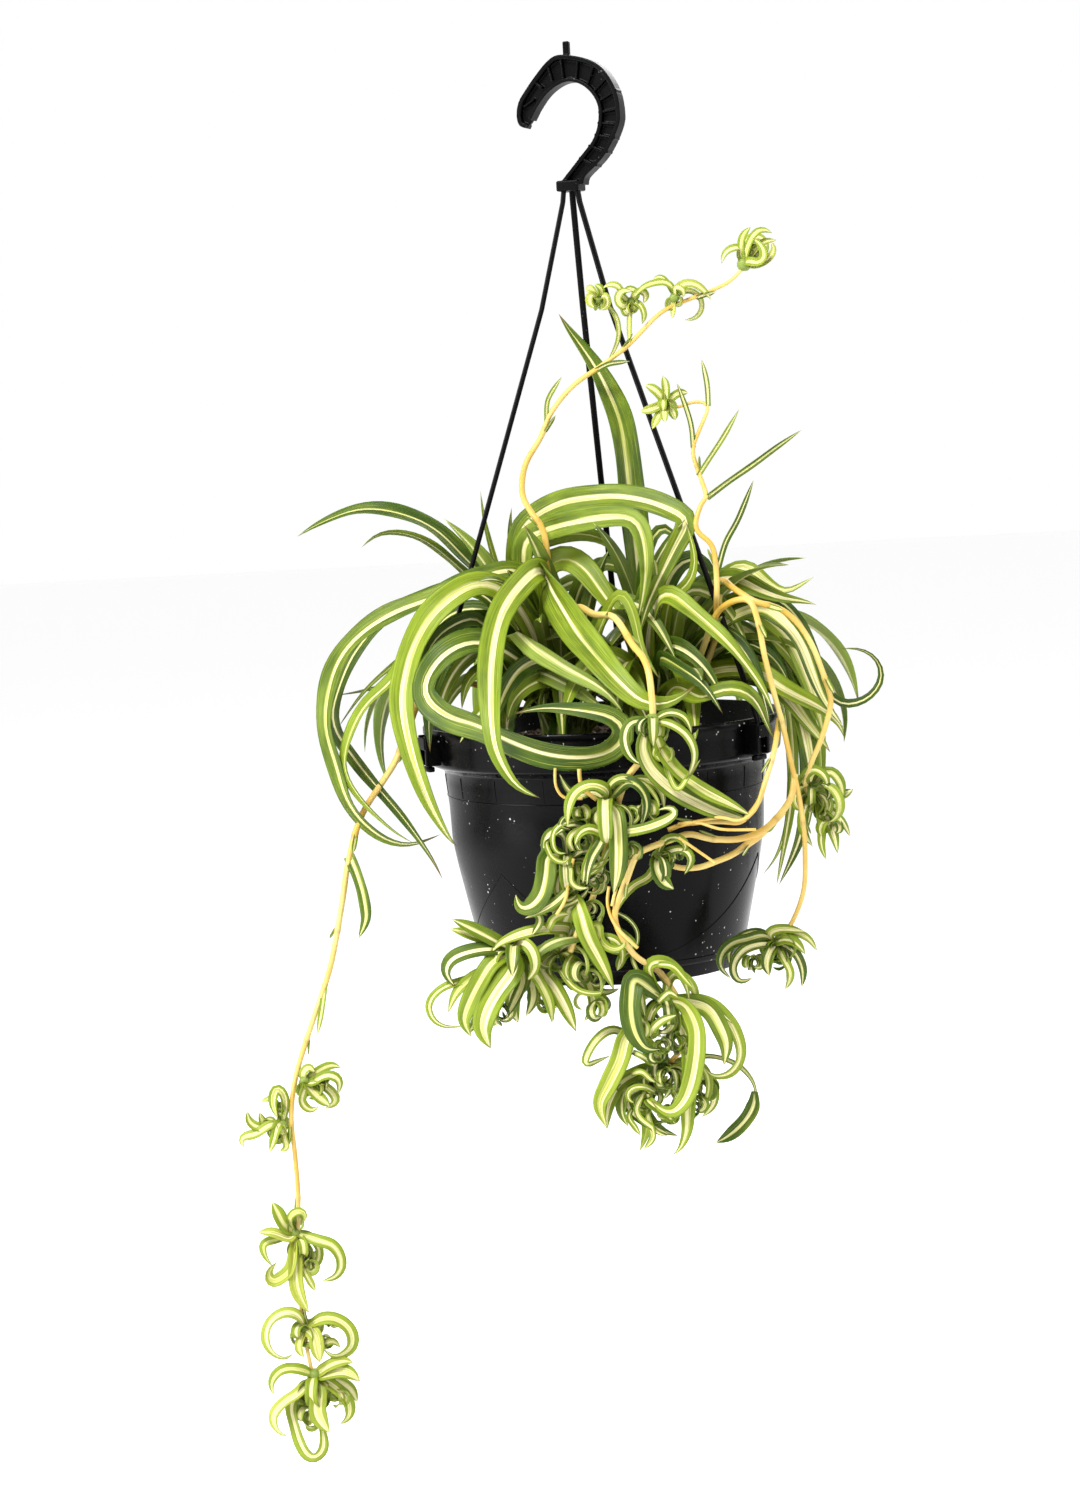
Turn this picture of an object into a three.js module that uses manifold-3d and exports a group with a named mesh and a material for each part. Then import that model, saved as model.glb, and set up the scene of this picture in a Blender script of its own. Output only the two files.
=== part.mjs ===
// Spider plant in a hanging plastic pot. Millimetres, +Z up.
// Origin: the point inside the hook that bears on whatever it hangs from.
// The pot's axis is Z; -Y is the side the plant shows in the photograph.
import * as THREE from 'three';
import { mergeVertices } from 'three/addons/utils/BufferGeometryUtils.js';
import Module from 'manifold-3d';

const wasm = await Module();
wasm.setup();

// ---------------------------------------------------------------- sizes
const GAP = 0.35;                 // clearance cut between neighbouring pieces
const BLADE_T = 1.4;              // thickness of a blade along its midrib
const RIM_Z = -312, RIM_R = 90;   // top edge of the pot
const SOIL_Z = -324;              // top of the potting mix at the wall
const VIEW = { x: -22, z: -172, y: 1575 };  // eye the leaf positions were measured from
const LUGS = [202, 322, 82];      // azimuths of the three lugs, degrees
const LUG_NAMES = ['left', 'right', 'back'];
const STRAP_R = 93.4;             // radius at which the arms hang beside the rim
const STRAP_TOP = -48.6;          // where the arms end, inside the hook's foot
const ARM_W = 3, ARM_T = 1.8;     // width and thickness of an arm
const T_FOOT_Z = -330.65;         // middle of the arm's cross foot, just under the lug
const FOOT_U = -3;                // the hook's foot stands this far to the side of the hook's seat
const HOOK_TURN = -20 * Math.PI / 180;

// outer and inner wall of the pot as [radius, z], foot to rim
const OUTER = [[62.5, -437.5], [64.6, -430.4], [65.6, -430], [70.9, -406], [75.7, -383], [78, -370],
  [78.6, -353], [80.4, -334], [87.8, -330], [90, -312]];
const INNER = [[87.6, -312], [85.6, -328.5], [78.1, -333.6], [75.7, -370], [68.6, -406], [61.4, -435.3]];
const POT_SEGS = 36;

const deg = (a) => a * Math.PI / 180;
const V = (x, y, z) => new THREE.Vector3(x, y, z);
const FRONT = V(0, -1, 0);

/** Small seeded generator, so that every build is the same. */
function seeded(seed) {
  let a = seed >>> 0;
  return () => {
    a = (a + 0x6D2B79F5) >>> 0;
    let t = a;
    t = Math.imul(t ^ (t >>> 15), t | 1);
    t ^= t + Math.imul(t ^ (t >>> 7), t | 61);
    return ((t ^ (t >>> 14)) >>> 0) / 4294967296;
  };
}

/** [x, depth below the hook seat, y] measured on the pot's axis plane -> true position. */
function place(p) {
  const k = 1 + p[2] / VIEW.y;
  return V(VIEW.x + (p[0] - VIEW.x) * k, p[2], VIEW.z + (-p[1] - VIEW.z) * k);
}

/** Catmull-Rom curve through the points, n+1 samples evenly spread along it. */
function spine(pts, n) {
  const P = pts.map(place);
  if (P.length === 2) P.splice(1, 0, P[0].clone().lerp(P[1], 0.5));
  const fine = [];
  for (let i = 0; i < P.length - 1; i++) {
    const p0 = P[Math.max(i - 1, 0)], p1 = P[i], p2 = P[i + 1], p3 = P[Math.min(i + 2, P.length - 1)];
    for (let j = 0; j < 8; j++) {
      const t = j / 8, t2 = t * t, t3 = t2 * t;
      fine.push(V(0, 0, 0)
        .addScaledVector(p0, -0.5 * t3 + t2 - 0.5 * t)
        .addScaledVector(p1, 1.5 * t3 - 2.5 * t2 + 1)
        .addScaledVector(p2, -1.5 * t3 + 2 * t2 + 0.5 * t)
        .addScaledVector(p3, 0.5 * t3 - 0.5 * t2));
    }
  }
  fine.push(P[P.length - 1].clone());
  return resample(fine, n);
}

/** n+1 points evenly spread along a polyline. */
function resample(line, n) {
  const at = [0];
  for (let i = 1; i < line.length; i++) at.push(at[i - 1] + line[i].distanceTo(line[i - 1]));
  const out = [];
  let k = 0;
  for (let i = 0; i <= n; i++) {
    const s = at[at.length - 1] * i / n;
    while (k < at.length - 2 && at[k + 1] < s) k++;
    out.push(line[k].clone().lerp(line[k + 1], (s - at[k]) / Math.max(at[k + 1] - at[k], 1e-9)));
  }
  return out;
}

const tangent = (P, i) => P[Math.min(i + 1, P.length - 1)].clone()
  .sub(P[Math.max(i - 1, 0)]).normalize();

/** Radius of the pot's outside at height z, 0 above the rim and under the foot. */
function potRadius(z) {
  if (z > RIM_Z + 2 || z < -441) return 0;
  for (let i = 0; i < OUTER.length - 1; i++) {
    const [r0, z0] = OUTER[i], [r1, z1] = OUTER[i + 1];
    if (z <= z1) return r0 + (r1 - r0) * Math.max(0, (z - z0) / (z1 - z0));
  }
  return RIM_R;
}

/** Bends a line clear of the outside of the pot: forward in front of it, else outward. */
function clearPot(P, room) {
  for (const p of P) {
    const need = potRadius(p.z) + room, r = Math.hypot(p.x, p.y);
    if (need <= room || r >= need || r < 60) continue;
    if (p.y < 0 && Math.abs(p.x) < 0.8 * need) p.y = -Math.sqrt(need * need - p.x * p.x);
    else { p.x *= need / r; p.y *= need / r; }
  }
  return P;
}

// ---------------------------------------------------------------- solids
const solidOf = (geometry) => {
  const g = geometry.clone();
  g.deleteAttribute('normal');
  g.deleteAttribute('uv');
  const m = mergeVertices(g, 1e-4);
  return new wasm.Manifold(new wasm.Mesh({ numProp: 3,
    vertProperties: new Float32Array(m.attributes.position.array), triVerts: new Uint32Array(m.index.array) }));
};

/** Closed solid from rings of points (each counter-clockwise seen from the tip). */
function ringSolid(rings, tip) {
  const pos = [], idx = [], n = rings[0].length, m = rings.length;
  rings.forEach((ring) => ring.forEach((p) => pos.push(p.x, p.y, p.z)));
  for (let i = 0; i < m - 1; i++) for (let j = 0; j < n; j++) {
    const a = i * n + j, b = i * n + (j + 1) % n, c = a + n, d = b + n;
    // the same diagonal on both faces of a blade
    if (j % 2 === 0) idx.push(a, b, d, a, d, c); else idx.push(a, b, c, b, d, c);
  }
  for (let j = 1; j < n - 1; j++) idx.push(0, j + 1, j);
  const last = (m - 1) * n;
  if (tip) {
    pos.push(tip.x, tip.y, tip.z);
    for (let j = 0; j < n; j++) idx.push(last + j, last + (j + 1) % n, m * n);
  } else for (let j = 1; j < n - 1; j++) idx.push(last, last + j, last + j + 1);
  return new wasm.Manifold(new wasm.Mesh({ numProp: 3,
    vertProperties: new Float32Array(pos), triVerts: new Uint32Array(idx) }));
}

/** Share of the full width at s along a blade: sheathing foot, long even run, fine point. */
function bladeWidth(s, narrow = 0.6) {
  const foot = narrow + (1 - narrow) * Math.min(1, s / 0.22);
  const point = s < 0.6 ? 1 : 1 - Math.pow((s - 0.6) / 0.4, 2.2);
  return foot * Math.max(point, 0.12);
}

/**
 * A strap-shaped leaf. tilt 0 turns its upper face to `ref`, 90 is the natural
 * arching leaf; it runs from tilt[0] at the foot to tilt[1] at the point.
 */
function blade(P, w, tilt, ref, grow = 0, foot = 0.6) {
  const n = P.length - 1, rings = [];
  let old = null;
  for (let i = 0; i < n; i++) {
    const s = i / n, t = tangent(P, i);
    const a = ref.clone().addScaledVector(t, -ref.dot(t)).normalize();
    const b = t.clone().cross(a);
    const ang = deg(tilt[0] + (tilt[1] - tilt[0]) * s);
    let N = a.multiplyScalar(Math.cos(ang)).addScaledVector(b, Math.sin(ang)).normalize();
    if (old) {
      if (N.dot(old) < 0) N.negate();
      if (N.dot(old) < 0.4) {       // spread a sharp twist over two steps
        N.addScaledVector(old, 0.8);
        N.addScaledVector(t, -N.dot(t)).normalize();
      }
    }
    old = N;
    const B = N.clone().cross(t);
    const half = w * bladeWidth(s, foot) / 2 + grow, up = 0.2 * half, h = BLADE_T / 2 * (0.55 + 0.45 * bladeWidth(s)) + grow;
    const at = (u, v) => P[i].clone().addScaledVector(B, u).addScaledVector(N, v);
    rings.push([at(half, up + 0.25 * h), at(-half, up + 0.25 * h), at(0, -1.3 * h)]);
  }
  return ringSolid(rings, P[n].clone().addScaledVector(tangent(P, n), grow));
}

/** Round runner stem with its slightly swollen nodes. */
function stemSolid(P, r0, r1, grow = 0, every = 5, sides = 4) {
  const n = P.length - 1, rings = [];
  let A = V(0, -1, 0.2).normalize();
  for (let i = 0; i <= n; i++) {
    const t = tangent(P, i);
    A = A.clone().addScaledVector(t, -A.dot(t)).normalize();
    const B = t.clone().cross(A), s = i / n;
    const r = (r0 + (r1 - r0) * s) * (every && i % every === every - 1 ? 1.35 : 1) + grow;
    const ring = [];
    for (let j = 0; j < sides; j++) {
      const q = 2 * Math.PI * j / sides;
      ring.push(P[i].clone().addScaledVector(A, r * Math.cos(q)).addScaledVector(B, r * Math.sin(q)));
    }
    rings.push(ring);
  }
  return ringSolid(rings);
}

/** Thin leaves standing on a runner, as [width, points]. */
const BRACTS = {
  runner_zigzag: [[3, [[57, 206, -53], [68, 198.5, -52], [80.7, 190.6, -52], [93, 182.5, -52], [105.4, 175, -52]]],
    [2.6, [[53, 195, -51], [59.5, 186, -50], [66, 177, -50], [74.8, 163.5, -50]]],
    [2.6, [[51.2, 181, -49], [50.3, 168, -50], [44.7, 148.6, -50]]],
    [3, [[60.4, 243, -60], [65, 229, -60], [72, 217, -60], [80.6, 198.3, -60]]],
    [2.6, [[59.6, 161, -47], [59.4, 150, -47], [57.5, 138, -47]]]],
  runner_upper: [[2.6, [[5, 140.6, -23.5], [12, 137.6, -25], [22, 137, -26]]],
    [2.4, [[-20.6, 166, -26.5], [-19.5, 154, -27], [-12, 143, -28]]]],
  runner_left: [[6, [[-130, 376, -30], [-126.5, 386, -33], [-124, 397, -34], [-123.5, 408, -33], [-128, 418, -32]]],
    [3, [[-146, 440, -29], [-148.5, 453.6, -31], [-151.5, 466, -31]]]],
};

/** Keeps the largest body of a solid as a geometry; drops loose scraps. */
function largest(solid, label) {
  const mesh = solid.getMesh(), np = mesh.numProp, tri = mesh.triVerts, vp = mesh.vertProperties;
  const parent = Array.from({ length: vp.length / np }, (_, i) => i);
  const find = (i) => { while (parent[i] !== i) { parent[i] = parent[parent[i]]; i = parent[i]; } return i; };
  for (let i = 0; i < tri.length; i += 3) {
    parent[find(tri[i])] = find(tri[i + 1]);
    parent[find(tri[i + 1])] = find(tri[i + 2]);
  }
  const vol = new Map();
  const p = (i) => V(vp[i * np], vp[i * np + 1], vp[i * np + 2]);
  for (let i = 0; i < tri.length; i += 3) {
    const key = find(tri[i]);
    vol.set(key, (vol.get(key) ?? 0) + p(tri[i]).dot(p(tri[i + 1]).cross(p(tri[i + 2]))) / 6);
  }
  const best = [...vol.entries()].sort((a, b) => b[1] - a[1]);
  const keep = best[0][0], idx = [];
  for (let i = 0; i < tri.length; i += 3) if (find(tri[i]) === keep) idx.push(tri[i], tri[i + 1], tri[i + 2]);
  const g = new THREE.BufferGeometry();
  g.setAttribute('position', new THREE.BufferAttribute(new Float32Array(vp), 3));
  g.setIndex(idx);
  const lost = best.slice(1).filter(([, v]) => v > 40).map(([, v]) => Math.round(v));
  if (lost.length) console.error(`${label}: dropped pieces of ${lost} mm3, kept ${Math.round(best[0][1])}`);
  const flat = g.toNonIndexed();
  return mergeVertices(flat, 1e-3);
}

const group = new THREE.Group();
function addNode(name, solid, colour, rough = 0.6) {
  const g = solid.isBufferGeometry ? solid : largest(solid, name);
  g.computeVertexNormals();
  const mesh = new THREE.Mesh(g, new THREE.MeshStandardMaterial({ color: colour, roughness: rough, side: THREE.DoubleSide }));
  mesh.name = name;
  group.add(mesh);
  return mesh;
}

const box = (sx, sy, sz, x, y, z, turn = 0) => {
  const g = new THREE.BoxGeometry(sx, sy, sz).toNonIndexed();
  g.rotateZ(turn);
  g.translate(x, y, z);
  return solidOf(g);
};
const lathe = (profile, seg) => {
  const g = new THREE.LatheGeometry(profile.map(([r, z]) => new THREE.Vector2(r, z)), seg);
  g.rotateX(Math.PI / 2);
  return solidOf(g);
};

// ---------------------------------------------------------------- pot
const potProfile = [[0, OUTER[0][1]], ...OUTER, ...INNER, [0, INNER[INNER.length - 1][1]], [0, OUTER[0][1]]];
let pot = lathe(potProfile, POT_SEGS);
// drainage holes through the floor
for (let i = 0; i < 5; i++) {
  const g = new THREE.CylinderGeometry(4, 4, 8, 8).toNonIndexed();
  g.rotateX(Math.PI / 2);
  g.translate(40 * Math.cos(deg(72 * i)), 40 * Math.sin(deg(72 * i)), -436);
  pot = pot.subtract(solidOf(g));
}
// lugs: two cheeks and a bridge round each arm of the hanger
for (const a of LUGS) {
  const c = Math.cos(deg(a)), s = Math.sin(deg(a)), turn = deg(a);
  const at = (r, t, sx, sy, sz, z) => box(sx, sy, sz, r * c - t * s, r * s + t * c, z, turn);
  pot = pot.add(at(92.4, 4.2, 8, 2, 15, -321.5)).add(at(92.4, -4.2, 8, 2, 15, -321.5)).add(at(96, 0, 1.8, 9, 6, -318));
}

/** Lathe of the pot's outline grown by g, for cutting what stands near it. */
const potGrown = (g) => lathe([[0, OUTER[0][1] - g], [OUTER[0][0] + g, OUTER[0][1] - g],
  ...OUTER.slice(1, -1).map(([r, z]) => [r + g, z]), [RIM_R + g, RIM_Z + g], [INNER[0][0] - g, RIM_Z + g],
  [INNER[1][0] - g, SOIL_Z], [60, SOIL_Z + 1.4 + g], [30, SOIL_Z + 3 + g], [0, SOIL_Z + 3.5 + g],
  [0, OUTER[0][1] - g]], POT_SEGS);

// ---------------------------------------------------------------- hanger
/** Flat arm of the hanger at azimuth a, grown by g. */
function strap(a, g = 0) {
  const c = Math.cos(deg(a)), s = Math.sin(deg(a));
  const line = [[3.4, STRAP_TOP], [4.8, -58], [19.5, -110], [41.5, -170], [STRAP_R - 2.4, RIM_Z + 7], [STRAP_R, RIM_Z - 1],
    [STRAP_R, T_FOOT_Z - 0.8]];
  const rings = line.map(([r, z], i) => {
    const t = i === 0 ? [1.4, -9.4] : i === line.length - 1 ? [0, -1]
      : [line[i + 1][0] - line[i - 1][0], line[i + 1][1] - line[i - 1][1]];
    const L = Math.hypot(t[0], t[1]), nr = -t[1] / L, nz = t[0] / L, hw = ARM_W / 2 + g, ht = ARM_T / 2 + g;
    const lean = FOOT_U * Math.max(0, (z - RIM_Z - 7) / (STRAP_TOP - RIM_Z - 7));   // from the foot to the pot's axis
    const p = (u, v) => V((r + nr * v) * c - u * s + lean * Math.cos(HOOK_TURN),
      (r + nr * v) * s + u * c + lean * Math.sin(HOOK_TURN), z + nz * v);
    const q = [p(hw, ht), p(-hw, ht), p(-hw, -ht), p(hw, -ht)];
    return q;
  });
  if (g) { rings[0].forEach((p) => { p.z += g; }); rings[rings.length - 1].forEach((p) => { p.z -= g; }); }
  const arm = ringSolid(rings);
  const foot = box(3.2 + 2 * g, 9 + 2 * g, 2.6 + 2 * g, STRAP_R * c, STRAP_R * s, T_FOOT_Z, deg(a));
  return arm.add(foot);
}
const straps = LUGS.map((a) => strap(a));
const strapsGrown = LUGS.map((a) => strap(a, GAP));

// hook: outline [u, z] in its own plane, outer edge then inner edge
const HOOK_OUT = [[5, -50], [6, -46.5], [11.2, -42], [16.5, -37], [21.3, -30], [25, -22], [25.6, -16], [24.6, -8],
  [21.5, -0.5], [17, 5.6], [11, 9.6], [3, 12.2], [-5.5, 13.2], [-11.2, 10.3], [-17, 4.5], [-22.4, -1.8],
  [-26.6, -7.7], [-28, -14], [-27, -18.8], [-24, -20.6]];
const HOOK_IN = [[-20.8, -17], [-17, -11], [-11.7, -5], [-5.6, -1.2], [0, 0], [5.5, -1.6], [10, -5], [13.4, -10],
  [14.6, -15.5], [13.6, -23], [10.6, -29.5], [5.6, -35], [0, -41], [-8.5, -50]];

function plate(points, thick) {
  const shape = new THREE.Shape(points.map(([u, z]) => new THREE.Vector2(u, z)));
  const g = new THREE.ExtrudeGeometry(shape, { depth: thick, bevelEnabled: false });
  g.translate(0, 0, -thick / 2);
  g.rotateX(Math.PI / 2);
  return solidOf(g);
}
/** Points of a line moved sideways by d, to the left of its run. */
function offset(line, d) {
  return line.map((p, i) => {
    const a = line[Math.max(i - 1, 0)], b = line[Math.min(i + 1, line.length - 1)];
    const tx = b[0] - a[0], tz = b[1] - a[1], L = Math.hypot(tx, tz);
    return [p[0] - tz / L * d, p[1] + tx / L * d];
  });
}
let hook = plate([...HOOK_OUT, ...HOOK_IN], 2.6);
const outFlange = [...HOOK_OUT, ...offset(HOOK_OUT, 2.2).reverse()];
const inFlange = [...HOOK_IN, ...offset(HOOK_IN, 1.8).reverse()];
hook = hook.add(plate(outFlange, 9)).add(plate(inFlange, 9));
// cross ribs between the flanges, both sides of the web
const RIBS = [[-19, -7, -24, -10], [-14.5, -1.5, -19, 2], [-9, 2, -11, 9], [-3, 1, -4, 12], [3.5, 1, 5, 11],
  [9, -2.5, 13, 7], [12, -6, 20, 1], [14, -11, 24, -6], [14.5, -16, 25, -15], [13.8, -21, 24.5, -22.5],
  [12, -26.5, 22, -29], [8.5, -31.5, 18, -35.5], [3.5, -37, 12, -41.5]];
for (const [u0, z0, u1, z1] of RIBS) {
  const L = Math.hypot(u1 - u0, z1 - z0), g = new THREE.BoxGeometry(L - 1.8, 7.6, 1.1).toNonIndexed();
  g.rotateY(-Math.atan2(z1 - z0, u1 - u0));
  g.translate((u0 + u1) / 2, 0, (z0 + z1) / 2);
  hook = hook.add(solidOf(g));
}
hook = hook.add(box(3.2, 3, 8.5, -1.8, 0, 15.6)).add(box(11.6, 11.6, 5.2, FOOT_U, 0, -50.1));
{
  const m = hook.getMesh(), c = Math.cos(HOOK_TURN), s = Math.sin(HOOK_TURN), vp = m.vertProperties.slice();
  for (let i = 0; i < vp.length; i += m.numProp) {
    const x = vp[i], y = vp[i + 1];
    vp[i] = x * c - y * s; vp[i + 1] = x * s + y * c;
  }
  hook = new wasm.Manifold(new wasm.Mesh({ numProp: m.numProp, vertProperties: vp, triVerts: m.triVerts }));
}
strapsGrown.forEach((s) => { hook = hook.subtract(s); });
strapsGrown.forEach((s) => { pot = pot.subtract(s); });

// ---------------------------------------------------------------- stems
// name, foot radius, end radius, points [x, depth, y]
const STEMS = [
  ['runner_upper', 1.9, 0.9, [[-20, 268, -6], [-23.3, 232, -36], [-25, 218, -38], [-31.3, 207.4, -36], [-34.5, 198.5, -34],
    [-32, 185, -30], [-23.7, 172, -27], [-18.2, 160.4, -26], [-6.7, 147.7, -24], [8.3, 138.2, -23], [22, 128.8, -24],
    [38.5, 114, -26], [54.5, 107.6, -27], [71.7, 101.3, -28], [81.1, 93, -28]]],
  ['runner_zigzag', 1.9, 0.8, [[48, 300, -18], [58, 276, -30], [59.4, 258, -56], [60, 246, -60], [58.7, 230.3, -60], [51.7, 222.9, -58],
    [50.9, 217.4, -57], [54.8, 207.6, -54], [57.1, 205.9, -53], [53.3, 192.5, -50], [51, 182, -49], [56.1, 169.9, -48],
    [59.8, 160.5, -47], [53, 158.5, -46], [44, 161, -46], [40, 160, -46]]],
  ['runner_front', 1.9, 1.5, [[-14, 272, -12], [-10, 257.5, -50], [-1.7, 261.3, -62], [8.2, 263.1, -70], [16.7, 277.3, -90],
    [21.3, 283.4, -100], [23.8, 290.2, -106], [24.8, 300, -110], [25, 314, -113], [22, 330, -114], [12, 342, -112], [7, 352, -110],
    [4, 362, -108], [-2, 380, -107], [-8, 400, -106], [-16, 416, -104], [-22, 430, -102]]],
  ['runner_right_arch', 1.8, 1.3, [[60, 268, -24], [62, 248, -42], [68.6, 252, -56], [78, 258.5, -64], [89, 262.2, -66], [95.1, 266.2, -66],
    [101.2, 273.3, -66], [106.3, 282.8, -66], [109.7, 292.6, -64], [112.1, 300.7, -62], [114.2, 310, -58], [112.5, 318, -57], [110, 325.5, -57],
    [107.1, 332.6, -56], [103, 341, -56], [99.6, 352, -56], [104, 362, -54]]],
  ['runner_right_long', 1.8, 1.2, [[30, 310, -8], [48, 288, -30], [60, 263, -58], [74.8, 257.5, -74], [79.7, 269.4, -78], [80.9, 277.5, -79], [82.3, 287.2, -80],
    [85.8, 304.2, -79], [89.7, 321.3, -76], [93.1, 340.7, -72], [95.8, 354.4, -69], [97.9, 372.6, -66], [98, 387.9, -64],
    [96.7, 404.2, -62], [91.4, 418.3, -60], [83.5, 430.6, -58]]],
  ['runner_low_thin', 1.5, 1.2, [[88, 318, -68], [85.2, 332.2, -84], [81.9, 342.8, -90], [78.7, 351.7, -94], [75.6, 359.7, -97], [67, 368.7, -101],
    [58.9, 368.3, -104], [49.9, 367.8, -106], [37.7, 368.5, -108], [30, 371, -109]]],
  ['runner_low_middle', 1.8, 1.4, [[94.6, 346, -70], [93, 356, -70], [88, 364, -76], [78.5, 373, -88], [65.6, 377.3, -96], [51.2, 376.5, -102],
    [40.5, 373.5, -106], [33, 375.5, -110], [20, 379.5, -114], [13.4, 383, -116], [8.5, 394, -116], [3, 405.9, -114], [1.1, 414, -111],
    [3.7, 423, -108], [10.7, 434, -104], [22.6, 443, -100], [30.4, 455.5, -98], [35.4, 468, -96], [33.4, 479.7, -91], [25.5, 489, -86]]],
  ['runner_low_thick', 2.0, 1.3, [[88, 364.5, -75], [77, 375.2, -81], [69.1, 380.4, -88], [61.6, 385, -93], [53.4, 388, -97], [45.1, 390.6, -100],
    [36, 390.6, -102], [30, 388.6, -104], [25, 386, -106]]],
  ['runner_left', 1.9, 1.1, [[-52, 296, -8], [-74, 291, -14], [-90, 299, -24], [-97, 313, -30], [-104.6, 329.5, -32], [-112.2, 340.3, -32], [-123.6, 357.1, -31],
    [-131.3, 380.2, -30], [-134.8, 397.4, -30], [-142.3, 429.4, -29], [-149.4, 448.7, -29], [-158.1, 470.8, -28], [-164.3, 489.3, -28],
    [-167.2, 507.9, -28], [-166.4, 526.7, -28], [-166, 548.2, -28], [-167.6, 575, -28], [-167.8, 597, -28], [-167, 620, -28], [-163.5, 645, -28]]],
];
const stemBuilt = new Map(), stemGrown = new Map();
const hard = [...strapsGrown];
for (const [name, r0, r1, pts] of STEMS) {
  const P = clearPot(spine(pts, Math.max(10, Math.round(pts.length * 1.25))), r0 + 1);
  const bracts = (BRACTS[name] ?? []).map(([w, line]) => ({ w, P: spine(line, 4) }));
  const withBracts = (stem, g) => bracts.reduce((all, b) => all.add(blade(b.P, b.w, [20, 20], FRONT, g, 1)), stem);
  let s = withBracts(stemSolid(P, r0, r1), 0);
  for (const g of stemGrown.values()) s = s.subtract(g);
  for (const g of hard) s = s.subtract(g);
  s = s.subtract(potGrown(GAP));
  stemBuilt.set(name, s);
  stemGrown.set(name, withBracts(stemSolid(P, r0, r1, GAP), GAP));
}

// ---------------------------------------------------------------- foliage
const LEAN = 0.5;                // share of the listed segments that the CAD blades use
/** Leaf given by hand: sides are tilted outward from the crown, whichever way it runs. */
function leaf(w, tilt0, tilt1, pts, segs = 11) {
  const run = pts[pts.length - 1][0] - pts[0][0], sign = run < 0 ? 1 : -1;
  return { w, tilt: [sign * tilt0, sign * tilt1], ref: FRONT, P: clearPot(spine(pts, Math.max(4, Math.round(segs * LEAN))), 3.2) };
}
/** Leaf set by rule: leaves P0 at azimuth az, climbs at `rise`, turns over by `turn` degrees. */
function arch(P0, az, rise, turn, length, w, twist, segs = 8, bend = 1.25, sway = 0) {
  const line = [P0.clone()];
  const steps = 24, p = P0.clone();
  for (let i = 0; i < steps; i++) {
    const s = (i + 0.5) / steps, e = deg(rise - turn * Math.pow(s, bend)), a = deg(az + sway * s);
    p.add(V(Math.cos(e) * Math.cos(a), Math.cos(e) * Math.sin(a), Math.sin(e)).multiplyScalar(length / steps));
    line.push(p.clone());
  }
  return { w, tilt: [90 + twist * 0.3, 90 + twist], ref: V(-Math.sin(deg(az)), Math.cos(deg(az)), 0), P: clearPot(resample(line, segs), 3.2) };
}

const A0 = [-18, 318, 2], B0 = [26, 318, -2];      // the two crowns
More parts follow.
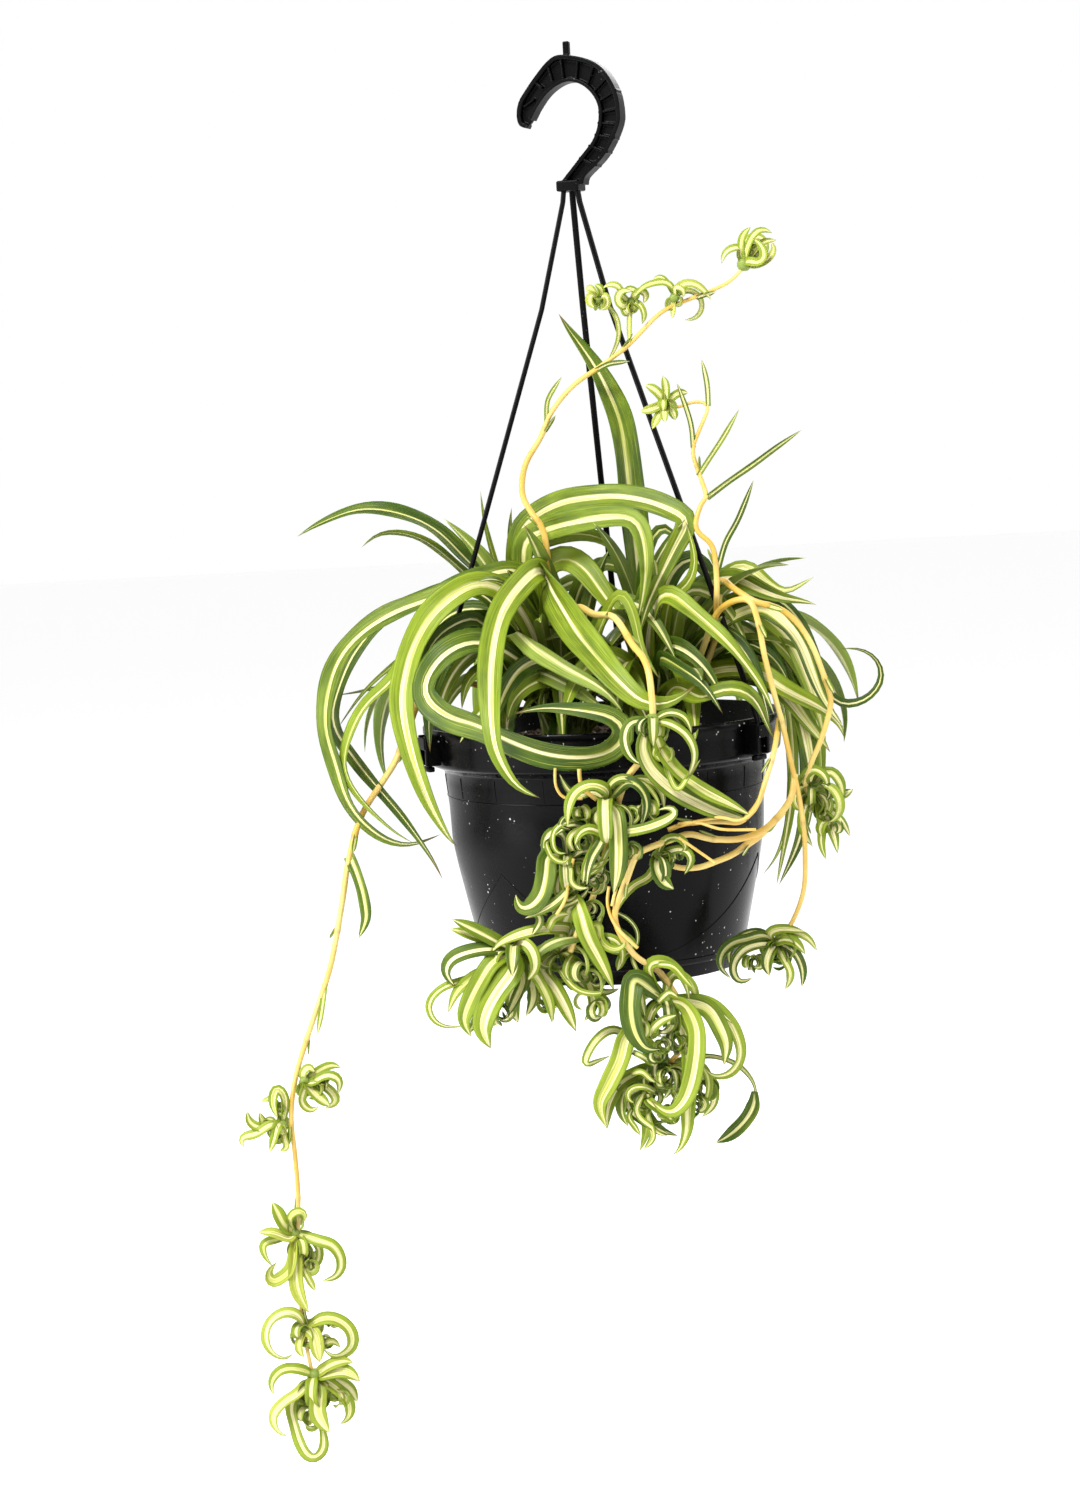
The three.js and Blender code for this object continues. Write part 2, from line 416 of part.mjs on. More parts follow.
// width, tilt at foot, tilt at point, points
const MOTHER = [
  [9, 60, 45, [A0, [-35, 262, 8], [-61, 234.3, 2], [-78.6, 215.1, -2], [-97.3, 205.7, -4], [-116.5, 203.4, -5], [-136, 209.4, -6], [-147, 215, -6]]],
  [6, 60, 45, [A0, [-45, 262, 12], [-72.7, 229.9, 10], [-88.4, 218, 10], [-103.7, 215.3, 8], [-110, 217.4, 7], [-115.6, 222.1, 6]]],
  [11.5, 50, 40, [A0, [-26, 262, -15], [-37.4, 238.4, -28], [-62.5, 242, -36], [-82.1, 249.6, -38], [-101, 255.5, -38], [-118.6, 265.5, -38],
    [-131.6, 281, -38], [-138.2, 307.5, -38], [-134.2, 329, -36], [-128.8, 349.9, -34], [-116.2, 365.3, -32], [-101, 371.8, -30], [-83.8, 367.4, -28]], 18],
  [9, 55, 60, [A0, [-40, 262, -25], [-61, 243, -36], [-82.6, 253.5, -43], [-93.1, 269.3, -46], [-102.8, 288.2, -46], [-118, 300.9, -45], [-128.1, 319.7, -42],
    [-129.7, 334.3, -40], [-120.6, 350.3, -40], [-105.8, 365.9, -40], [-98, 371, -40]], 15],
  [13.5, 40, 20, [A0, [-36, 262, -30], [-56, 243.3, -44], [-78.8, 253.7, -53], [-91.3, 271.3, -56], [-97.7, 290.4, -58], [-99, 306.2, -58],
    [-95.4, 328.2, -56], [-88.8, 350.3, -53], [-80, 369, -46], [-76, 374, -40]], 14],
  [8.5, 40, 30, [A0, [-55, 250, 0], [-95, 252, -10], [-120, 272, -18], [-133, 298, -25], [-134, 311, -28], [-126.1, 324.9, -30], [-118.1, 336.6, -31],
    [-101.9, 358.2, -31], [-89.1, 378.9, -30], [-84.1, 390.5, -29]], 15],
  [4, 70, 50, [A0, [-45, 262, -6], [-78, 264, -22], [-101.4, 280.5, -30], [-116.5, 292.3, -31], [-127.8, 305.2, -31], [-132.2, 311.3, -31]]],
  [4, 70, 60, [A0, [-50, 268, -4], [-84, 274, -16], [-108, 291, -22], [-133, 295, -24]], 8],
  // curl at the left that runs on round the front of the rim and doubles back
  [14, 45, 20, [A0, [-35, 288, -35], [-57.7, 272.6, -60], [-76.2, 276.9, -68], [-87, 290, -70], [-87, 299, -70], [-77, 308, -78], [-61, 314, -88],
    [-49.7, 320.5, -95], [-30, 329, -101], [-10, 332, -104], [5, 328.5, -104], [11, 320, -102], [4, 312.5, -100], [-12, 308.5, -98], [-30, 306.5, -94], [-45, 309, -88]], 24],
  [13, 35, 15, [A0, [-24, 262, -22], [-27, 237.4, -40], [-42.3, 250, -60], [-50.7, 266.3, -76], [-54.3, 286.2, -93], [-55.3, 311.2, -110],
    [-53.9, 327.3, -116], [-47.5, 341.2, -118], [-42.3, 347.1, -117], [-32.9, 351.8, -114]], 14],
  [16, 30, 15, [A0, [-23, 262, -18], [-25.4, 239.2, -32], [-21, 249.4, -48], [-10.4, 270, -72], [2.8, 288.3, -92], [12, 299, -100], [20, 306, -104],
    [30, 308, -104], [40, 304.5, -102], [47, 299, -99]], 14],
  [10, 25, 20, [A0, [-34, 290, -30], [-41.2, 268, -52], [-33.3, 275.6, -66], [-17.2, 287.3, -82], [-1, 297.3, -94], [6.2, 304.3, -97], [10.8, 312.1, -99]], 10],
  // top pair: arch over to the right, crease and hang down
  [12.5, 35, 15, [A0, [-36, 262, 2], [-37, 224, -8], [-31, 213, -14], [-16, 205.4, -22], [0, 203.6, -27], [14, 203.6, -32], [28, 206.6, -38], [39, 211.5, -44],
    [47.5, 217, -48], [43.9, 222.6, -49], [33.7, 240.6, -51], [24.3, 259.3, -53], [19.3, 275.8, -54]], 20],
  [12, 35, 10, [A0, [-32, 262, -6], [-34.7, 226.5, -22], [-25.2, 218.6, -30], [-3.9, 214.2, -40], [14, 213.4, -46], [22, 216.5, -50], [25, 227.6, -54],
    [25.2, 240, -57], [23, 253.3, -58], [19.5, 266, -58]], 17],
  [15, 25, 35, [B0, [23, 280, -10], [21, 240, -15], [18.8, 205, -18], [17.7, 185.1, -18], [15.2, 165.7, -16], [11, 153.4, -13], [5.7, 141.1, -9],
    [-0.9, 129.9, -6], [-7.6, 119.9, -4], [-12, 111.9, -3]], 12],
  [6, 25, 35, [B0, [30.9, 285, -25], [36.2, 256.5, -42], [43.2, 251, -47], [48.5, 244.6, -49], [49.9, 234.7, -50], [47.9, 224.6, -50], [46, 217, -50]], 10],
  [9.5, 35, 45, [B0, [25, 275, -38], [33.9, 252.7, -56], [49.9, 265.2, -70], [64.9, 280.2, -80], [76.6, 296.3, -86], [82, 306, -88], [85.7, 316, -88]], 12],
  [10, 40, 45, [B0, [36, 300, -52], [49.8, 306, -82], [57, 303, -87], [64.3, 301.9, -88], [71.4, 303.5, -87], [76.8, 308.8, -84], [79.6, 315.4, -80], [82.4, 322.8, -76], [85.8, 330, -72]], 13],
  [12, 35, 40, [B0, [40, 272, -12], [56, 250, -24], [70.4, 248, -38], [78.2, 252.4, -44], [86, 256, -47], [93.9, 258.9, -48], [101.9, 259.7, -48], [109, 261.9, -48]], 10],
  [9, 45, 50, [B0, [46, 266, -8], [62, 247, -24], [70, 241.5, -30], [76, 242, -33], [82, 248, -35], [88, 253, -37], [94.8, 256.1, -38], [99, 253.2, -38], [108.4, 248, -38]], 12],
  [12, 40, 45, [B0, [55, 275, -22], [80.1, 262.2, -42], [90.2, 268.3, -49], [97, 275.9, -52], [101.4, 284.2, -53], [104.1, 293.1, -53], [106.9, 301.3, -52],
    [109.7, 308.6, -50], [114.8, 316.9, -48], [120, 324, -46]], 12],
  [11, 45, 35, [B0, [50, 295, -18], [75, 293, -38], [88.3, 301.9, -46], [97.7, 307.6, -47], [105.5, 311.6, -46], [113.2, 316.9, -44], [118.5, 322.7, -42], [120, 329, -40]], 10],
  [10.5, 50, 20, [B0, [60, 296, -20], [80, 298, -36], [91.3, 306.1, -42], [98.1, 315.3, -43], [104, 323.6, -42], [109.3, 330.3, -40], [112.8, 336, -38]], 10],
  [5.5, 50, 40, [B0, [60, 275, -5], [85, 258, -20], [97, 265, -26], [105, 280, -30], [110, 298, -31], [115, 310, -31], [121.5, 312.9, -31], [128.7, 312, -30], [134.5, 309.1, -29],
    [139.2, 303.7, -28], [140.7, 297.4, -27], [138.7, 290.9, -26], [134.1, 286.6, -25], [127.8, 284.3, -24], [119.8, 284.5, -23]], 22],
  [9.5, 50, 10, [B0, [60, 282, 5], [85, 278, -5], [96, 300, -14], [100, 325, -18], [100.5, 345, -20], [98.9, 363.6, -20], [96.4, 375.9, -19], [92.2, 386.6, -17], [84.2, 401.7, -13]], 13],
  [6, 50, 20, [B0, [62, 288, 8], [84, 288, 0], [92, 310, -5], [94, 335, -7], [92, 360, -7], [88, 380, -5], [83, 402, 0]], 11],
  [4.5, 60, 30, [B0, [60, 290, 15], [80, 290, 12], [90, 315, 10], [92, 345, 9], [89, 372, 9], [83, 388, 10], [76.3, 395.9, 12]], 11],
  [6, 50, 30, [A0, [-8, 290, -30], [4, 262, -50], [12, 250, -54], [18, 262, -60], [21, 280, -66], [30, 296, -74]], 9],
  [7, 45, 20, [B0, [34, 298, -40], [30, 284, -62], [40, 290, -78], [52, 300, -90], [60, 314, -97]], 9],
  [8, 45, 20, [A0, [-44, 292, -20], [-58, 262, -40], [-70, 262, -46], [-82, 270, -50], [-90, 286, -52], [-94, 300, -50]], 10],
  // the thick of the plant, behind and between the long ones
  [10, 40, 20, [A0, [-38, 256, 5], [-37, 232, 0], [-25, 223, -4], [-6, 221, -8], [9, 227, -12], [16, 241, -16]], 10],
  [13, 30, 25, [A0, [-30, 262, -8], [-26, 240, -16], [-15, 232.5, -24], [-5, 239, -30], [1, 248.5, -36], [8, 259, -41], [14, 270, -45], [17, 282, -48]], 11],
  [7, 20, 30, [B0, [19, 288, -30], [20, 264, -42], [28, 242, -47], [38, 225, -49], [46, 216, -51]], 7],
  [16, 40, 35, [B0, [48, 286, -10], [64, 264, -20], [77, 262, -28], [88, 269, -32], [96, 280, -34], [101, 292, -35], [105, 305, -35], [108, 318, -34], [110, 329, -33]], 11],
  [10, 45, 30, [A0, [-40, 285, -15], [-55, 275, -25], [-68, 281, -32], [-78, 296, -36], [-83, 314, -36]], 8],
  [8, 45, 40, [A0, [-44, 292, -18], [-57, 285, -30], [-67, 292, -38], [-70, 305, -42]], 7],
  [9, 35, 20, [A0, [-28, 298, -30], [-34, 289, -46], [-25, 291, -62], [-10, 300, -78], [2, 310, -90]], 9],
  [10, 35, 20, [A0, [-20, 298, -34], [-28, 283, -50], [-40, 287, -62], [-49, 300, -76], [-55, 316, -92]], 9],
  [10, 35, 20, [B0, [20, 298, -30], [9, 283, -46], [-4, 285, -60], [-14, 297, -76], [-20, 312, -94]], 9],
  [9, 35, 30, [B0, [29, 296, -30], [33, 279, -45], [42, 281, -58], [52, 291, -70], [60, 305, -84]], 9],
  [9, 45, 35, [B0, [40, 294, -20], [52, 275, -30], [64, 275, -40], [74, 287, -50], [80, 304, -56], [83, 320, -60]], 9],
  [9, 50, 40, [B0, [46, 292, -10], [62, 271, -16], [76, 275, -22], [88, 290, -26], [95, 310, -30]], 9],
  [8, 45, 40, [B0, [31, 286, -16], [37, 262, -22], [47, 251, -26], [58, 255, -30], [68, 268, -34], [75, 284, -38]], 9],
  [9, 40, 30, [A0, [-6, 290, -20], [0, 268, -30], [10, 256, -38], [22, 259, -46], [31, 271, -54], [38, 286, -62]], 9],
  [9, 40, 30, [A0, [-13, 280, -2], [-11, 256, -2], [-3, 240, -4], [8, 236, -6], [18, 245, -8], [26, 261, -10]], 9],
  [9, 40, 30, [B0, [21, 284, 4], [13, 260, 10], [0, 246, 14], [-14, 245, 17], [-26, 255, 20], [-34, 272, 22]], 9],
  [9, 45, 35, [B0, [36, 280, 10], [46, 256, 16], [59, 246, 20], [72, 252, 24], [82, 268, 26], [88, 292, 28]], 9],
  [9, 45, 35, [A0, [-34, 284, 10], [-48, 262, 16], [-64, 255, 20], [-80, 263, 24], [-91, 282, 26], [-97, 306, 28]], 9],
  [4, 40, 40, [A0, [-42, 262, 6], [-50, 232, 4], [-54, 212, 2], [-55, 197, 2]], 6],
  [6, 40, 40, [A0, [-34, 270, 12], [-40, 240, 12], [-42, 220, 10], [-40, 206, 8]], 6],
  [7, 20, 20, [B0, [22, 262, -30], [25, 238, -40], [31, 221, -44], [38, 219, -46], [41, 229, -47], [40, 240, -47]], 8],
  [11, 30, 30, [B0, [30, 280, -5], [33, 255, -8], [40, 240, -10], [50, 236, -12], [58, 247, -14], [63, 262, -16]], 8],
  [10, 30, 20, [B0, [62, 290, -15], [84, 290, -28], [97, 312, -38], [102, 335, -40], [103, 355, -38], [100, 372, -36]], 10],
  [8, 40, 25, [B0, [58, 284, 0], [82, 276, -8], [98, 292, -14], [106, 316, -16], [108, 340, -15], [106, 362, -13]], 10],
  [9, 30, 20, [A0, [-32, 300, -30], [-40, 296, -50], [-52, 300, -66], [-64, 310, -78], [-72, 322, -84]], 8],
  [12, 30, 25, [A0, [-40, 280, -20], [-56, 262, -32], [-70, 268, -42], [-80, 284, -48], [-86, 304, -50], [-87, 326, -50]], 10],
  [9, 30, 20, [A0, [-22, 300, -28], [-24, 292, -46], [-34, 294, -62], [-44, 302, -78], [-48, 313, -92]], 8],
];

const mother = MOTHER.map(([w, t0, t1, pts, segs]) => leaf(w, t0, t1, pts, segs));
{ // the leaves of the sides and back, and the short ones filling the crowns
  const rnd = seeded(41);
  const crowns = [place(A0), place(B0)];
  for (let i = 0; i < 12; i++) {
    const az = 12 + 156 * (i + 0.5) / 12 + 8 * (rnd() - 0.5), back = Math.sin(deg(az));
    const c = crowns[Math.cos(deg(az)) < 0 ? 0 : 1];
    mother.push(arch(c.clone().add(V(Math.cos(deg(az)) * 5, Math.sin(deg(az)) * 6, -2)), az, 74 - 8 * rnd(), 150 + 34 * rnd(),
      120 + 95 * back * (0.7 + 0.5 * rnd()), 9 + 4 * rnd(), 50 * (rnd() - 0.5), 6, 1.15));
  }
  for (let i = 0; i < 9; i++) {
    const az = 190 + 160 * (i + 0.5) / 9 + 10 * (rnd() - 0.5);
    const c = crowns[i % 2];
    mother.push(arch(c.clone().add(V(Math.cos(deg(az)) * 6, Math.sin(deg(az)) * 6, -2)), az, 82 - 10 * rnd(), 150 + 60 * rnd(),
      82 + 42 * rnd(), 8 + 4 * rnd(), 90 * (rnd() - 0.5), 5, 1.4));
  }
}

// ---------------------------------------------------------------- plantlets
// name, centre [x, depth, y], leaf length, how many by rule, seed, azimuth range, leaves by hand
const HEADS = [
  ['plantlet_top_right', [80.5, 92.5, -28], 26, 0, 3, [0, 360], [
    [4, 30, 30, [[80, 93, -28], [77.5, 87, -30], [80, 84.6, -31], [75, 84.4, -31], [71, 87, -31], [69.5, 91.5, -31]], 8],
    [4, 30, 30, [[80, 93, -28], [79.5, 86, -31], [80.5, 79, -32], [84.5, 74.5, -32]], 6],
    [4, 30, 30, [[80, 93, -28], [82, 86, -33], [85.5, 79, -34], [90, 76, -34], [95, 78, -34]], 7],
    [4, 30, 30, [[80, 93, -28], [84, 88, -31], [90, 82.5, -32], [97, 81.5, -32]], 6],
    [4, 30, 30, [[80, 93, -28], [87, 93.5, -32], [93, 90.5, -33], [96, 85.5, -33], [94, 82, -33]], 8],
    [4.5, 25, 30, [[80, 93, -28], [83, 91, -34], [88, 92.5, -36], [91, 88, -36], [88.5, 82.5, -36], [85, 80, -35]], 8],
    [4, 30, 30, [[80, 93, -28], [83, 84, -26], [87, 79, -24], [91, 82, -23], [91, 88, -23], [87, 90.5, -24]], 8],
    [3.5, 30, 30, [[80, 93, -28], [79, 89, -25], [83, 80, -22], [88, 77, -21]], 6]]],
  ['plantlet_upper', [45.5, 107, -27], 17, 0, 5, [0, 360], [
    [3.5, 30, 30, [[45.5, 110, -27], [45, 103, -29], [42, 99.5, -30], [36, 99.5, -30], [30, 101.5, -30], [25.5, 106, -30]], 9],
    [4.5, 30, 40, [[45.5, 110, -27], [48, 102, -29], [54, 100.5, -29], [60, 104.5, -29], [63.5, 109, -29]], 8],
    [3.5, 45, 40, [[46, 109, -27], [52, 104, -24], [57.5, 107, -23], [58.5, 113, -23], [55, 117.5, -23], [50, 118.2, -23]], 9],
    [3, 30, 30, [[45.5, 108, -27], [43, 101, -26], [39, 96.5, -26], [35, 98, -26]], 6],
    [3, 30, 30, [[45.5, 108, -27], [46.5, 102, -31], [50, 104, -32], [49.5, 107.5, -32]], 5],
    [3, 40, 40, [[45.5, 108, -27], [44.5, 115, -27], [43.6, 117, -27]], 4]]],
  ['plantlet_bud_right', [24, 108, -25], 12, 0, 7, [0, 360], [
    [2.6, 30, 30, [[24, 108, -25], [23, 116, -25], [22.5, 125, -25], [22.4, 130, -24.5]], 6],
    [3.5, 30, 30, [[24, 108, -26], [19.5, 105, -28], [18.5, 100.5, -28], [14, 99, -28], [10.5, 100.5, -28]], 7],
    [4, 30, 30, [[24, 108, -26], [28, 103, -28], [31.5, 105, -28], [30, 109, -28]], 6],
    [3.5, 30, 30, [[24, 108, -26], [28, 109.5, -28], [30, 114.5, -28], [29, 119, -28]], 6],
    [4, 30, 30, [[24, 108, -26], [20, 110, -29], [17.5, 106, -30], [20, 102.5, -30], [25, 103, -30]], 7],
    [3.5, 30, 30, [[24, 108, -24], [27, 104, -22], [23, 101.5, -21], [20, 105, -21]], 6]]],
  ['plantlet_bud_left', [8, 106, -24], 9, 0, 9, [0, 360], [
    [2.6, 30, 30, [[8, 106, -24], [13, 110, -24], [16.5, 116, -24], [17, 124, -24], [14.5, 131, -24], [11, 136.5, -23.5]], 9],
    [4, 30, 30, [[8, 106, -25], [4.5, 103.5, -27], [3.5, 107, -27], [6, 110, -27]], 6],
    [4, 30, 30, [[8, 106, -25], [9.5, 101.5, -27], [6.5, 98.5, -27]], 5],
    [4, 30, 30, [[8, 106, -25], [11.5, 104.5, -28], [12, 109, -28], [8.5, 111, -28]], 6],
    [3.5, 30, 30, [[8, 106, -24], [4, 100, -22], [2.5, 102, -21]], 5]]],
  ['plantlet_star', [38.8, 158.5, -46], 14, 0, 11, [0, 360], [
    [4, 10, 10, [[39, 158, -46], [39, 150, -47], [38, 145, -46]]], [4.5, 10, 10, [[39, 158, -46], [34, 152, -47], [29, 149, -46]]],
    [4.5, 10, 10, [[39, 158, -46], [32, 161, -48], [26, 162, -48]]], [4, 10, 10, [[39, 158, -46], [34, 166, -48], [31.5, 171, -48]]],
    [4.5, 10, 10, [[39, 158, -46], [42, 163, -48], [43, 167, -47]]], [4, 10, 10, [[39, 158, -46], [45, 154, -44], [50, 154, -42]]],
    [4, 10, 10, [[39, 158, -46], [38, 163, -50], [38, 168, -53]]]]],
  ['plantlet_front', [24.8, 316, -114], 30, 1, 13, [180, 360], [
    [9.5, 25, 30, [[22, 314, -114], [19, 327, -119], [22, 339, -119], [33, 351, -117], [45.7, 359, -113], [57.2, 364.3, -110], [71, 368, -106]], 11],
    [7, 25, 30, [[26, 316, -114], [28, 330, -120], [36, 342, -119], [48, 352, -116], [62, 360, -112], [72, 366, -108]], 9],
    [5.5, 40, 60, [[26, 316, -115], [33, 318, -122], [41, 324, -124], [44.5, 333, -124], [42, 343, -122], [38, 349, -120]], 10],
    [3, 30, 30, [[24, 318, -114], [34, 350, -122], [41, 345, -122], [48, 336, -122]], 7],
    [5, 30, 30, [[25, 316, -114], [14, 316, -116], [10.5, 324, -118], [13, 333, -119], [19, 338, -119]], 7],
    [4, 30, 30, [[25, 316, -114], [33, 312, -118], [41, 315, -120], [44, 323, -121]], 6]]],
  ['plantlets_right', [104, 354, -52], 34, 1, 15, [250, 380], [
    [6, 30, 40, [[101, 358, -54], [106, 350, -54], [112, 345.5, -54], [117, 352, -54], [118, 360, -54]], 7],
    [6, 30, 40, [[101, 358, -54], [110, 356, -52], [118, 358, -52], [123.5, 355, -52]], 6],
    [7, 30, 30, [[102, 360, -54], [108, 362, -52], [114, 364, -50], [118.5, 366.5, -50]], 6],
    [6, 30, 30, [[103, 360, -54], [109, 368, -54], [112.5, 378, -54], [114.3, 387, -54]], 7],
    [5, 30, 30, [[103, 360, -54], [106.5, 372, -56], [106, 382, -56], [108.5, 390, -56]], 7],
    [5, 30, 30, [[103, 358, -54], [98, 350, -56], [104, 344, -57], [110, 349, -57], [110, 357, -56]], 7],
    [5, 30, 30, [[103, 360, -54], [98, 366, -58], [98, 375, -59], [102, 383, -59]], 6],
    [4.5, 30, 30, [[103, 360, -54], [110, 364, -56], [117, 371, -56], [121, 379, -55]], 6]]],
  ['plantlet_low_right', [81, 431, -58], 22, 0, 17, [180, 360], [
    [6.5, 50, 50, [[84, 431, -58], [76, 427, -60], [67.3, 428.8, -62], [60, 430.3, -62], [54.3, 435.4, -62], [53.5, 441.7, -62], [58.1, 447.8, -62]], 12],
    [6, 50, 50, [[84, 431, -58], [75, 431.5, -64], [67, 433, -66], [61.8, 437.6, -66], [59.7, 443.8, -66], [62.6, 449.4, -66], [69, 448, -66]], 12],
    [5.5, 45, 45, [[80, 432, -58], [78.3, 426, -60], [84.7, 424.3, -61], [96, 425.8, -62]], 7],
    [6.5, 50, 50, [[81, 431, -58], [86, 429.8, -64], [91, 431.5, -66], [96, 437.3, -66]], 7],
    [6, 50, 40, [[81, 432, -58], [86, 433, -60], [91, 437.2, -60], [94, 445.5, -60], [93.5, 454, -60]], 8],
    [6.5, 30, 20, [[81, 429, -58], [78, 436, -68], [76.5, 441, -69], [77.5, 447.5, -69]], 6],
    [4, 30, 20, [[81, 431, -58], [85, 438, -56], [87.5, 445, -55], [86, 452.5, -55]], 6],
    [4.5, 45, 45, [[81, 431, -58], [73, 425, -56], [64, 427, -55], [58, 434, -55], [58, 442, -55]], 8],
    [4.5, 40, 40, [[81, 431, -58], [88, 426, -60], [97, 429, -60], [102, 436, -60]], 6],
    [5, 35, 35, [[81, 431, -58], [84, 438, -64], [88, 447, -64], [85, 455, -63]], 6]]],
  ['plantlet_cascade_top', [0, 356, -110], 34, 1, 19, [180, 360], [
    [9, 20, 10, [[2, 352, -112], [4, 362, -120], [4.5, 376, -123], [3.6, 390, -122], [1, 402, -120]], 9],
    [7, 50, 50, [[0, 358, -110], [0, 350, -116], [-7, 346.8, -119], [-15, 350, -120], [-19, 358, -120], [-20, 367, -119]], 10],
    [5, 40, 30, [[2, 356, -110], [10, 346, -116], [17, 349, -118], [20, 358, -118], [17, 368, -118]], 9],
    [3.5, 20, 20, [[0, 356, -110], [-6, 350, -108], [-14, 352, -106], [-19.5, 348, -106], [-23, 340, -106]], 8],
    [5.5, 30, 20, [[0, 362, -114], [2, 370, -118], [10, 371, -120], [20, 369.5, -120], [30, 366, -119], [34.5, 362.5, -118], [31, 359.5, -117], [25, 361, -116]], 10],
    [4.5, 25, 20, [[0, 366, -114], [-3, 374, -118], [-8, 382, -119], [-11, 390, -118], [-12, 397, -117]], 6],
    [5, 20, 20, [[0, 364, -113], [-2, 371, -117], [-9, 368, -119], [-15, 371, -119], [-17, 377, -118]], 6],
    [4, 35, 35, [[1, 356, -112], [2, 347, -114], [8, 343.5, -115], [15, 346, -116], [19, 353, -116], [19, 361, -115], [16, 367, -114]], 8],
    [4.5, 30, 30, [[2, 354, -112], [12, 346, -112], [22, 346, -113], [27.5, 352, -113], [28.5, 361, -112]], 7]]],
  ['plantlet_cascade_left', [-21, 384, -100], 36, 1, 23, [180, 360], [
    [10, 20, 15, [[-22, 384, -102], [-30, 381, -108], [-31.8, 391, -109], [-35, 401, -108], [-41, 406.6, -107], [-46.4, 406.4, -106], [-48, 399.8, -105]], 13],
    [5, 50, 50, [[-20, 382, -102], [-23, 371, -106], [-28.5, 369, -107], [-32, 375, -107], [-32, 384, -106]], 9],
    [5, 50, 40, [[-18, 384, -102], [-10, 372, -108], [-18, 366, -110], [-27, 371, -110]], 8],
    [4, 30, 30, [[-20, 384, -102], [-12, 379, -108], [-5, 384, -110], [-5, 391, -110], [-11, 395, -109], [-17, 392, -108]], 8],
    [4.5, 30, 30, [[-20, 386, -102], [-26, 392, -106], [-27, 400, -108], [-22, 405, -108], [-17, 401, -107]], 7],
    [5, 30, 25, [[-20, 386, -102], [-20, 396, -108], [-27, 404, -110], [-36, 409, -110], [-44, 412, -108]], 7],
    [3, 30, 30, [[-21, 384, -100], [-13, 384, -103], [-4, 389, -106.5], [0, 391, -108]], 5]]],
  ['plantlet_cascade_right', [24, 384, -108], 22, 1, 25, [200, 380], [
    [8, 25, 25, [[25, 382, -108], [23, 390, -114], [26, 397, -116], [31.5, 401, -116]], 6],
    [4.5, 30, 30, [[26, 384, -108], [36, 381, -114], [41, 386, -115], [37, 394, -114]], 7],
    [4, 30, 30, [[25, 382, -108], [28, 376, -113], [35, 375, -115], [39, 380, -115], [35, 384, -114]], 6],
    [4.5, 30, 30, [[24, 386, -108], [20, 394, -108], [12, 398, -108], [5, 405, -107], [2, 412, -106]], 7]]],
  ['plantlet_low_left', [-50, 429, -100], 34, 1, 27, [190, 350], [
    [8, 45, 40, [[-49, 430, -96], [-62.3, 427, -104], [-75, 428.5, -106], [-82.8, 432.3, -106], [-84.6, 438.5, -106], [-80.5, 445.1, -106]], 11],
    [7, 35, 30, [[-49, 428, -96], [-60, 422.5, -102], [-71, 416, -104], [-80.6, 410.6, -104]], 8],
    [6, 35, 30, [[-49, 429, -96], [-62, 423, -99], [-73, 418.5, -100], [-82, 415.5, -100]], 8],
    [9.5, 40, 20, [[-49, 430, -98], [-60.5, 433.4, -108], [-67.4, 442.7, -111], [-73.3, 453.1, -111], [-77, 462.5, -110], [-74, 471, -110]], 11],
    [12, 30, 15, [[-47, 428, -98], [-51.1, 438.2, -110], [-59.2, 448.5, -114], [-65, 457.8, -115], [-67.7, 467.3, -114], [-64.6, 477.5, -113]], 11],
    [6, 35, 35, [[-50, 430, -98], [-46, 424, -106], [-41, 429, -109], [-40.5, 438, -109], [-45, 444, -108]], 8],
    [4.5, 45, 45, [[-52, 432, -98], [-64, 438, -103], [-76, 442.3, -104], [-86.8, 445.4, -104], [-94, 452.5, -104], [-92.5, 460.8, -104], [-86, 465, -104], [-77, 465, -104]], 14],
    [8, 30, 15, [[-48, 430, -98], [-50, 444, -104], [-53, 455, -105], [-50, 465, -104]], 8],
    [6, 30, 15, [[-47, 430, -97], [-43, 444, -100], [-42, 453, -101], [-46, 462, -101]], 8],
    [6, 40, 35, [[-50, 429, -97], [-58, 436, -103], [-70, 440, -106], [-80, 448, -106], [-85, 458, -105]], 8],
    [7, 35, 25, [[-50, 429, -97], [-56, 440, -104], [-62, 452, -106], [-70, 462, -106], [-76, 470, -105]], 8],
    [6, 35, 30, [[-50, 429, -97], [-44, 436, -102], [-38, 446, -104], [-34, 456, -103], [-33, 466, -102]], 7],
    [5.5, 30, 20, [[-50, 429, -97], [-46, 442, -107], [-50, 452, -109], [-56, 462, -109]], 7]]],
  ['plantlet_low_middle', [-28, 429, -90], 36, 0, 29, [180, 360], [
    [8, 25, 20, [[-34, 428, -87], [-37.2, 437.8, -95], [-31.3, 447.8, -98], [-26.5, 457.6, -98], [-21, 471, -97]], 9],
    [9, 25, 15, [[-28, 429, -90], [-24, 416, -96], [-18, 404, -104], [-15.5, 411, -110], [-13, 423, -111], [-8, 434, -109], [-3.5, 444, -107], [-1, 451, -106]], 11],
    [6, 30, 30, [[-28, 429, -92], [-17, 424, -100], [-25, 423.5, -108], [-33, 426, -108], [-39, 431, -107], [-40, 438, -106]], 8],
    [6, 35, 30, [[-28, 429, -92], [-22, 419, -98], [-33, 418, -104], [-46, 420, -105], [-57, 424, -105], [-62, 429, -104]], 8],
    [4.5, 25, 25, [[-28, 429, -90], [-8, 417, -104], [-7, 425, -107], [-1, 430.5, -108], [6, 428, -108], [4, 422, -107]], 8],
    [5, 20, 20, [[-28, 429, -90], [-4, 424, -104], [4, 430, -106], [3, 439, -105]], 6],
    [5, 35, 35, [[-28, 430, -90], [-20, 428, -96], [-12, 432, -98], [-8, 440, -97], [-12, 447, -96]], 6],
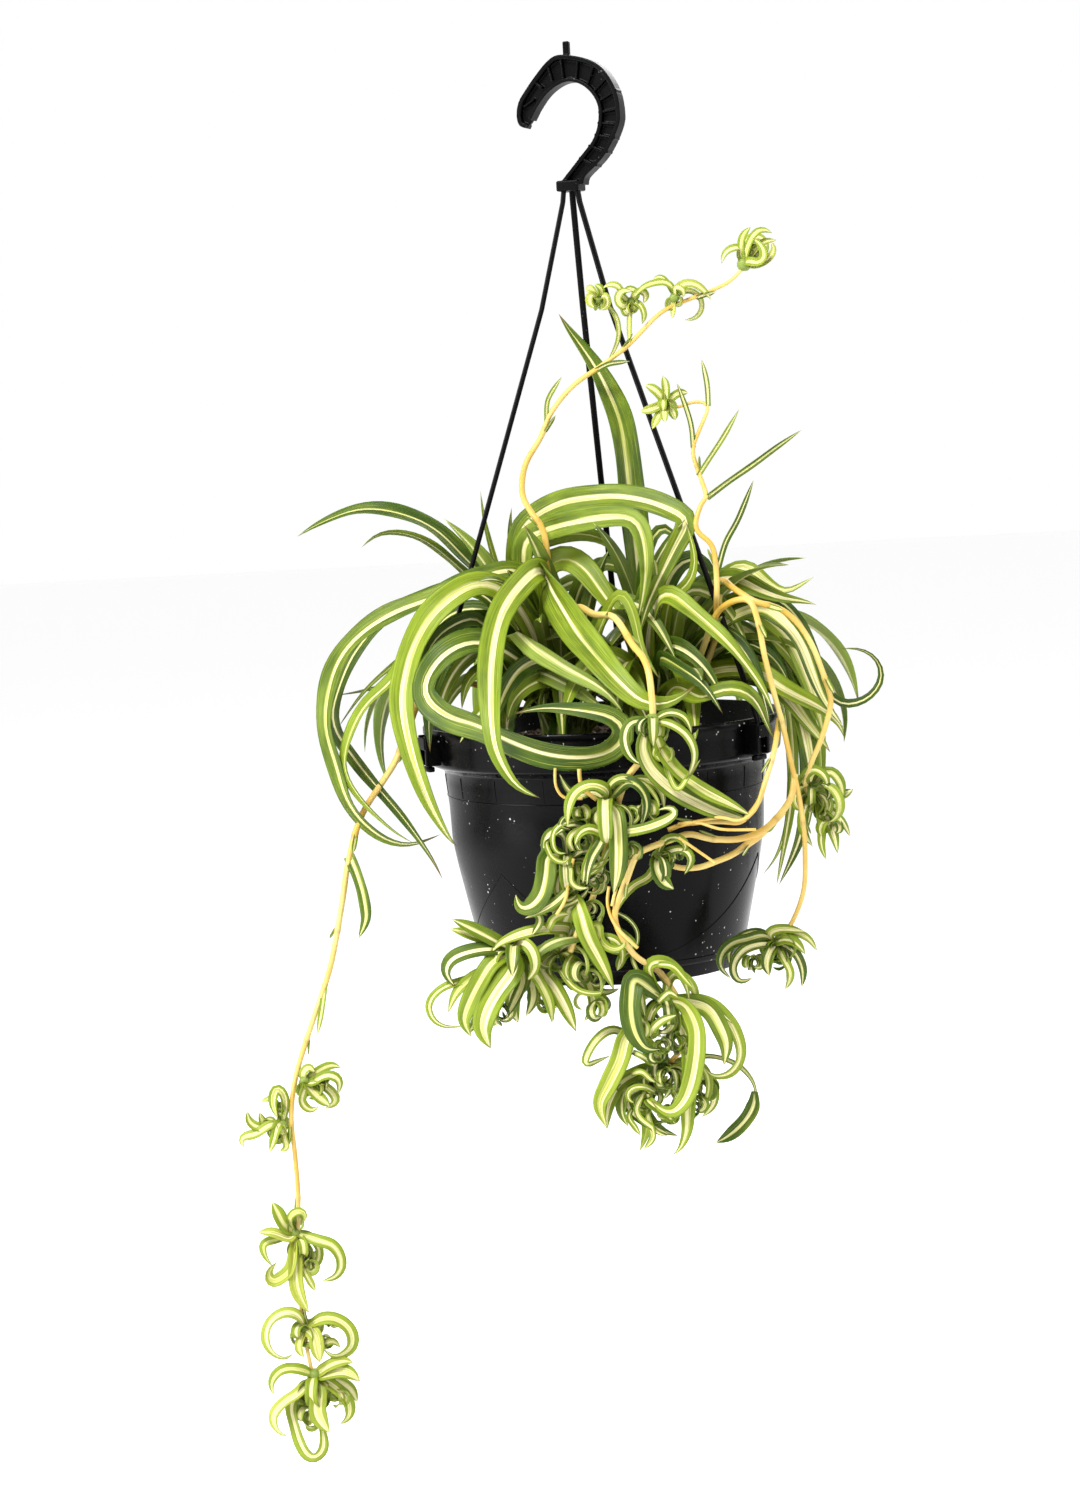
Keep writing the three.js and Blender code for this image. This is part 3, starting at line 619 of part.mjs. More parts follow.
    [5, 35, 35, [[-28, 430, -90], [-24, 438, -92], [-16, 448, -92], [-6, 452, -91], [2, 450, -90]], 7],
    [5, 25, 15, [[-32, 430, -87], [-34, 442, -89], [-34.5, 454, -89], [-32, 465, -88]], 7],
    [6, 30, 20, [[-28, 430, -87], [-20, 436, -95], [-14, 446, -96], [-12, 458, -95], [-17, 466, -94]], 9]]],
  ['plantlet_low_front', [24, 457, -100], 34, 1, 31, [180, 380], [
    [10.5, 25, 15, [[20, 452, -100], [10, 446, -108], [7.6, 454, -112], [7.2, 464, -112], [9, 474, -111], [14, 481.5, -110], [21, 482, -109]], 12],
    [6, 45, 45, [[18, 452, -100], [17, 440, -104], [26, 438, -105], [34, 447, -104], [36.6, 458, -103]], 9],
    [5, 30, 30, [[18, 452, -98], [29, 444, -98], [38, 450, -97], [41, 462, -96]], 8],
    [10, 20, 15, [[28, 455, -98], [34, 459.6, -104], [39.5, 470.3, -107], [40, 480, -108], [38.5, 490, -108], [36, 500, -107], [32, 509, -106], [26, 514.5, -105], [20, 513, -104],
      [15, 508, -103]], 14],
    [7.5, 20, 10, [[28, 458, -100], [34, 480, -102], [34, 500, -102], [33, 514, -102], [32, 525, -102], [28, 534, -101], [24.5, 536.5, -101]], 10],
    [4, 20, 20, [[30, 460, -94], [44, 459, -95], [52, 465, -95], [58, 471, -95]], 5],
    [5, 30, 30, [[24, 458, -100], [18, 462, -104], [16, 470, -105], [22, 476, -104]], 6],
    [4.5, 30, 30, [[24, 458, -100], [28, 464, -104], [27, 472, -105], [20, 474, -104]], 6],
    [9, 15, 20, [[30, 460, -96], [40, 460, -98], [46.4, 463.5, -99], [51, 472.5, -99], [53.8, 481.5, -98], [52.5, 492, -98]], 9],
    [7, 40, 40, [[31, 462, -94], [46, 460, -93], [56, 470, -92], [60.6, 481.9, -92], [60, 490, -92], [55, 496, -92], [47, 497, -92], [42, 492, -92]], 14]]],
  ['plantlet_bottom', [22, 489, -84], 34, 0, 33, [180, 400], [
    [11, 25, 15, [[16, 486, -85], [6, 474, -92], [0.5, 487, -95], [-6, 499, -95], [-11, 509, -94], [-8, 521, -93]], 11],
    [7, 45, 30, [[18, 490, -83], [6, 497, -89], [1, 506, -90], [0, 514, -90], [3, 521, -89]], 9],
    [7, 50, 45, [[20, 490, -81], [10, 496, -81], [4, 504, -81], [6, 513, -81], [14, 520, -81], [22, 519, -81]], 11],
    [6, 50, 45, [[22, 490, -79], [12, 503, -75], [12, 514, -75], [18, 523, -75], [28, 527, -75]], 10],
    [3, 50, 50, [[26, 488, -81], [44, 487, -80], [58, 491.5, -79], [66, 500, -78], [68, 508, -78], [67, 515, -78]], 10],
    [8, 20, 15, [[67.6, 506, -78], [66.5, 514, -78], [61, 522, -78], [53, 528.5, -78], [46.5, 531.5, -78]], 8],
    [4.5, 35, 35, [[18, 488, -82], [6, 476, -86], [-2, 471, -88], [-9, 474, -88], [-15, 481, -88], [-17.5, 488, -88], [-12, 486.5, -87], [-4, 484, -86]], 10],
    [8, 25, 15, [[18, 490, -84], [2, 497, -90], [-5, 506, -91], [-7.5, 514, -91], [-8, 522, -90]], 7],
    [5, 30, 30, [[20, 490, -84], [12, 500, -88], [4, 504, -90], [2.5, 510, -90], [7, 516, -90], [14, 521, -89], [24, 526.5, -88]], 10],
    [4.5, 35, 35, [[26, 490, -82], [38, 490, -84], [44, 497, -84], [43.5, 507, -83], [38, 517, -82]], 8],
    [6, 35, 30, [[26, 488, -79], [38, 495, -77], [46, 503, -77], [46, 512, -77], [40, 518, -77]], 9],
    [8, 20, 10, [[28, 490, -81], [32, 500, -85], [27, 512, -87], [22, 519, -87]], 7],
    [5, 30, 20, [[20, 492, -81], [13, 512, -85], [12, 524, -85], [8, 534, -85]], 7]]],
  ['plantlet_runner_right', [-159, 489, -28], 20, 0, 35, [-60, 60], [
    [5.5, 45, 45, [[-164, 490.5, -28], [-156, 491, -31], [-148, 487, -33], [-142, 490, -33], [-143, 497, -33]], 8],
    [6.5, 45, 40, [[-163, 490.5, -28], [-156, 495, -32], [-151, 500, -34], [-147, 503, -34]], 7],
    [5, 45, 45, [[-163, 491, -28], [-160, 494, -33], [-162, 500, -34], [-157, 505, -34], [-153, 502.5, -34]], 8],
    [4.5, 30, 30, [[-163, 490, -28], [-160, 486, -29], [-157, 482.5, -30], [-154, 485, -30]], 6],
    [4.5, 30, 30, [[-158, 491, -30], [-151, 484, -28], [-145, 482, -27], [-140.5, 483.5, -27]], 6],
    [5, 30, 30, [[-158, 491, -30], [-149, 493, -27], [-144, 500, -26], [-150, 504, -26]], 7]]],
  ['plantlet_runner_left', [-171.8, 510.8, -29], 18, 0, 37, [120, 240], [
    [5.5, 45, 45, [[-169, 509, -28], [-178, 511, -32], [-185, 515.5, -33], [-193, 517, -33], [-192, 522, -33]], 8],
    [5.5, 40, 40, [[-169, 509, -28], [-174, 511, -33], [-176, 518, -34], [-179, 525, -34]], 7],
    [5, 30, 30, [[-176, 512, -31], [-184, 512, -31], [-189, 508, -30], [-189, 503, -30]], 7],
    [4.5, 30, 30, [[-176, 512, -31], [-181, 510, -29], [-183, 504, -29]], 5],
    [4.5, 40, 40, [[-171, 511, -30], [-171, 517, -32], [-170, 523, -32], [-174, 524.5, -32]], 6],
    [5, 40, 40, [[-169, 508, -28], [-170, 498, -30], [-174, 492, -30], [-176, 500, -31], [-174, 508, -31]], 8],
    [4, 30, 30, [[-170, 507, -28], [-176, 498, -26], [-182, 499, -26]], 6]]],
  ['plantlet_runner_upper', [-168.5, 567, -28], 20, 0, 39, [120, 420], [
    [7, 30, 20, [[-168, 572, -28], [-174, 563, -32], [-177, 556, -33], [-179.4, 550.5, -33]], 6],
    [4.5, 40, 40, [[-168, 570, -28], [-171, 560, -33], [-167, 556, -34], [-163, 558, -34], [-164, 562, -34]], 8],
    [5.5, 35, 35, [[-168, 576, -29], [-172, 570, -32], [-180, 566.5, -33], [-187.5, 566, -33]], 7],
    [5, 45, 45, [[-168, 576, -29], [-178, 570.5, -30], [-185, 572, -30], [-184, 579, -30], [-181, 584, -30]], 8],
    [7, 40, 40, [[-167, 576, -29], [-171, 584, -33], [-176, 590, -34], [-182, 592, -34], [-184, 587, -34], [-179, 582, -34]], 10],
    [6.5, 40, 40, [[-167, 576, -29], [-158, 572, -33], [-150, 575, -34], [-146.5, 583, -34], [-149, 590, -34], [-157, 593, -34]], 10],
    [5, 45, 45, [[-167, 575, -29], [-162, 569, -27], [-157, 577, -26], [-160, 585, -26], [-166, 583, -26]], 9],
    [7.5, 20, 10, [[-168, 578, -29], [-170, 590, -34], [-168.5, 600, -35], [-164, 609, -35]], 7],
    [4, 30, 30, [[-167, 582, -29], [-164, 590, -32], [-160, 598, -32]], 5]]],
  ['plantlet_runner_lower', [-166.4, 617, -28], 20, 0, 43, [120, 420], [
    [6, 45, 45, [[-166, 618, -29], [-170, 610, -33], [-177, 608.5, -34], [-184, 613, -34], [-186.5, 621, -34], [-184, 628, -34], [-178, 632, -34], [-173, 629.5, -34]], 13],
    [7, 40, 40, [[-166, 617, -29], [-157, 612.5, -33], [-149, 614, -34], [-143.5, 620, -34], [-144, 628, -34], [-152, 632, -34], [-158, 628, -34]], 12],
    [7.5, 20, 15, [[-166, 614, -29], [-162, 620, -34], [-161, 628, -35], [-160, 635, -35]], 6],
    [4.5, 40, 40, [[-165, 620, -29], [-160, 626, -30], [-153, 624, -30], [-149, 628, -30]], 7],
    [5, 30, 30, [[-166.5, 622, -29], [-170, 626, -32], [-168, 632, -32]], 5]]],
  ['plantlet_runner_bottom', [-163, 642, -28], 34, 1, 45, [150, 390], [
    [6, 45, 45, [[-163, 645, -29], [-170, 638.5, -33], [-179, 638, -34], [-185, 644, -34], [-184.5, 651, -34]], 9],
    [6.5, 40, 40, [[-162, 645, -29], [-155, 637, -33], [-148, 635, -34], [-143, 636, -34]], 7],
    [7.5, 40, 40, [[-162, 645, -29], [-155, 641, -34], [-147, 640.5, -35], [-140, 646, -35]], 7],
    [9, 20, 10, [[-163, 644, -30], [-162, 652, -35], [-163, 661, -36], [-160, 668, -36], [-157, 672, -36]], 9],
    [6.5, 45, 45, [[-163, 645, -30], [-172, 651, -37], [-179, 655, -38], [-185, 662, -38], [-183, 670, -38], [-178, 673, -38]], 11],
    [7, 35, 30, [[-165, 646, -29], [-175, 655, -33], [-174, 668, -34], [-171, 679, -34], [-166.5, 684.5, -34], [-161, 680, -34], [-161, 670, -34], [-164, 664, -34]], 14],
    [6.5, 35, 35, [[-162, 646, -29], [-154, 648, -31], [-147, 656, -31], [-147, 664, -31], [-152, 668, -31]], 9],
    [6, 30, 30, [[-162, 645, -28], [-152, 645, -25], [-145, 650, -24], [-142, 657, -24]], 7]]],
];

/** Rule-set curly leaves of a plantlet. */
function curly(centre, length, count, seed, range) {
  const rnd = seeded(seed), out = [];
  for (let i = 0; i < count; i++) {
    const az = range[0] + (range[1] - range[0]) * (i + 0.5) / count + 14 * (rnd() - 0.5);
    out.push(arch(centre, az, 50 - 40 * rnd(), 150 + 130 * rnd(), length * (0.75 + 0.5 * rnd()), 4 + length * 0.05 + 1.5 * rnd(), 70 * (rnd() - 0.5), 5, 1.1, 30 * (rnd() - 0.5)));
  }
  return out;
}

const ball = (c, r, zScale = 1) => {
  const g = new THREE.IcosahedronGeometry(r, 0);
  g.scale(1, 1, zScale);
  g.translate(c.x, c.y, c.z);
  return solidOf(g);
};
const union = (list) => list.reduce((a, b) => a.add(b));
const bounds = (leaves) => {
  const b = new THREE.Box3();
  leaves.forEach((l) => l.P.forEach((p) => b.expandByPoint(p)));
  return b.expandByScalar(9);
};

const potCut = potGrown(GAP);
const lugBoxes = LUGS.map((a) => box(11, 12, 17, 93 * Math.cos(deg(a)), 93 * Math.sin(deg(a)), -321.5, deg(a)));
const nodes = new Map();          // node name -> its plantlets
for (const [name, c, length, count, seed, range, hand] of HEADS) {
  const centre = place(c), size = Math.max(2.6, Math.min(4.2, length / 7));
  for (const [, , , pts] of hand) if (Math.hypot(pts[0][0] - c[0], pts[0][1] - c[1]) < 14) pts[0] = c;
  const leaves = [...hand.map(([w, t0, t1, pts, segs]) => leaf(w, t0, t1, pts, segs ?? 6)), ...curly(centre, length, count, seed, range)];
  for (const l of leaves) {       // feet start on the bud, not in its middle
    const out = l.P[1].clone().sub(l.P[0]);
    l.P[0].addScaledVector(out, Math.min(0.45, 0.55 * size / out.length()));
  }
  const key = name.split(' ')[0];
  if (!nodes.has(key)) nodes.set(key, { name: key, raw: [], grown: [], bb: new THREE.Box3() });
  const node = nodes.get(key);
  node.raw.push(ball(centre, size), ...leaves.map((l) => blade(l.P, l.w, l.tilt, l.ref, 0, 0.45)));
  node.grown.push(ball(centre, size + GAP), ...leaves.map((l) => blade(l.P, l.w, l.tilt, l.ref, GAP, 0.45)));
  node.bb.union(bounds(leaves));
}
const built = [];
for (const node of nodes.values()) {
  let s = union(node.raw);
  const grown = union(node.grown);
  for (const g of stemGrown.values()) s = s.subtract(g);
  for (const g of hard) s = s.subtract(g);
  for (const l of lugBoxes) s = s.subtract(l);
  s = s.subtract(potCut);
  for (const o of built) if (o.bb.intersectsBox(node.bb)) s = s.subtract(o.grown);
  built.push({ name: node.name, s, grown, bb: node.bb });
}

let foliage = union([ball(place(A0), 14, 1.6), ball(place(B0), 13, 1.5), ...mother.map((l) => blade(l.P, l.w, l.tilt, l.ref))]);
foliage = foliage.subtract(potCut);
for (const l of lugBoxes) foliage = foliage.subtract(l);
for (const g of [...hard, ...stemGrown.values()]) foliage = foliage.subtract(g);
for (const o of built) foliage = foliage.subtract(o.grown);

// root crowns standing in plain holes of the soil
const PLUGS = [[A0, 12], [B0, 11]].map(([p, r]) => ({ c: place(p), r }));
const plug = ({ c, r }, top, bottom, grow) => {
  const g = new THREE.CylinderGeometry(r + grow, r + grow, top - bottom, 16).toNonIndexed();
  g.rotateX(Math.PI / 2);
  g.translate(c.x, c.y, (top + bottom) / 2);
  return solidOf(g);
};
PLUGS.forEach((p) => { foliage = foliage.add(plug(p, SOIL_Z + 8, SOIL_Z - 14, 0)); });

let soil = lathe([[0, -435], [61, -435], [68.1, -406], [75.2, -370], [77.5, -333.2], [84.5, -328.2], [85.2, SOIL_Z], [60, SOIL_Z + 1.4],
  [30, SOIL_Z + 3], [0, SOIL_Z + 3.5], [0, -435]], POT_SEGS);
PLUGS.forEach((p) => { soil = soil.subtract(plug(p, SOIL_Z + 20, SOIL_Z - 14 - GAP, GAP)); });

// ---------------------------------------------------------------- nodes
addNode('hook', hook, 0x1b1b1c, 0.5);
straps.forEach((s, i) => addNode(`hanger_arm_${LUG_NAMES[i]}`, s, 0x1b1b1c, 0.5));
addNode('pot', pot, 0x222223, 0.5);
addNode('potting_mix', soil, 0x2a1c12, 0.95);
addNode('mother_foliage', foliage, 0x7f9f2e, 0.5);
for (const [name] of STEMS) addNode(name, stemBuilt.get(name), 0xd9a93c, 0.5);
for (const o of built) addNode(o.name, o.s, 0x9db33a, 0.5);

let total = 0;
group.children.forEach((m) => { total += m.geometry.index.count / 3; });
console.error(`${group.children.length} nodes, ${total} triangles`);

export default group;
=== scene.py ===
"""Looks of a potted spider plant that hangs by a black plastic hanger.

Lengths are millimetres in the plant's own frame (origin at the hook's seat, +Z up, -Y towards the
viewer) until a mesh is made; Blender then holds them in metres.
"""
from __future__ import annotations

import logging
import math
from dataclasses import dataclass
from enum import Enum
from typing import NamedTuple, Sequence

import bmesh
import bpy
from mathutils import Matrix, Vector, noise


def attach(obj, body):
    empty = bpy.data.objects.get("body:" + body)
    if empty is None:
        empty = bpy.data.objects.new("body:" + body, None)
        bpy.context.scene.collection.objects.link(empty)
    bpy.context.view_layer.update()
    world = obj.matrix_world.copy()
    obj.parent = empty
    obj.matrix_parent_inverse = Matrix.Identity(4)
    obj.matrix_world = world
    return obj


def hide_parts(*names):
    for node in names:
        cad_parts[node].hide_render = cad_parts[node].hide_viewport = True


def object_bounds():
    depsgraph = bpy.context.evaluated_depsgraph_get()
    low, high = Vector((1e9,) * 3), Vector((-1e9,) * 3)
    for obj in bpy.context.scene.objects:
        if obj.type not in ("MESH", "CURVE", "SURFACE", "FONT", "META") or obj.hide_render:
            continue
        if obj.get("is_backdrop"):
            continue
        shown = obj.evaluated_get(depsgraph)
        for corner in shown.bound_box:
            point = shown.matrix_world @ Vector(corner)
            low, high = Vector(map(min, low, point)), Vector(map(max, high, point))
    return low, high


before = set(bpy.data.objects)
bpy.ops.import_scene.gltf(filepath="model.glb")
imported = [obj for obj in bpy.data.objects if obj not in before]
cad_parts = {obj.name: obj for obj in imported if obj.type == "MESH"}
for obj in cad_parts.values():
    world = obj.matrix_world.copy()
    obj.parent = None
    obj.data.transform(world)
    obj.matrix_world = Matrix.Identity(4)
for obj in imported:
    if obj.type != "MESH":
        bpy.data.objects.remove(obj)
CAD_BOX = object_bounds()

log = logging.getLogger("spider_plant")
Colour = tuple[float, float, float]

MM = 0.001                                  # metres in a millimetre
TURN = 2 * math.pi                          # a full turn
UP = Vector((0, 0, 1))
FRONT = Vector((0, -1, 0))                  # towards the viewer
EYE = Vector((-22.0, -1575.0, -172.0))      # the photograph's viewpoint
VIEW = (-5.54829, -0.36193, -2.92)          # pitch, yaw and roll of its view in degrees
FOCAL = 3166.0                              # its focal length in pixels
PHOTO_MIDDLE = (540.0, 745.0)               # its middle in pixels, from the left and from the top
BLADE_ROOM = 3.2                            # clearance of a leaf's midrib from the pot
CAD_SHARE = 0.5                             # share of the listed steps that the part's blades use
RIM_Z, RIM_R = -312.0, 90.0                 # top edge of the pot
SOIL_Z = -324.0                             # potting mix at the wall
LUG_AZIMUTHS = {"left": 202.0, "right": 322.0, "back": 82.0}
STRAP_R = 93.4                              # radius at which the arms hang beside the rim
STRAP_TOP = -48.6                           # where the arms end, inside the hook's foot
T_FOOT_Z = -330.65                          # middle of an arm's cross foot, just under the lug
FOOT_U = -3.0                               # the hook's foot stands this far to the side of its seat
HOOK_TURN = math.radians(-20)               # the hook is turned this far about +Z
#: outside of the pot as [radius, z], from the foot up
POT_OUTER = [[62.5, -437.5], [64.6, -430.4], [65.6, -430], [70.9, -406], [75.7, -383], [78, -370],
             [78.6, -353], [80.4, -334], [87.8, -330], [90, -312]]
A0 = [-18, 318, 2]                          # the two crowns, [x, depth, y]
B0 = [26, 318, -2]
#: colour values of the parts that leaves grow from
BUD_LOOK = {"across": 0.8, "tone": 0.8, "stripe": 0.3}

# Points are [x, depth below the hook's seat, y]: x and depth as they measure on the plane of the
# pot's axis, y the distance behind it. "depth" is -z.


class LeafRow(NamedTuple):
    """A measured leaf: width, tilt at foot and point in degrees, coarse steps and points."""

    width: float
    tilt0: float
    tilt1: float
    steps: int
    points: list[list[float]]


class Stem(NamedTuple):
    """A measured runner: node, radius at foot and end, points."""

    name: str
    foot: float
    end: float
    points: list[list[float]]


class Tuft(NamedTuple):
    """A plantlet: node, centre, leaf length, leaves by rule, seed, azimuth range, listed leaves."""

    name: str
    centre: list[float]
    length: float
    count: int
    seed: int
    azimuths: tuple[float, float]
    leaves: list[LeafRow]


def points_of(text: str) -> list[list[float]]:
    """Reads "x depth y, x depth y"; A and B stand for the two crowns."""
    crowns = {"A": A0, "B": B0}
    return [crowns.get(p.strip()) or [float(v) for v in p.split()] for p in text.split(",")]


def view_axes() -> tuple[Vector, Vector, Vector]:
    """Ahead, right and up of the photograph's view."""
    p, y, r = (math.radians(v) for v in VIEW)
    ahead = Vector((math.sin(y) * math.cos(p), math.cos(y) * math.cos(p), math.sin(p)))
    right = ahead.cross(UP).normalized()
    up = right.cross(ahead)
    return ahead, right * math.cos(r) + up * math.sin(r), up * math.cos(r) - right * math.sin(r)


class Tracing(NamedTuple):
    """An enlarged piece of the photograph, on which strokes were traced."""

    left: float
    top: float
    zoom: float

    def points(self, stroke: str, y: float) -> list[list[float]]:
        """Lays a stroke on the plane of the pot's axis.

        Args:
            stroke: "across,down across,down ..." in pixels of the enlarged piece.
            y: distance of the stroke behind that plane.

        Returns:
            Its points as [x, depth, y], to the whole millimetre.
        """
        ahead, right, up = view_axes()
        out = []
        for spot in stroke.split():
            across, down = (float(v) for v in spot.split(","))
            across = self.left + across / self.zoom - PHOTO_MIDDLE[0]
            down = self.top + down / self.zoom - PHOTO_MIDDLE[1]
            ray = ahead + right * (across / FOCAL) - up * (down / FOCAL)
            hit = EYE - ray * (EYE.y / ray.y)
            out.append([round(hit.x), round(-hit.z), y])
        return out


class Strokes(NamedTuple):
    """Traced strokes: distance behind the pot's axis, piece of the photograph, and rows of
    (width or radius, stroke)."""

    y: float = 0
    piece: Tracing | None = None
    rows: Sequence[tuple[float, str]] = ()


def leaf_rows(text: str, steps: int = 6) -> list[LeafRow]:
    """Reads leaves.

    Args:
        text: "width tilt tilt steps: points" for each leaf, ended by a semicolon.
        steps: coarse steps of a leaf that gives none.

    Returns:
        The rows.
    """
    out = []
    for row in text.split(";")[:-1]:
        head, points = row.split(":")
        width, tilt0, tilt1, *own = (float(v) for v in head.split())
        out.append(LeafRow(width, tilt0, tilt1, int(own[0]) if own else steps, points_of(points)))
    return out


#: thin leaves standing on a runner: (width, points)
BRACTS: dict[str, list[tuple[float, str]]] = {
    "runner_zigzag": [(3, "57 206 -53, 68 198.5 -52, 80.7 190.6 -52, 93 182.5 -52, 105.4 175 -52"),
                      (2.6, "53 195 -51, 59.5 186 -50, 66 177 -50, 74.8 163.5 -50"),
                      (2.6, "51.2 181 -49, 50.3 168 -50, 44.7 148.6 -50"),
                      (3, "60.4 243 -60, 65 229 -60, 72 217 -60, 80.6 198.3 -60"),
                      (2.6, "59.6 161 -47, 59.4 150 -47, 57.5 138 -47")],
    "runner_upper": [(2.6, "5 140.6 -23.5, 12 137.6 -25, 22 137 -26"),
                     (2.4, "-20.6 166 -26.5, -19.5 154 -27, -12 143 -28")],
    "runner_left": [(6, "-130 376 -30, -126.5 386 -33, -124 397 -34, -123.5 408 -33, -128 418 -32"),
                    (3, "-146 440 -29, -148.5 453.6 -31, -151.5 466 -31")],
}
RUNNERS: list[Stem] = [
    Stem("runner_upper", 1.9, 0.9, points_of("""
        -20 268 -6, -23.3 232 -36, -25 218 -38, -31.3 207.4 -36, -34.5 198.5 -34, -32 185 -30,
        -23.7 172 -27, -18.2 160.4 -26, -6.7 147.7 -24, 8.3 138.2 -23, 22 128.8 -24, 38.5 114 -26,
        54.5 107.6 -27, 71.7 101.3 -28, 81.1 93 -28""")),
    Stem("runner_zigzag", 1.9, 0.8, points_of("""
        48 300 -18, 58 276 -30, 59.4 258 -56, 60 246 -60, 58.7 230.3 -60, 51.7 222.9 -58, 50.9 217.4 -57,
        54.8 207.6 -54, 57.1 205.9 -53, 53.3 192.5 -50, 51 182 -49, 56.1 169.9 -48, 59.8 160.5 -47,
        53 158.5 -46, 44 161 -46, 40 160 -46""")),
    Stem("runner_front", 1.9, 1.5, points_of("""
        -14 272 -12, -10 257.5 -50, -1.7 261.3 -62, 8.2 263.1 -70, 16.7 277.3 -90, 21.3 283.4 -100,
        23.8 290.2 -106, 24.8 300 -110, 25 314 -113, 22 330 -114, 12 342 -112, 7 352 -110, 4 362 -108,
        -2 380 -107, -8 400 -106, -16 416 -104, -22 430 -102""")),
    Stem("runner_right_arch", 1.8, 1.3, points_of("""
        60 268 -24, 62 248 -42, 68.6 252 -56, 78 258.5 -64, 89 262.2 -66, 95.1 266.2 -66, 101.2 273.3 -66,
        106.3 282.8 -66, 109.7 292.6 -64, 112.1 300.7 -62, 114.2 310 -58, 112.5 318 -57, 110 325.5 -57,
        107.1 332.6 -56, 103 341 -56, 99.6 352 -56, 104 362 -54""")),
    Stem("runner_right_long", 1.8, 1.2, points_of("""
        30 310 -8, 48 288 -30, 60 263 -58, 74.8 257.5 -74, 79.7 269.4 -78, 80.9 277.5 -79, 82.3 287.2 -80,
        85.8 304.2 -79, 89.7 321.3 -76, 93.1 340.7 -72, 95.8 354.4 -69, 97.9 372.6 -66, 98 387.9 -64,
        96.7 404.2 -62, 91.4 418.3 -60, 83.5 430.6 -58""")),
    Stem("runner_low_thin", 1.5, 1.2, points_of("""
        88 318 -68, 85.2 332.2 -84, 81.9 342.8 -90, 78.7 351.7 -94, 75.6 359.7 -97, 67 368.7 -101,
        58.9 368.3 -104, 49.9 367.8 -106, 37.7 368.5 -108, 30 371 -109""")),
    Stem("runner_low_middle", 1.8, 1.4, points_of("""
        94.6 346 -70, 93 356 -70, 88 364 -76, 78.5 373 -88, 65.6 377.3 -96, 51.2 376.5 -102,
        40.5 373.5 -106, 33 375.5 -110, 20 379.5 -114, 13.4 383 -116, 8.5 394 -116, 3 405.9 -114,
        1.1 414 -111, 3.7 423 -108, 10.7 434 -104, 22.6 443 -100, 30.4 455.5 -98, 35.4 468 -96,
        33.4 479.7 -91, 25.5 489 -86""")),
    Stem("runner_low_thick", 2.0, 1.3, points_of("""
        88 364.5 -75, 77 375.2 -81, 69.1 380.4 -88, 61.6 385 -93, 53.4 388 -97, 45.1 390.6 -100,
        36 390.6 -102, 30 388.6 -104, 25 386 -106""")),
    Stem("runner_left", 1.9, 1.1, points_of("""
        -52 296 -8, -74 291 -14, -90 299 -24, -97 313 -30, -104.6 329.5 -32, -112.2 340.3 -32,
        -123.6 357.1 -31, -131.3 380.2 -30, -134.8 397.4 -30, -142.3 429.4 -29, -149.4 448.7 -29,
        -158.1 470.8 -28, -164.3 489.3 -28, -167.2 507.9 -28, -166.4 526.7 -28, -166 548.2 -28,
        -167.6 575 -28, -167.8 597 -28, -167 620 -28, -163.5 645 -28""")),
]

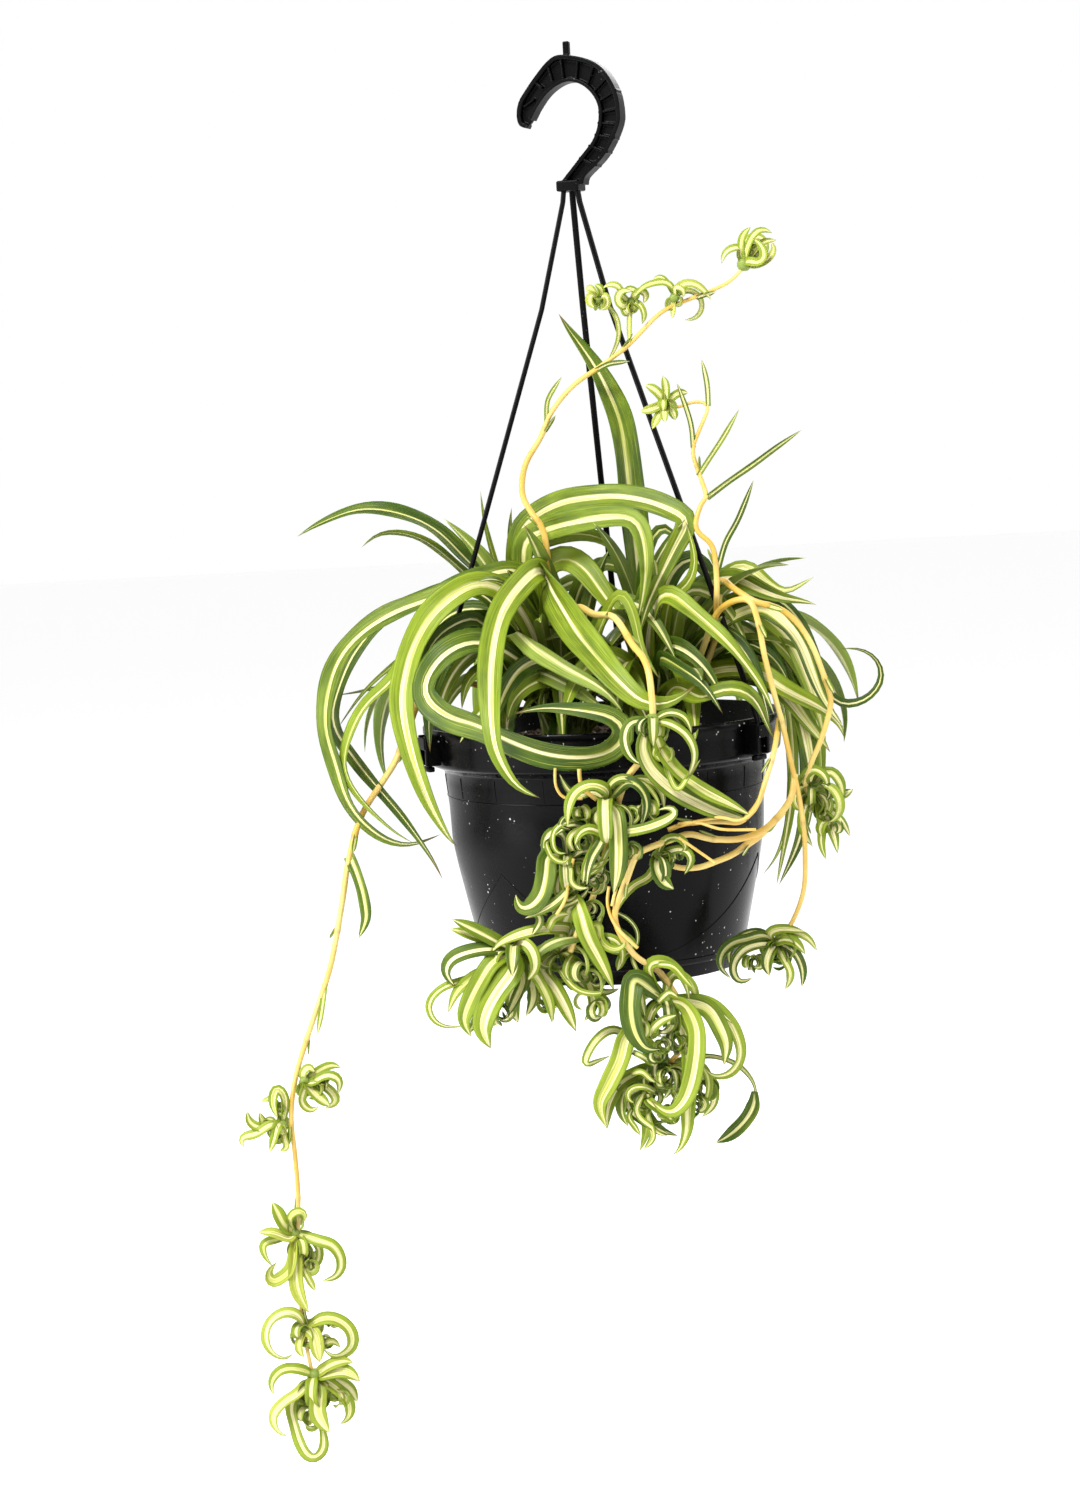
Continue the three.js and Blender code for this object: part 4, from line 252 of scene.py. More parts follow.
MOTHER_LEAVES: list[LeafRow] = leaf_rows(steps=11, text="""
10.5 60 45: A, -35 262 8, -61 234.3 2, -78.6 215.1 -2, -97.3 205.7 -4, -116.5 203.4 -5, -136 209.4 -6,
  -147 215 -6;
6 60 45: A, -45 262 12, -72.7 229.9 10, -88.4 218 10, -103.7 215.3 8, -110 217.4 7, -115.6 222.1 6;
11.5 50 40 18: A, -26 262 -15, -37.4 238.4 -28, -62.5 242 -36, -82.1 249.6 -38, -101 255.5 -38,
  -118.6 265.5 -38, -131.6 281 -38, -138.2 307.5 -38, -134.2 329 -36, -128.8 349.9 -34, -116.2 365.3 -32,
  -101 371.8 -30, -83.8 367.4 -28;
9 55 60 15: A, -40 262 -25, -61 243 -36, -82.6 253.5 -43, -93.1 269.3 -46, -102.8 288.2 -46, -118 300.9 -45,
  -128.1 319.7 -42, -129.7 334.3 -40, -120.6 350.3 -40, -105.8 365.9 -40, -98 371 -40;
13.5 40 20 14: A, -36 262 -30, -56 243.3 -44, -78.8 253.7 -53, -91.3 271.3 -56, -97.7 290.4 -58,
  -99 306.2 -58, -95.4 328.2 -56, -88.8 350.3 -53, -80 369 -46, -76 374 -40;
8.5 40 30 15: A, -55 250 0, -95 252 -10, -120 272 -18, -133 298 -25, -134 311 -28, -126.1 324.9 -30,
  -118.1 336.6 -31, -101.9 358.2 -31, -89.1 378.9 -30, -84.1 390.5 -29;
4 70 50: A, -45 262 -6, -78 264 -22, -101.4 280.5 -30, -116.5 292.3 -31, -127.8 305.2 -31, -132.2 311.3 -31;
4 70 60 8: A, -50 268 -4, -84 274 -16, -108 291 -22, -133 295 -24;
14 45 20 24: A, -35 288 -35, -57.7 272.6 -60, -76.2 276.9 -68, -87 290 -70, -87 299 -70, -77 308 -78,
  -61 314 -88, -49.7 320.5 -95, -30 329 -101, -10 332 -104, 5 328.5 -104, 11 320 -102, 4 312.5 -100,
  -12 308.5 -98, -30 306.5 -94, -45 309 -88;
13 35 15 14: A, -24 262 -22, -27 237.4 -40, -42.3 250 -60, -50.7 266.3 -76, -54.3 286.2 -93,
  -55.3 311.2 -110, -53.9 327.3 -116, -47.5 341.2 -118, -42.3 347.1 -117, -32.9 351.8 -114;
16 30 15 14: A, -23 262 -18, -25.4 239.2 -32, -21 249.4 -48, -10.4 270 -72, 2.8 288.3 -92, 12 299 -100,
  20 306 -104, 30 308 -104, 40 304.5 -102, 47 299 -99;
10 25 20 10: A, -34 290 -30, -41.2 268 -52, -33.3 275.6 -66, -17.2 287.3 -82, -1 297.3 -94, 6.2 304.3 -97,
  10.8 312.1 -99;
12.5 35 15 20: A, -36 262 2, -37 224 -8, -31 213 -14, -16 205.4 -22, 0 203.6 -27, 14 203.6 -32,
  28 206.6 -38, 39 211.5 -44, 47.5 217 -48, 43.9 222.6 -49, 33.7 240.6 -51, 24.3 259.3 -53, 19.3 275.8 -54;
12 35 10 17: A, -32 262 -6, -34.7 226.5 -22, -25.2 218.6 -30, -3.9 214.2 -40, 14 213.4 -46, 22 216.5 -50,
  25 227.6 -54, 25.2 240 -57, 23 253.3 -58, 19.5 266 -58;
15 25 35 12: B, 23 280 -10, 21 240 -15, 18.8 205 -18, 17.7 185.1 -18, 15.2 165.7 -16, 11 153.4 -13,
  5.7 141.1 -9, -0.9 129.9 -6, -7.6 119.9 -4, -12 111.9 -3;
6 25 35 10: B, 30.9 285 -25, 36.2 256.5 -42, 43.2 251 -47, 48.5 244.6 -49, 49.9 234.7 -50, 47.9 224.6 -50,
  46 217 -50;
9.5 35 45 12: B, 25 275 -38, 33.9 252.7 -56, 49.9 265.2 -70, 64.9 280.2 -80, 76.6 296.3 -86, 82 306 -88,
  85.7 316 -88;
10 40 45 13: B, 36 300 -52, 49.8 306 -82, 57 303 -87, 64.3 301.9 -88, 71.4 303.5 -87, 76.8 308.8 -84,
  79.6 315.4 -80, 82.4 322.8 -76, 85.8 330 -72;
12 35 40 10: B, 40 272 -12, 56 250 -24, 70.4 248 -38, 78.2 252.4 -44, 86 256 -47, 93.9 258.9 -48,
  101.9 259.7 -48, 109 261.9 -48;
9 45 50 12: B, 46 266 -8, 62 247 -24, 70 241.5 -30, 76 242 -33, 82 248 -35, 88 253 -37, 94.8 256.1 -38,
  99 253.2 -38, 108.4 248 -38;
12 40 45 12: B, 55 275 -22, 80.1 262.2 -42, 90.2 268.3 -49, 97 275.9 -52, 101.4 284.2 -53, 104.1 293.1 -53,
  106.9 301.3 -52, 109.7 308.6 -50, 114.8 316.9 -48, 120 324 -46;
11 45 35 10: B, 50 295 -18, 75 293 -38, 88.3 301.9 -46, 97.7 307.6 -47, 105.5 311.6 -46, 113.2 316.9 -44,
  118.5 322.7 -42, 120 329 -40;
10.5 50 20 10: B, 60 296 -20, 80 298 -36, 91.3 306.1 -42, 98.1 315.3 -43, 104 323.6 -42, 109.3 330.3 -40,
  112.8 336 -38;
5.5 50 40 22: B, 60 275 -5, 85 258 -20, 97 265 -26, 105 280 -30, 110 298 -31, 115 310 -31, 121.5 312.9 -31,
  128.7 312 -30, 134.5 309.1 -29, 139.2 303.7 -28, 140.7 297.4 -27, 138.7 290.9 -26, 134.1 286.6 -25,
  127.8 284.3 -24, 119.8 284.5 -23;
9.5 50 10 13: B, 60 282 5, 85 278 -5, 96 300 -14, 100 325 -18, 100.5 345 -20, 98.9 363.6 -20,
  96.4 375.9 -19, 92.2 386.6 -17, 84.2 401.7 -13;
6 50 20 11: B, 62 288 8, 84 288 0, 92 310 -5, 94 335 -7, 92 360 -7, 88 380 -5, 83 402 0;
4.5 60 30 11: B, 60 290 15, 80 290 12, 90 315 10, 92 345 9, 89 372 9, 83 388 10, 76.3 395.9 12;
6 50 30 9: A, -8 290 -30, 4 262 -50, 12 250 -54, 18 262 -60, 21 280 -66, 30 296 -74;
7 45 20 9: B, 34 298 -40, 30 284 -62, 40 290 -78, 52 300 -90, 60 314 -97;
8 45 20 10: A, -44 292 -20, -58 262 -40, -70 262 -46, -82 270 -50, -90 286 -52, -94 300 -50;
10 40 20 10: A, -38 256 5, -37 232 0, -25 223 -4, -6 221 -8, 9 227 -12, 16 241 -16;
13 30 25 11: A, -30 262 -8, -26 240 -16, -15 232.5 -24, -5 239 -30, 1 248.5 -36, 8 259 -41, 14 270 -45,
  17 282 -48;
7 20 30 7: B, 19 288 -30, 20 264 -42, 28 242 -47, 38 225 -49, 46 216 -51;
16 40 35 11: B, 48 286 -10, 64 264 -20, 77 262 -28, 88 269 -32, 96 280 -34, 101 292 -35, 105 305 -35,
  108 318 -34, 110 329 -33;
10 45 30 8: A, -40 285 -15, -55 275 -25, -68 281 -32, -78 296 -36, -83 314 -36;
8 45 40 7: A, -44 292 -18, -57 285 -30, -67 292 -38, -70 305 -42;
9 35 20 9: A, -28 298 -30, -34 289 -46, -25 291 -62, -10 300 -78, 2 310 -90;
10 35 20 9: A, -20 298 -34, -28 283 -50, -40 287 -62, -49 300 -76, -55 316 -92;
10 35 20 9: B, 20 298 -30, 9 283 -46, -4 285 -60, -14 297 -76, -20 312 -94;
9 35 30 9: B, 29 296 -30, 33 279 -45, 42 281 -58, 52 291 -70, 60 305 -84;
9 45 35 9: B, 40 294 -20, 52 275 -30, 64 275 -40, 74 287 -50, 80 304 -56, 83 320 -60;
9 50 40 9: B, 46 292 -10, 62 271 -16, 76 275 -22, 88 290 -26, 95 310 -30;
8 45 40 9: B, 31 286 -16, 37 262 -22, 47 251 -26, 58 255 -30, 68 268 -34, 75 284 -38;
9 40 30 9: A, -6 290 -20, 0 268 -30, 10 256 -38, 22 259 -46, 31 271 -54, 38 286 -62;
9 40 30 9: A, -13 280 -2, -11 256 -2, -3 240 -4, 8 236 -6, 18 245 -8, 26 261 -10;
9 40 30 9: B, 21 284 4, 13 260 10, 0 246 14, -14 245 17, -26 255 20, -34 272 22;
9 45 35 9: B, 36 280 10, 46 256 16, 59 246 20, 72 252 24, 82 268 26, 88 292 28;
9 45 35 9: A, -34 284 10, -48 262 16, -64 255 20, -80 263 24, -91 282 26, -97 306 28;
4 40 40 6: A, -42 262 6, -50 232 4, -54 212 2, -55 197 2;
6 40 40 6: A, -34 270 12, -40 240 12, -42 220 10, -40 206 8;
7 20 20 8: B, 22 262 -30, 25 238 -40, 31 221 -44, 38 219 -46, 41 229 -47, 40 240 -47;
11 30 30 8: B, 30 280 -5, 33 255 -8, 40 240 -10, 50 236 -12, 58 247 -14, 63 262 -16;
10 30 20 10: B, 62 290 -15, 84 290 -28, 97 312 -38, 102 335 -40, 103 355 -38, 100 372 -36;
8 40 25 10: B, 58 284 0, 82 276 -8, 98 292 -14, 106 316 -16, 108 340 -15, 106 362 -13;
9 30 20 8: A, -32 300 -30, -40 296 -50, -52 300 -66, -64 310 -78, -72 322 -84;
12 30 25 10: A, -40 280 -20, -56 262 -32, -70 268 -42, -80 284 -48, -86 304 -50, -87 326 -50;
9 30 20 8: A, -22 300 -28, -24 292 -46, -34 294 -62, -44 302 -78, -48 313 -92;
""")

PLANTLETS: list[Tuft] = [
    Tuft("plantlet_top_right", [80.5, 92.5, -28], 26, 0, 3, (0, 360), leaf_rows("""
        4 30 30 8: 80 93 -28, 77.5 87 -30, 80 84.6 -31, 75 84.4 -31, 71 87 -31, 69.5 91.5 -31;
        4 30 30 6: 80 93 -28, 79.5 86 -31, 80.5 79 -32, 84.5 74.5 -32;
        4 30 30 7: 80 93 -28, 82 86 -33, 85.5 79 -34, 90 76 -34, 95 78 -34;
        4 30 30 6: 80 93 -28, 84 88 -31, 90 82.5 -32, 97 81.5 -32;
        4 30 30 8: 80 93 -28, 87 93.5 -32, 93 90.5 -33, 96 85.5 -33, 94 82 -33;
        4.5 25 30 8: 80 93 -28, 83 91 -34, 88 92.5 -36, 91 88 -36, 88.5 82.5 -36, 85 80 -35;
        4 30 30 8: 80 93 -28, 83 84 -26, 87 79 -24, 91 82 -23, 91 88 -23, 87 90.5 -24;
        3.5 30 30 6: 80 93 -28, 79 89 -25, 83 80 -22, 88 77 -21;""")),
    Tuft("plantlet_upper", [45.5, 107, -27], 17, 0, 5, (0, 360), leaf_rows("""
        3.5 30 30 9: 45.5 110 -27, 45 103 -29, 42 99.5 -30, 36 99.5 -30, 30 101.5 -30, 25.5 106 -30;
        4.5 30 40 8: 45.5 110 -27, 48 102 -29, 54 100.5 -29, 60 104.5 -29, 63.5 109 -29;
        3.5 45 40 9: 46 109 -27, 52 104 -24, 57.5 107 -23, 58.5 113 -23, 55 117.5 -23, 50 118.2 -23;
        3 30 30 6: 45.5 108 -27, 43 101 -26, 39 96.5 -26, 35 98 -26;
        3 30 30 5: 45.5 108 -27, 46.5 102 -31, 50 104 -32, 49.5 107.5 -32;
        3 40 40 4: 45.5 108 -27, 44.5 115 -27, 43.6 117 -27;""")),
    Tuft("plantlet_bud_right", [24, 108, -25], 12, 0, 7, (0, 360), leaf_rows("""
        2.6 30 30 6: 24 108 -25, 23 116 -25, 22.5 125 -25, 22.4 130 -24.5;
        3.5 30 30 7: 24 108 -26, 19.5 105 -28, 18.5 100.5 -28, 14 99 -28, 10.5 100.5 -28;
        4 30 30 6: 24 108 -26, 28 103 -28, 31.5 105 -28, 30 109 -28;
        3.5 30 30 6: 24 108 -26, 28 109.5 -28, 30 114.5 -28, 29 119 -28;
        4 30 30 7: 24 108 -26, 20 110 -29, 17.5 106 -30, 20 102.5 -30, 25 103 -30;
        3.5 30 30 6: 24 108 -24, 27 104 -22, 23 101.5 -21, 20 105 -21;""")),
    Tuft("plantlet_bud_left", [8, 106, -24], 9, 0, 9, (0, 360), leaf_rows("""
        2.6 30 30 9: 8 106 -24, 13 110 -24, 16.5 116 -24, 17 124 -24, 14.5 131 -24, 11 136.5 -23.5;
        4 30 30 6: 8 106 -25, 4.5 103.5 -27, 3.5 107 -27, 6 110 -27;
        4 30 30 5: 8 106 -25, 9.5 101.5 -27, 6.5 98.5 -27;
        4 30 30 6: 8 106 -25, 11.5 104.5 -28, 12 109 -28, 8.5 111 -28;
        3.5 30 30 5: 8 106 -24, 4 100 -22, 2.5 102 -21;""")),
    Tuft("plantlet_star", [38.8, 158.5, -46], 14, 0, 11, (0, 360), leaf_rows("""
        4 10 10: 39 158 -46, 39 150 -47, 38 145 -46;
        4.5 10 10: 39 158 -46, 34 152 -47, 29 149 -46;
        4.5 10 10: 39 158 -46, 32 161 -48, 26 162 -48;
        4 10 10: 39 158 -46, 34 166 -48, 31.5 171 -48;
        4.5 10 10: 39 158 -46, 42 163 -48, 43 167 -47;
        4 10 10: 39 158 -46, 45 154 -44, 50 154 -42;
        4 10 10: 39 158 -46, 38 163 -50, 38 168 -53;""")),
    Tuft("plantlet_front", [24.8, 316, -114], 30, 1, 13, (180, 360), leaf_rows("""
        9.5 25 30 11: 22 314 -114, 19 327 -119, 22 339 -119, 33 351 -117, 45.7 359 -113, 57.2 364.3 -110,
          71 368 -106;
        7 25 30 9: 26 316 -114, 28 330 -120, 36 342 -119, 48 352 -116, 62 360 -112, 72 366 -108;
        5.5 40 60 10: 26 316 -115, 33 318 -122, 41 324 -124, 44.5 333 -124, 42 343 -122, 38 349 -120;
        3 30 30 7: 24 318 -114, 34 350 -122, 41 345 -122, 48 336 -122;
        5 30 30 7: 25 316 -114, 14 316 -116, 10.5 324 -118, 13 333 -119, 19 338 -119;
        4 30 30 6: 25 316 -114, 33 312 -118, 41 315 -120, 44 323 -121;""")),
    Tuft("plantlets_right", [104, 354, -52], 34, 1, 15, (250, 380), leaf_rows("""
        6 30 40 7: 101 358 -54, 106 350 -54, 112 345.5 -54, 117 352 -54, 118 360 -54;
        6 30 40 6: 101 358 -54, 110 356 -52, 118 358 -52, 123.5 355 -52;
        7 30 30 6: 102 360 -54, 108 362 -52, 114 364 -50, 118.5 366.5 -50;
        6 30 30 7: 103 360 -54, 109 368 -54, 112.5 378 -54, 114.3 387 -54;
        5 30 30 7: 103 360 -54, 106.5 372 -56, 106 382 -56, 108.5 390 -56;
        5 30 30 7: 103 358 -54, 98 350 -56, 104 344 -57, 110 349 -57, 110 357 -56;
        5 30 30 6: 103 360 -54, 98 366 -58, 98 375 -59, 102 383 -59;
        4.5 30 30 6: 103 360 -54, 110 364 -56, 117 371 -56, 121 379 -55;""")),
    Tuft("plantlet_low_right", [81, 431, -58], 22, 0, 17, (180, 360), leaf_rows("""
        6.5 50 50 12: 84 431 -58, 76 427 -60, 67.3 428.8 -62, 60 430.3 -62, 54.3 435.4 -62, 53.5 441.7 -62,
          58.1 447.8 -62;
        6 50 50 12: 84 431 -58, 75 431.5 -64, 67 433 -66, 61.8 437.6 -66, 59.7 443.8 -66, 62.6 449.4 -66,
          69 448 -66;
        5.5 45 45 7: 80 432 -58, 78.3 426 -60, 84.7 424.3 -61, 96 425.8 -62;
        6.5 50 50 7: 81 431 -58, 86 429.8 -64, 91 431.5 -66, 96 437.3 -66;
        6 50 40 8: 81 432 -58, 86 433 -60, 91 437.2 -60, 94 445.5 -60, 93.5 454 -60;
        6.5 30 20 6: 81 429 -58, 78 436 -68, 76.5 441 -69, 77.5 447.5 -69;
        4 30 20 6: 81 431 -58, 85 438 -56, 87.5 445 -55, 86 452.5 -55;
        4.5 45 45 8: 81 431 -58, 73 425 -56, 64 427 -55, 58 434 -55, 58 442 -55;
        4.5 40 40 6: 81 431 -58, 88 426 -60, 97 429 -60, 102 436 -60;
        5 35 35 6: 81 431 -58, 84 438 -64, 88 447 -64, 85 455 -63;""")),
    Tuft("plantlet_cascade_top", [0, 356, -110], 34, 1, 19, (180, 360), leaf_rows("""
        9 20 10 9: 2 352 -112, 4 362 -120, 4.5 376 -123, 3.6 390 -122, 1 402 -120;
        7 50 50 10: 0 358 -110, 0 350 -116, -7 346.8 -119, -15 350 -120, -19 358 -120, -20 367 -119;
        5 40 30 9: 2 356 -110, 10 346 -116, 17 349 -118, 20 358 -118, 17 368 -118;
        3.5 20 20 8: 0 356 -110, -6 350 -108, -14 352 -106, -19.5 348 -106, -23 340 -106;
        5.5 30 20 10: 0 362 -114, 2 370 -118, 10 371 -120, 20 369.5 -120, 30 366 -119, 34.5 362.5 -118,
          31 359.5 -117, 25 361 -116;
        4.5 25 20 6: 0 366 -114, -3 374 -118, -8 382 -119, -11 390 -118, -12 397 -117;
        5 20 20 6: 0 364 -113, -2 371 -117, -9 368 -119, -15 371 -119, -17 377 -118;
        4 35 35 8: 1 356 -112, 2 347 -114, 8 343.5 -115, 15 346 -116, 19 353 -116, 19 361 -115, 16 367 -114;
        4.5 30 30 7: 2 354 -112, 12 346 -112, 22 346 -113, 27.5 352 -113, 28.5 361 -112;""")),
    Tuft("plantlet_cascade_left", [-21, 384, -100], 36, 1, 23, (180, 360), leaf_rows("""
        10 20 15 13: -22 384 -102, -30 381 -108, -31.8 391 -109, -35 401 -108, -41 406.6 -107,
          -46.4 406.4 -106, -48 399.8 -105;
        5 50 50 9: -20 382 -102, -23 371 -106, -28.5 369 -107, -32 375 -107, -32 384 -106;
        5 50 40 8: -18 384 -102, -10 372 -108, -18 366 -110, -27 371 -110;
        4 30 30 8: -20 384 -102, -12 379 -108, -5 384 -110, -5 391 -110, -11 395 -109, -17 392 -108;
        4.5 30 30 7: -20 386 -102, -26 392 -106, -27 400 -108, -22 405 -108, -17 401 -107;
        5 30 25 7: -20 386 -102, -20 396 -108, -27 404 -110, -36 409 -110, -44 412 -108;
        3 30 30 5: -21 384 -100, -13 384 -103, -4 389 -106.5, 0 391 -108;""")),
    Tuft("plantlet_cascade_right", [24, 384, -108], 22, 1, 25, (200, 380), leaf_rows("""
        8 25 25 6: 25 382 -108, 23 390 -114, 26 397 -116, 31.5 401 -116;
        4.5 30 30 7: 26 384 -108, 36 381 -114, 41 386 -115, 37 394 -114;
        4 30 30 6: 25 382 -108, 28 376 -113, 35 375 -115, 39 380 -115, 35 384 -114;
        4.5 30 30 7: 24 386 -108, 20 394 -108, 12 398 -108, 5 405 -107, 2 412 -106;""")),
    Tuft("plantlet_low_left", [-50, 429, -100], 34, 1, 27, (190, 350), leaf_rows("""
        8 45 40 11: -49 430 -96, -62.3 427 -104, -75 428.5 -106, -82.8 432.3 -106, -84.6 438.5 -106,
          -80.5 445.1 -106;
        7 35 30 8: -49 428 -96, -60 422.5 -102, -71 416 -104, -80.6 410.6 -104;
        6 35 30 8: -49 429 -96, -62 423 -99, -73 418.5 -100, -82 415.5 -100;
        9.5 40 20 11: -49 430 -98, -60.5 433.4 -108, -67.4 442.7 -111, -73.3 453.1 -111, -77 462.5 -110,
          -74 471 -110;
        12 30 15 11: -47 428 -98, -51.1 438.2 -110, -59.2 448.5 -114, -65 457.8 -115, -67.7 467.3 -114,
          -64.6 477.5 -113;
        6 35 35 8: -50 430 -98, -46 424 -106, -41 429 -109, -40.5 438 -109, -45 444 -108;
        4.5 45 45 14: -52 432 -98, -64 438 -103, -76 442.3 -104, -86.8 445.4 -104, -94 452.5 -104,
          -92.5 460.8 -104, -86 465 -104, -77 465 -104;
        8 30 15 8: -48 430 -98, -50 444 -104, -53 455 -105, -50 465 -104;
        6 30 15 8: -47 430 -97, -43 444 -100, -42 453 -101, -46 462 -101;
        6 40 35 8: -50 429 -97, -58 436 -103, -70 440 -106, -80 448 -106, -85 458 -105;
        7 35 25 8: -50 429 -97, -56 440 -104, -62 452 -106, -70 462 -106, -76 470 -105;
        6 35 30 7: -50 429 -97, -44 436 -102, -38 446 -104, -34 456 -103, -33 466 -102;
        5.5 30 20 7: -50 429 -97, -46 442 -107, -50 452 -109, -56 462 -109;""")),
    Tuft("plantlet_low_middle", [-28, 429, -90], 36, 0, 29, (180, 360), leaf_rows("""
        8 25 20 9: -34 428 -87, -37.2 437.8 -95, -31.3 447.8 -98, -26.5 457.6 -98, -21 471 -97;
        9 25 15 11: -28 429 -90, -24 416 -96, -18 404 -104, -15.5 411 -110, -13 423 -111, -8 434 -109,
          -3.5 444 -107, -1 451 -106;
        6 30 30 8: -28 429 -92, -17 424 -100, -25 423.5 -108, -33 426 -108, -39 431 -107, -40 438 -106;
        6 35 30 8: -28 429 -92, -22 419 -98, -33 418 -104, -46 420 -105, -57 424 -105, -62 429 -104;
        4.5 25 25 8: -28 429 -90, -8 417 -104, -7 425 -107, -1 430.5 -108, 6 428 -108, 4 422 -107;
        5 20 20 6: -28 429 -90, -4 424 -104, 4 430 -106, 3 439 -105;
        5 35 35 6: -28 430 -90, -20 428 -96, -12 432 -98, -8 440 -97, -12 447 -96;
        5 35 35 7: -28 430 -90, -24 438 -92, -16 448 -92, -6 452 -91, 2 450 -90;
        5 25 15 7: -32 430 -87, -34 442 -89, -34.5 454 -89, -32 465 -88;
        6 30 20 9: -28 430 -87, -20 436 -95, -14 446 -96, -12 458 -95, -17 466 -94;""")),
    Tuft("plantlet_low_front", [24, 457, -100], 34, 1, 31, (180, 380), leaf_rows("""
        10.5 25 15 12: 20 452 -100, 10 446 -108, 7.6 454 -112, 7.2 464 -112, 9 474 -111, 14 481.5 -110,
          21 482 -109;
        6 45 45 9: 18 452 -100, 17 440 -104, 26 438 -105, 34 447 -104, 36.6 458 -103;
        5 30 30 8: 18 452 -98, 29 444 -98, 38 450 -97, 41 462 -96;
        9 20 15 14: 28 455 -98, 34 459.6 -104, 39.5 470.3 -107, 40 480 -108, 38.5 490 -108, 36 500 -107,
          32 509 -106, 26 514.5 -105, 20 513 -104, 15 508 -103;
        7.5 20 10 10: 28 458 -100, 34 480 -102, 34 500 -102, 33 514 -102, 32 525 -102, 28 534 -101,
          24.5 536.5 -101;
        4 20 20 5: 30 460 -94, 44 459 -95, 52 465 -95, 58 471 -95;
        5 30 30 6: 24 458 -100, 18 462 -104, 16 470 -105, 22 476 -104;
        4.5 30 30 6: 24 458 -100, 28 464 -104, 27 472 -105, 20 474 -104;
        9 15 20 9: 30 460 -96, 40 460 -98, 46.4 463.5 -99, 51 472.5 -99, 53.8 481.5 -98, 52.5 492 -98;
        7 40 40 14: 31 462 -94, 46 460 -93, 56 470 -92, 60.6 481.9 -92, 60 490 -92, 55 496 -92, 47 497 -92,
          42 492 -92;""")),
    Tuft("plantlet_bottom", [22, 489, -84], 34, 0, 33, (180, 400), leaf_rows("""
        9.5 25 15 11: 16 486 -85, 6 474 -92, 0.5 487 -95, -6 499 -95, -11 509 -94, -8 521 -93;
        7 45 30 9: 18 490 -83, 6 497 -89, 1 506 -90, 0 514 -90, 3 521 -89;
        7 50 45 11: 20 490 -81, 10 496 -81, 4 504 -81, 6 513 -81, 14 520 -81, 22 519 -81;
        6 50 45 10: 22 490 -79, 12 503 -75, 12 514 -75, 18 523 -75, 28 527 -75;
        3 50 50 10: 26 488 -81, 44 487 -80, 58 491.5 -79, 66 500 -78, 68 508 -78, 67 515 -78;
        7 20 15 8: 67.6 506 -78, 66.5 514 -78, 61 522 -78, 53 528.5 -78, 46.5 531.5 -78;
        4.5 35 35 10: 18 488 -82, 6 476 -86, -2 471 -88, -9 474 -88, -15 481 -88, -17.5 488 -88,
          -12 486.5 -87, -4 484 -86;
        7 25 15 7: 18 490 -84, 2 497 -90, -5 506 -91, -7.5 514 -91, -8 522 -90;
        5 30 30 10: 20 490 -84, 12 500 -88, 4 504 -90, 2.5 510 -90, 7 516 -90, 14 521 -89, 24 526.5 -88;
        4.5 35 35 8: 26 490 -82, 38 490 -84, 44 497 -84, 43.5 507 -83, 38 517 -82;
        6 35 30 9: 26 488 -79, 38 495 -77, 46 503 -77, 46 512 -77, 40 518 -77;
        7 20 10 7: 28 490 -81, 32 500 -85, 27 512 -87, 22 519 -87;
        5 30 20 7: 20 492 -81, 13 512 -85, 12 524 -85, 8 534 -85;""")),
    Tuft("plantlet_runner_right", [-159, 489, -28], 20, 0, 35, (-60, 60), leaf_rows("""
        5.5 45 45 8: -164 490.5 -28, -156 491 -31, -148 487 -33, -142 490 -33, -143 497 -33;
        6.5 45 40 7: -163 490.5 -28, -156 495 -32, -151 500 -34, -147 503 -34;
        5 45 45 8: -163 491 -28, -160 494 -33, -162 500 -34, -157 505 -34, -153 502.5 -34;
        4.5 30 30 6: -163 490 -28, -160 486 -29, -157 482.5 -30, -154 485 -30;
        4.5 30 30 6: -158 491 -30, -151 484 -28, -145 482 -27, -140.5 483.5 -27;
        5 30 30 7: -158 491 -30, -149 493 -27, -144 500 -26, -150 504 -26;""")),
    Tuft("plantlet_runner_left", [-171.8, 510.8, -29], 18, 0, 37, (120, 240), leaf_rows("""
        5.5 45 45 8: -169 509 -28, -178 511 -32, -185 515.5 -33, -193 517 -33, -192 522 -33;
        5.5 40 40 7: -169 509 -28, -174 511 -33, -176 518 -34, -179 525 -34;
        5 30 30 7: -176 512 -31, -184 512 -31, -189 508 -30, -189 503 -30;
        4.5 30 30 5: -176 512 -31, -181 510 -29, -183 504 -29;
        4.5 40 40 6: -171 511 -30, -171 517 -32, -170 523 -32, -174 524.5 -32;
        5 40 40 8: -169 508 -28, -170 498 -30, -174 492 -30, -176 500 -31, -174 508 -31;
        4 30 30 6: -170 507 -28, -176 498 -26, -182 499 -26;""")),
    Tuft("plantlet_runner_upper", [-168.5, 567, -28], 20, 0, 39, (120, 420), leaf_rows("""
        7 30 20 6: -168 572 -28, -174 563 -32, -177 556 -33, -179.4 550.5 -33;
        4.5 40 40 8: -168 570 -28, -171 560 -33, -167 556 -34, -163 558 -34, -164 562 -34;
        5.5 35 35 7: -168 576 -29, -172 570 -32, -180 566.5 -33, -187.5 566 -33;
        5 45 45 8: -168 576 -29, -178 570.5 -30, -185 572 -30, -184 579 -30, -181 584 -30;
        7 40 40 10: -167 576 -29, -171 584 -33, -176 590 -34, -182 592 -34, -184 587 -34, -179 582 -34;
        6.5 40 40 10: -167 576 -29, -158 572 -33, -150 575 -34, -146.5 583 -34, -149 590 -34, -157 593 -34;
        5 45 45 9: -167 575 -29, -162 569 -27, -157 577 -26, -160 585 -26, -166 583 -26;
        7.5 20 10 7: -168 578 -29, -170 590 -34, -168.5 600 -35, -164 609 -35;
        4 30 30 5: -167 582 -29, -164 590 -32, -160 598 -32;""")),
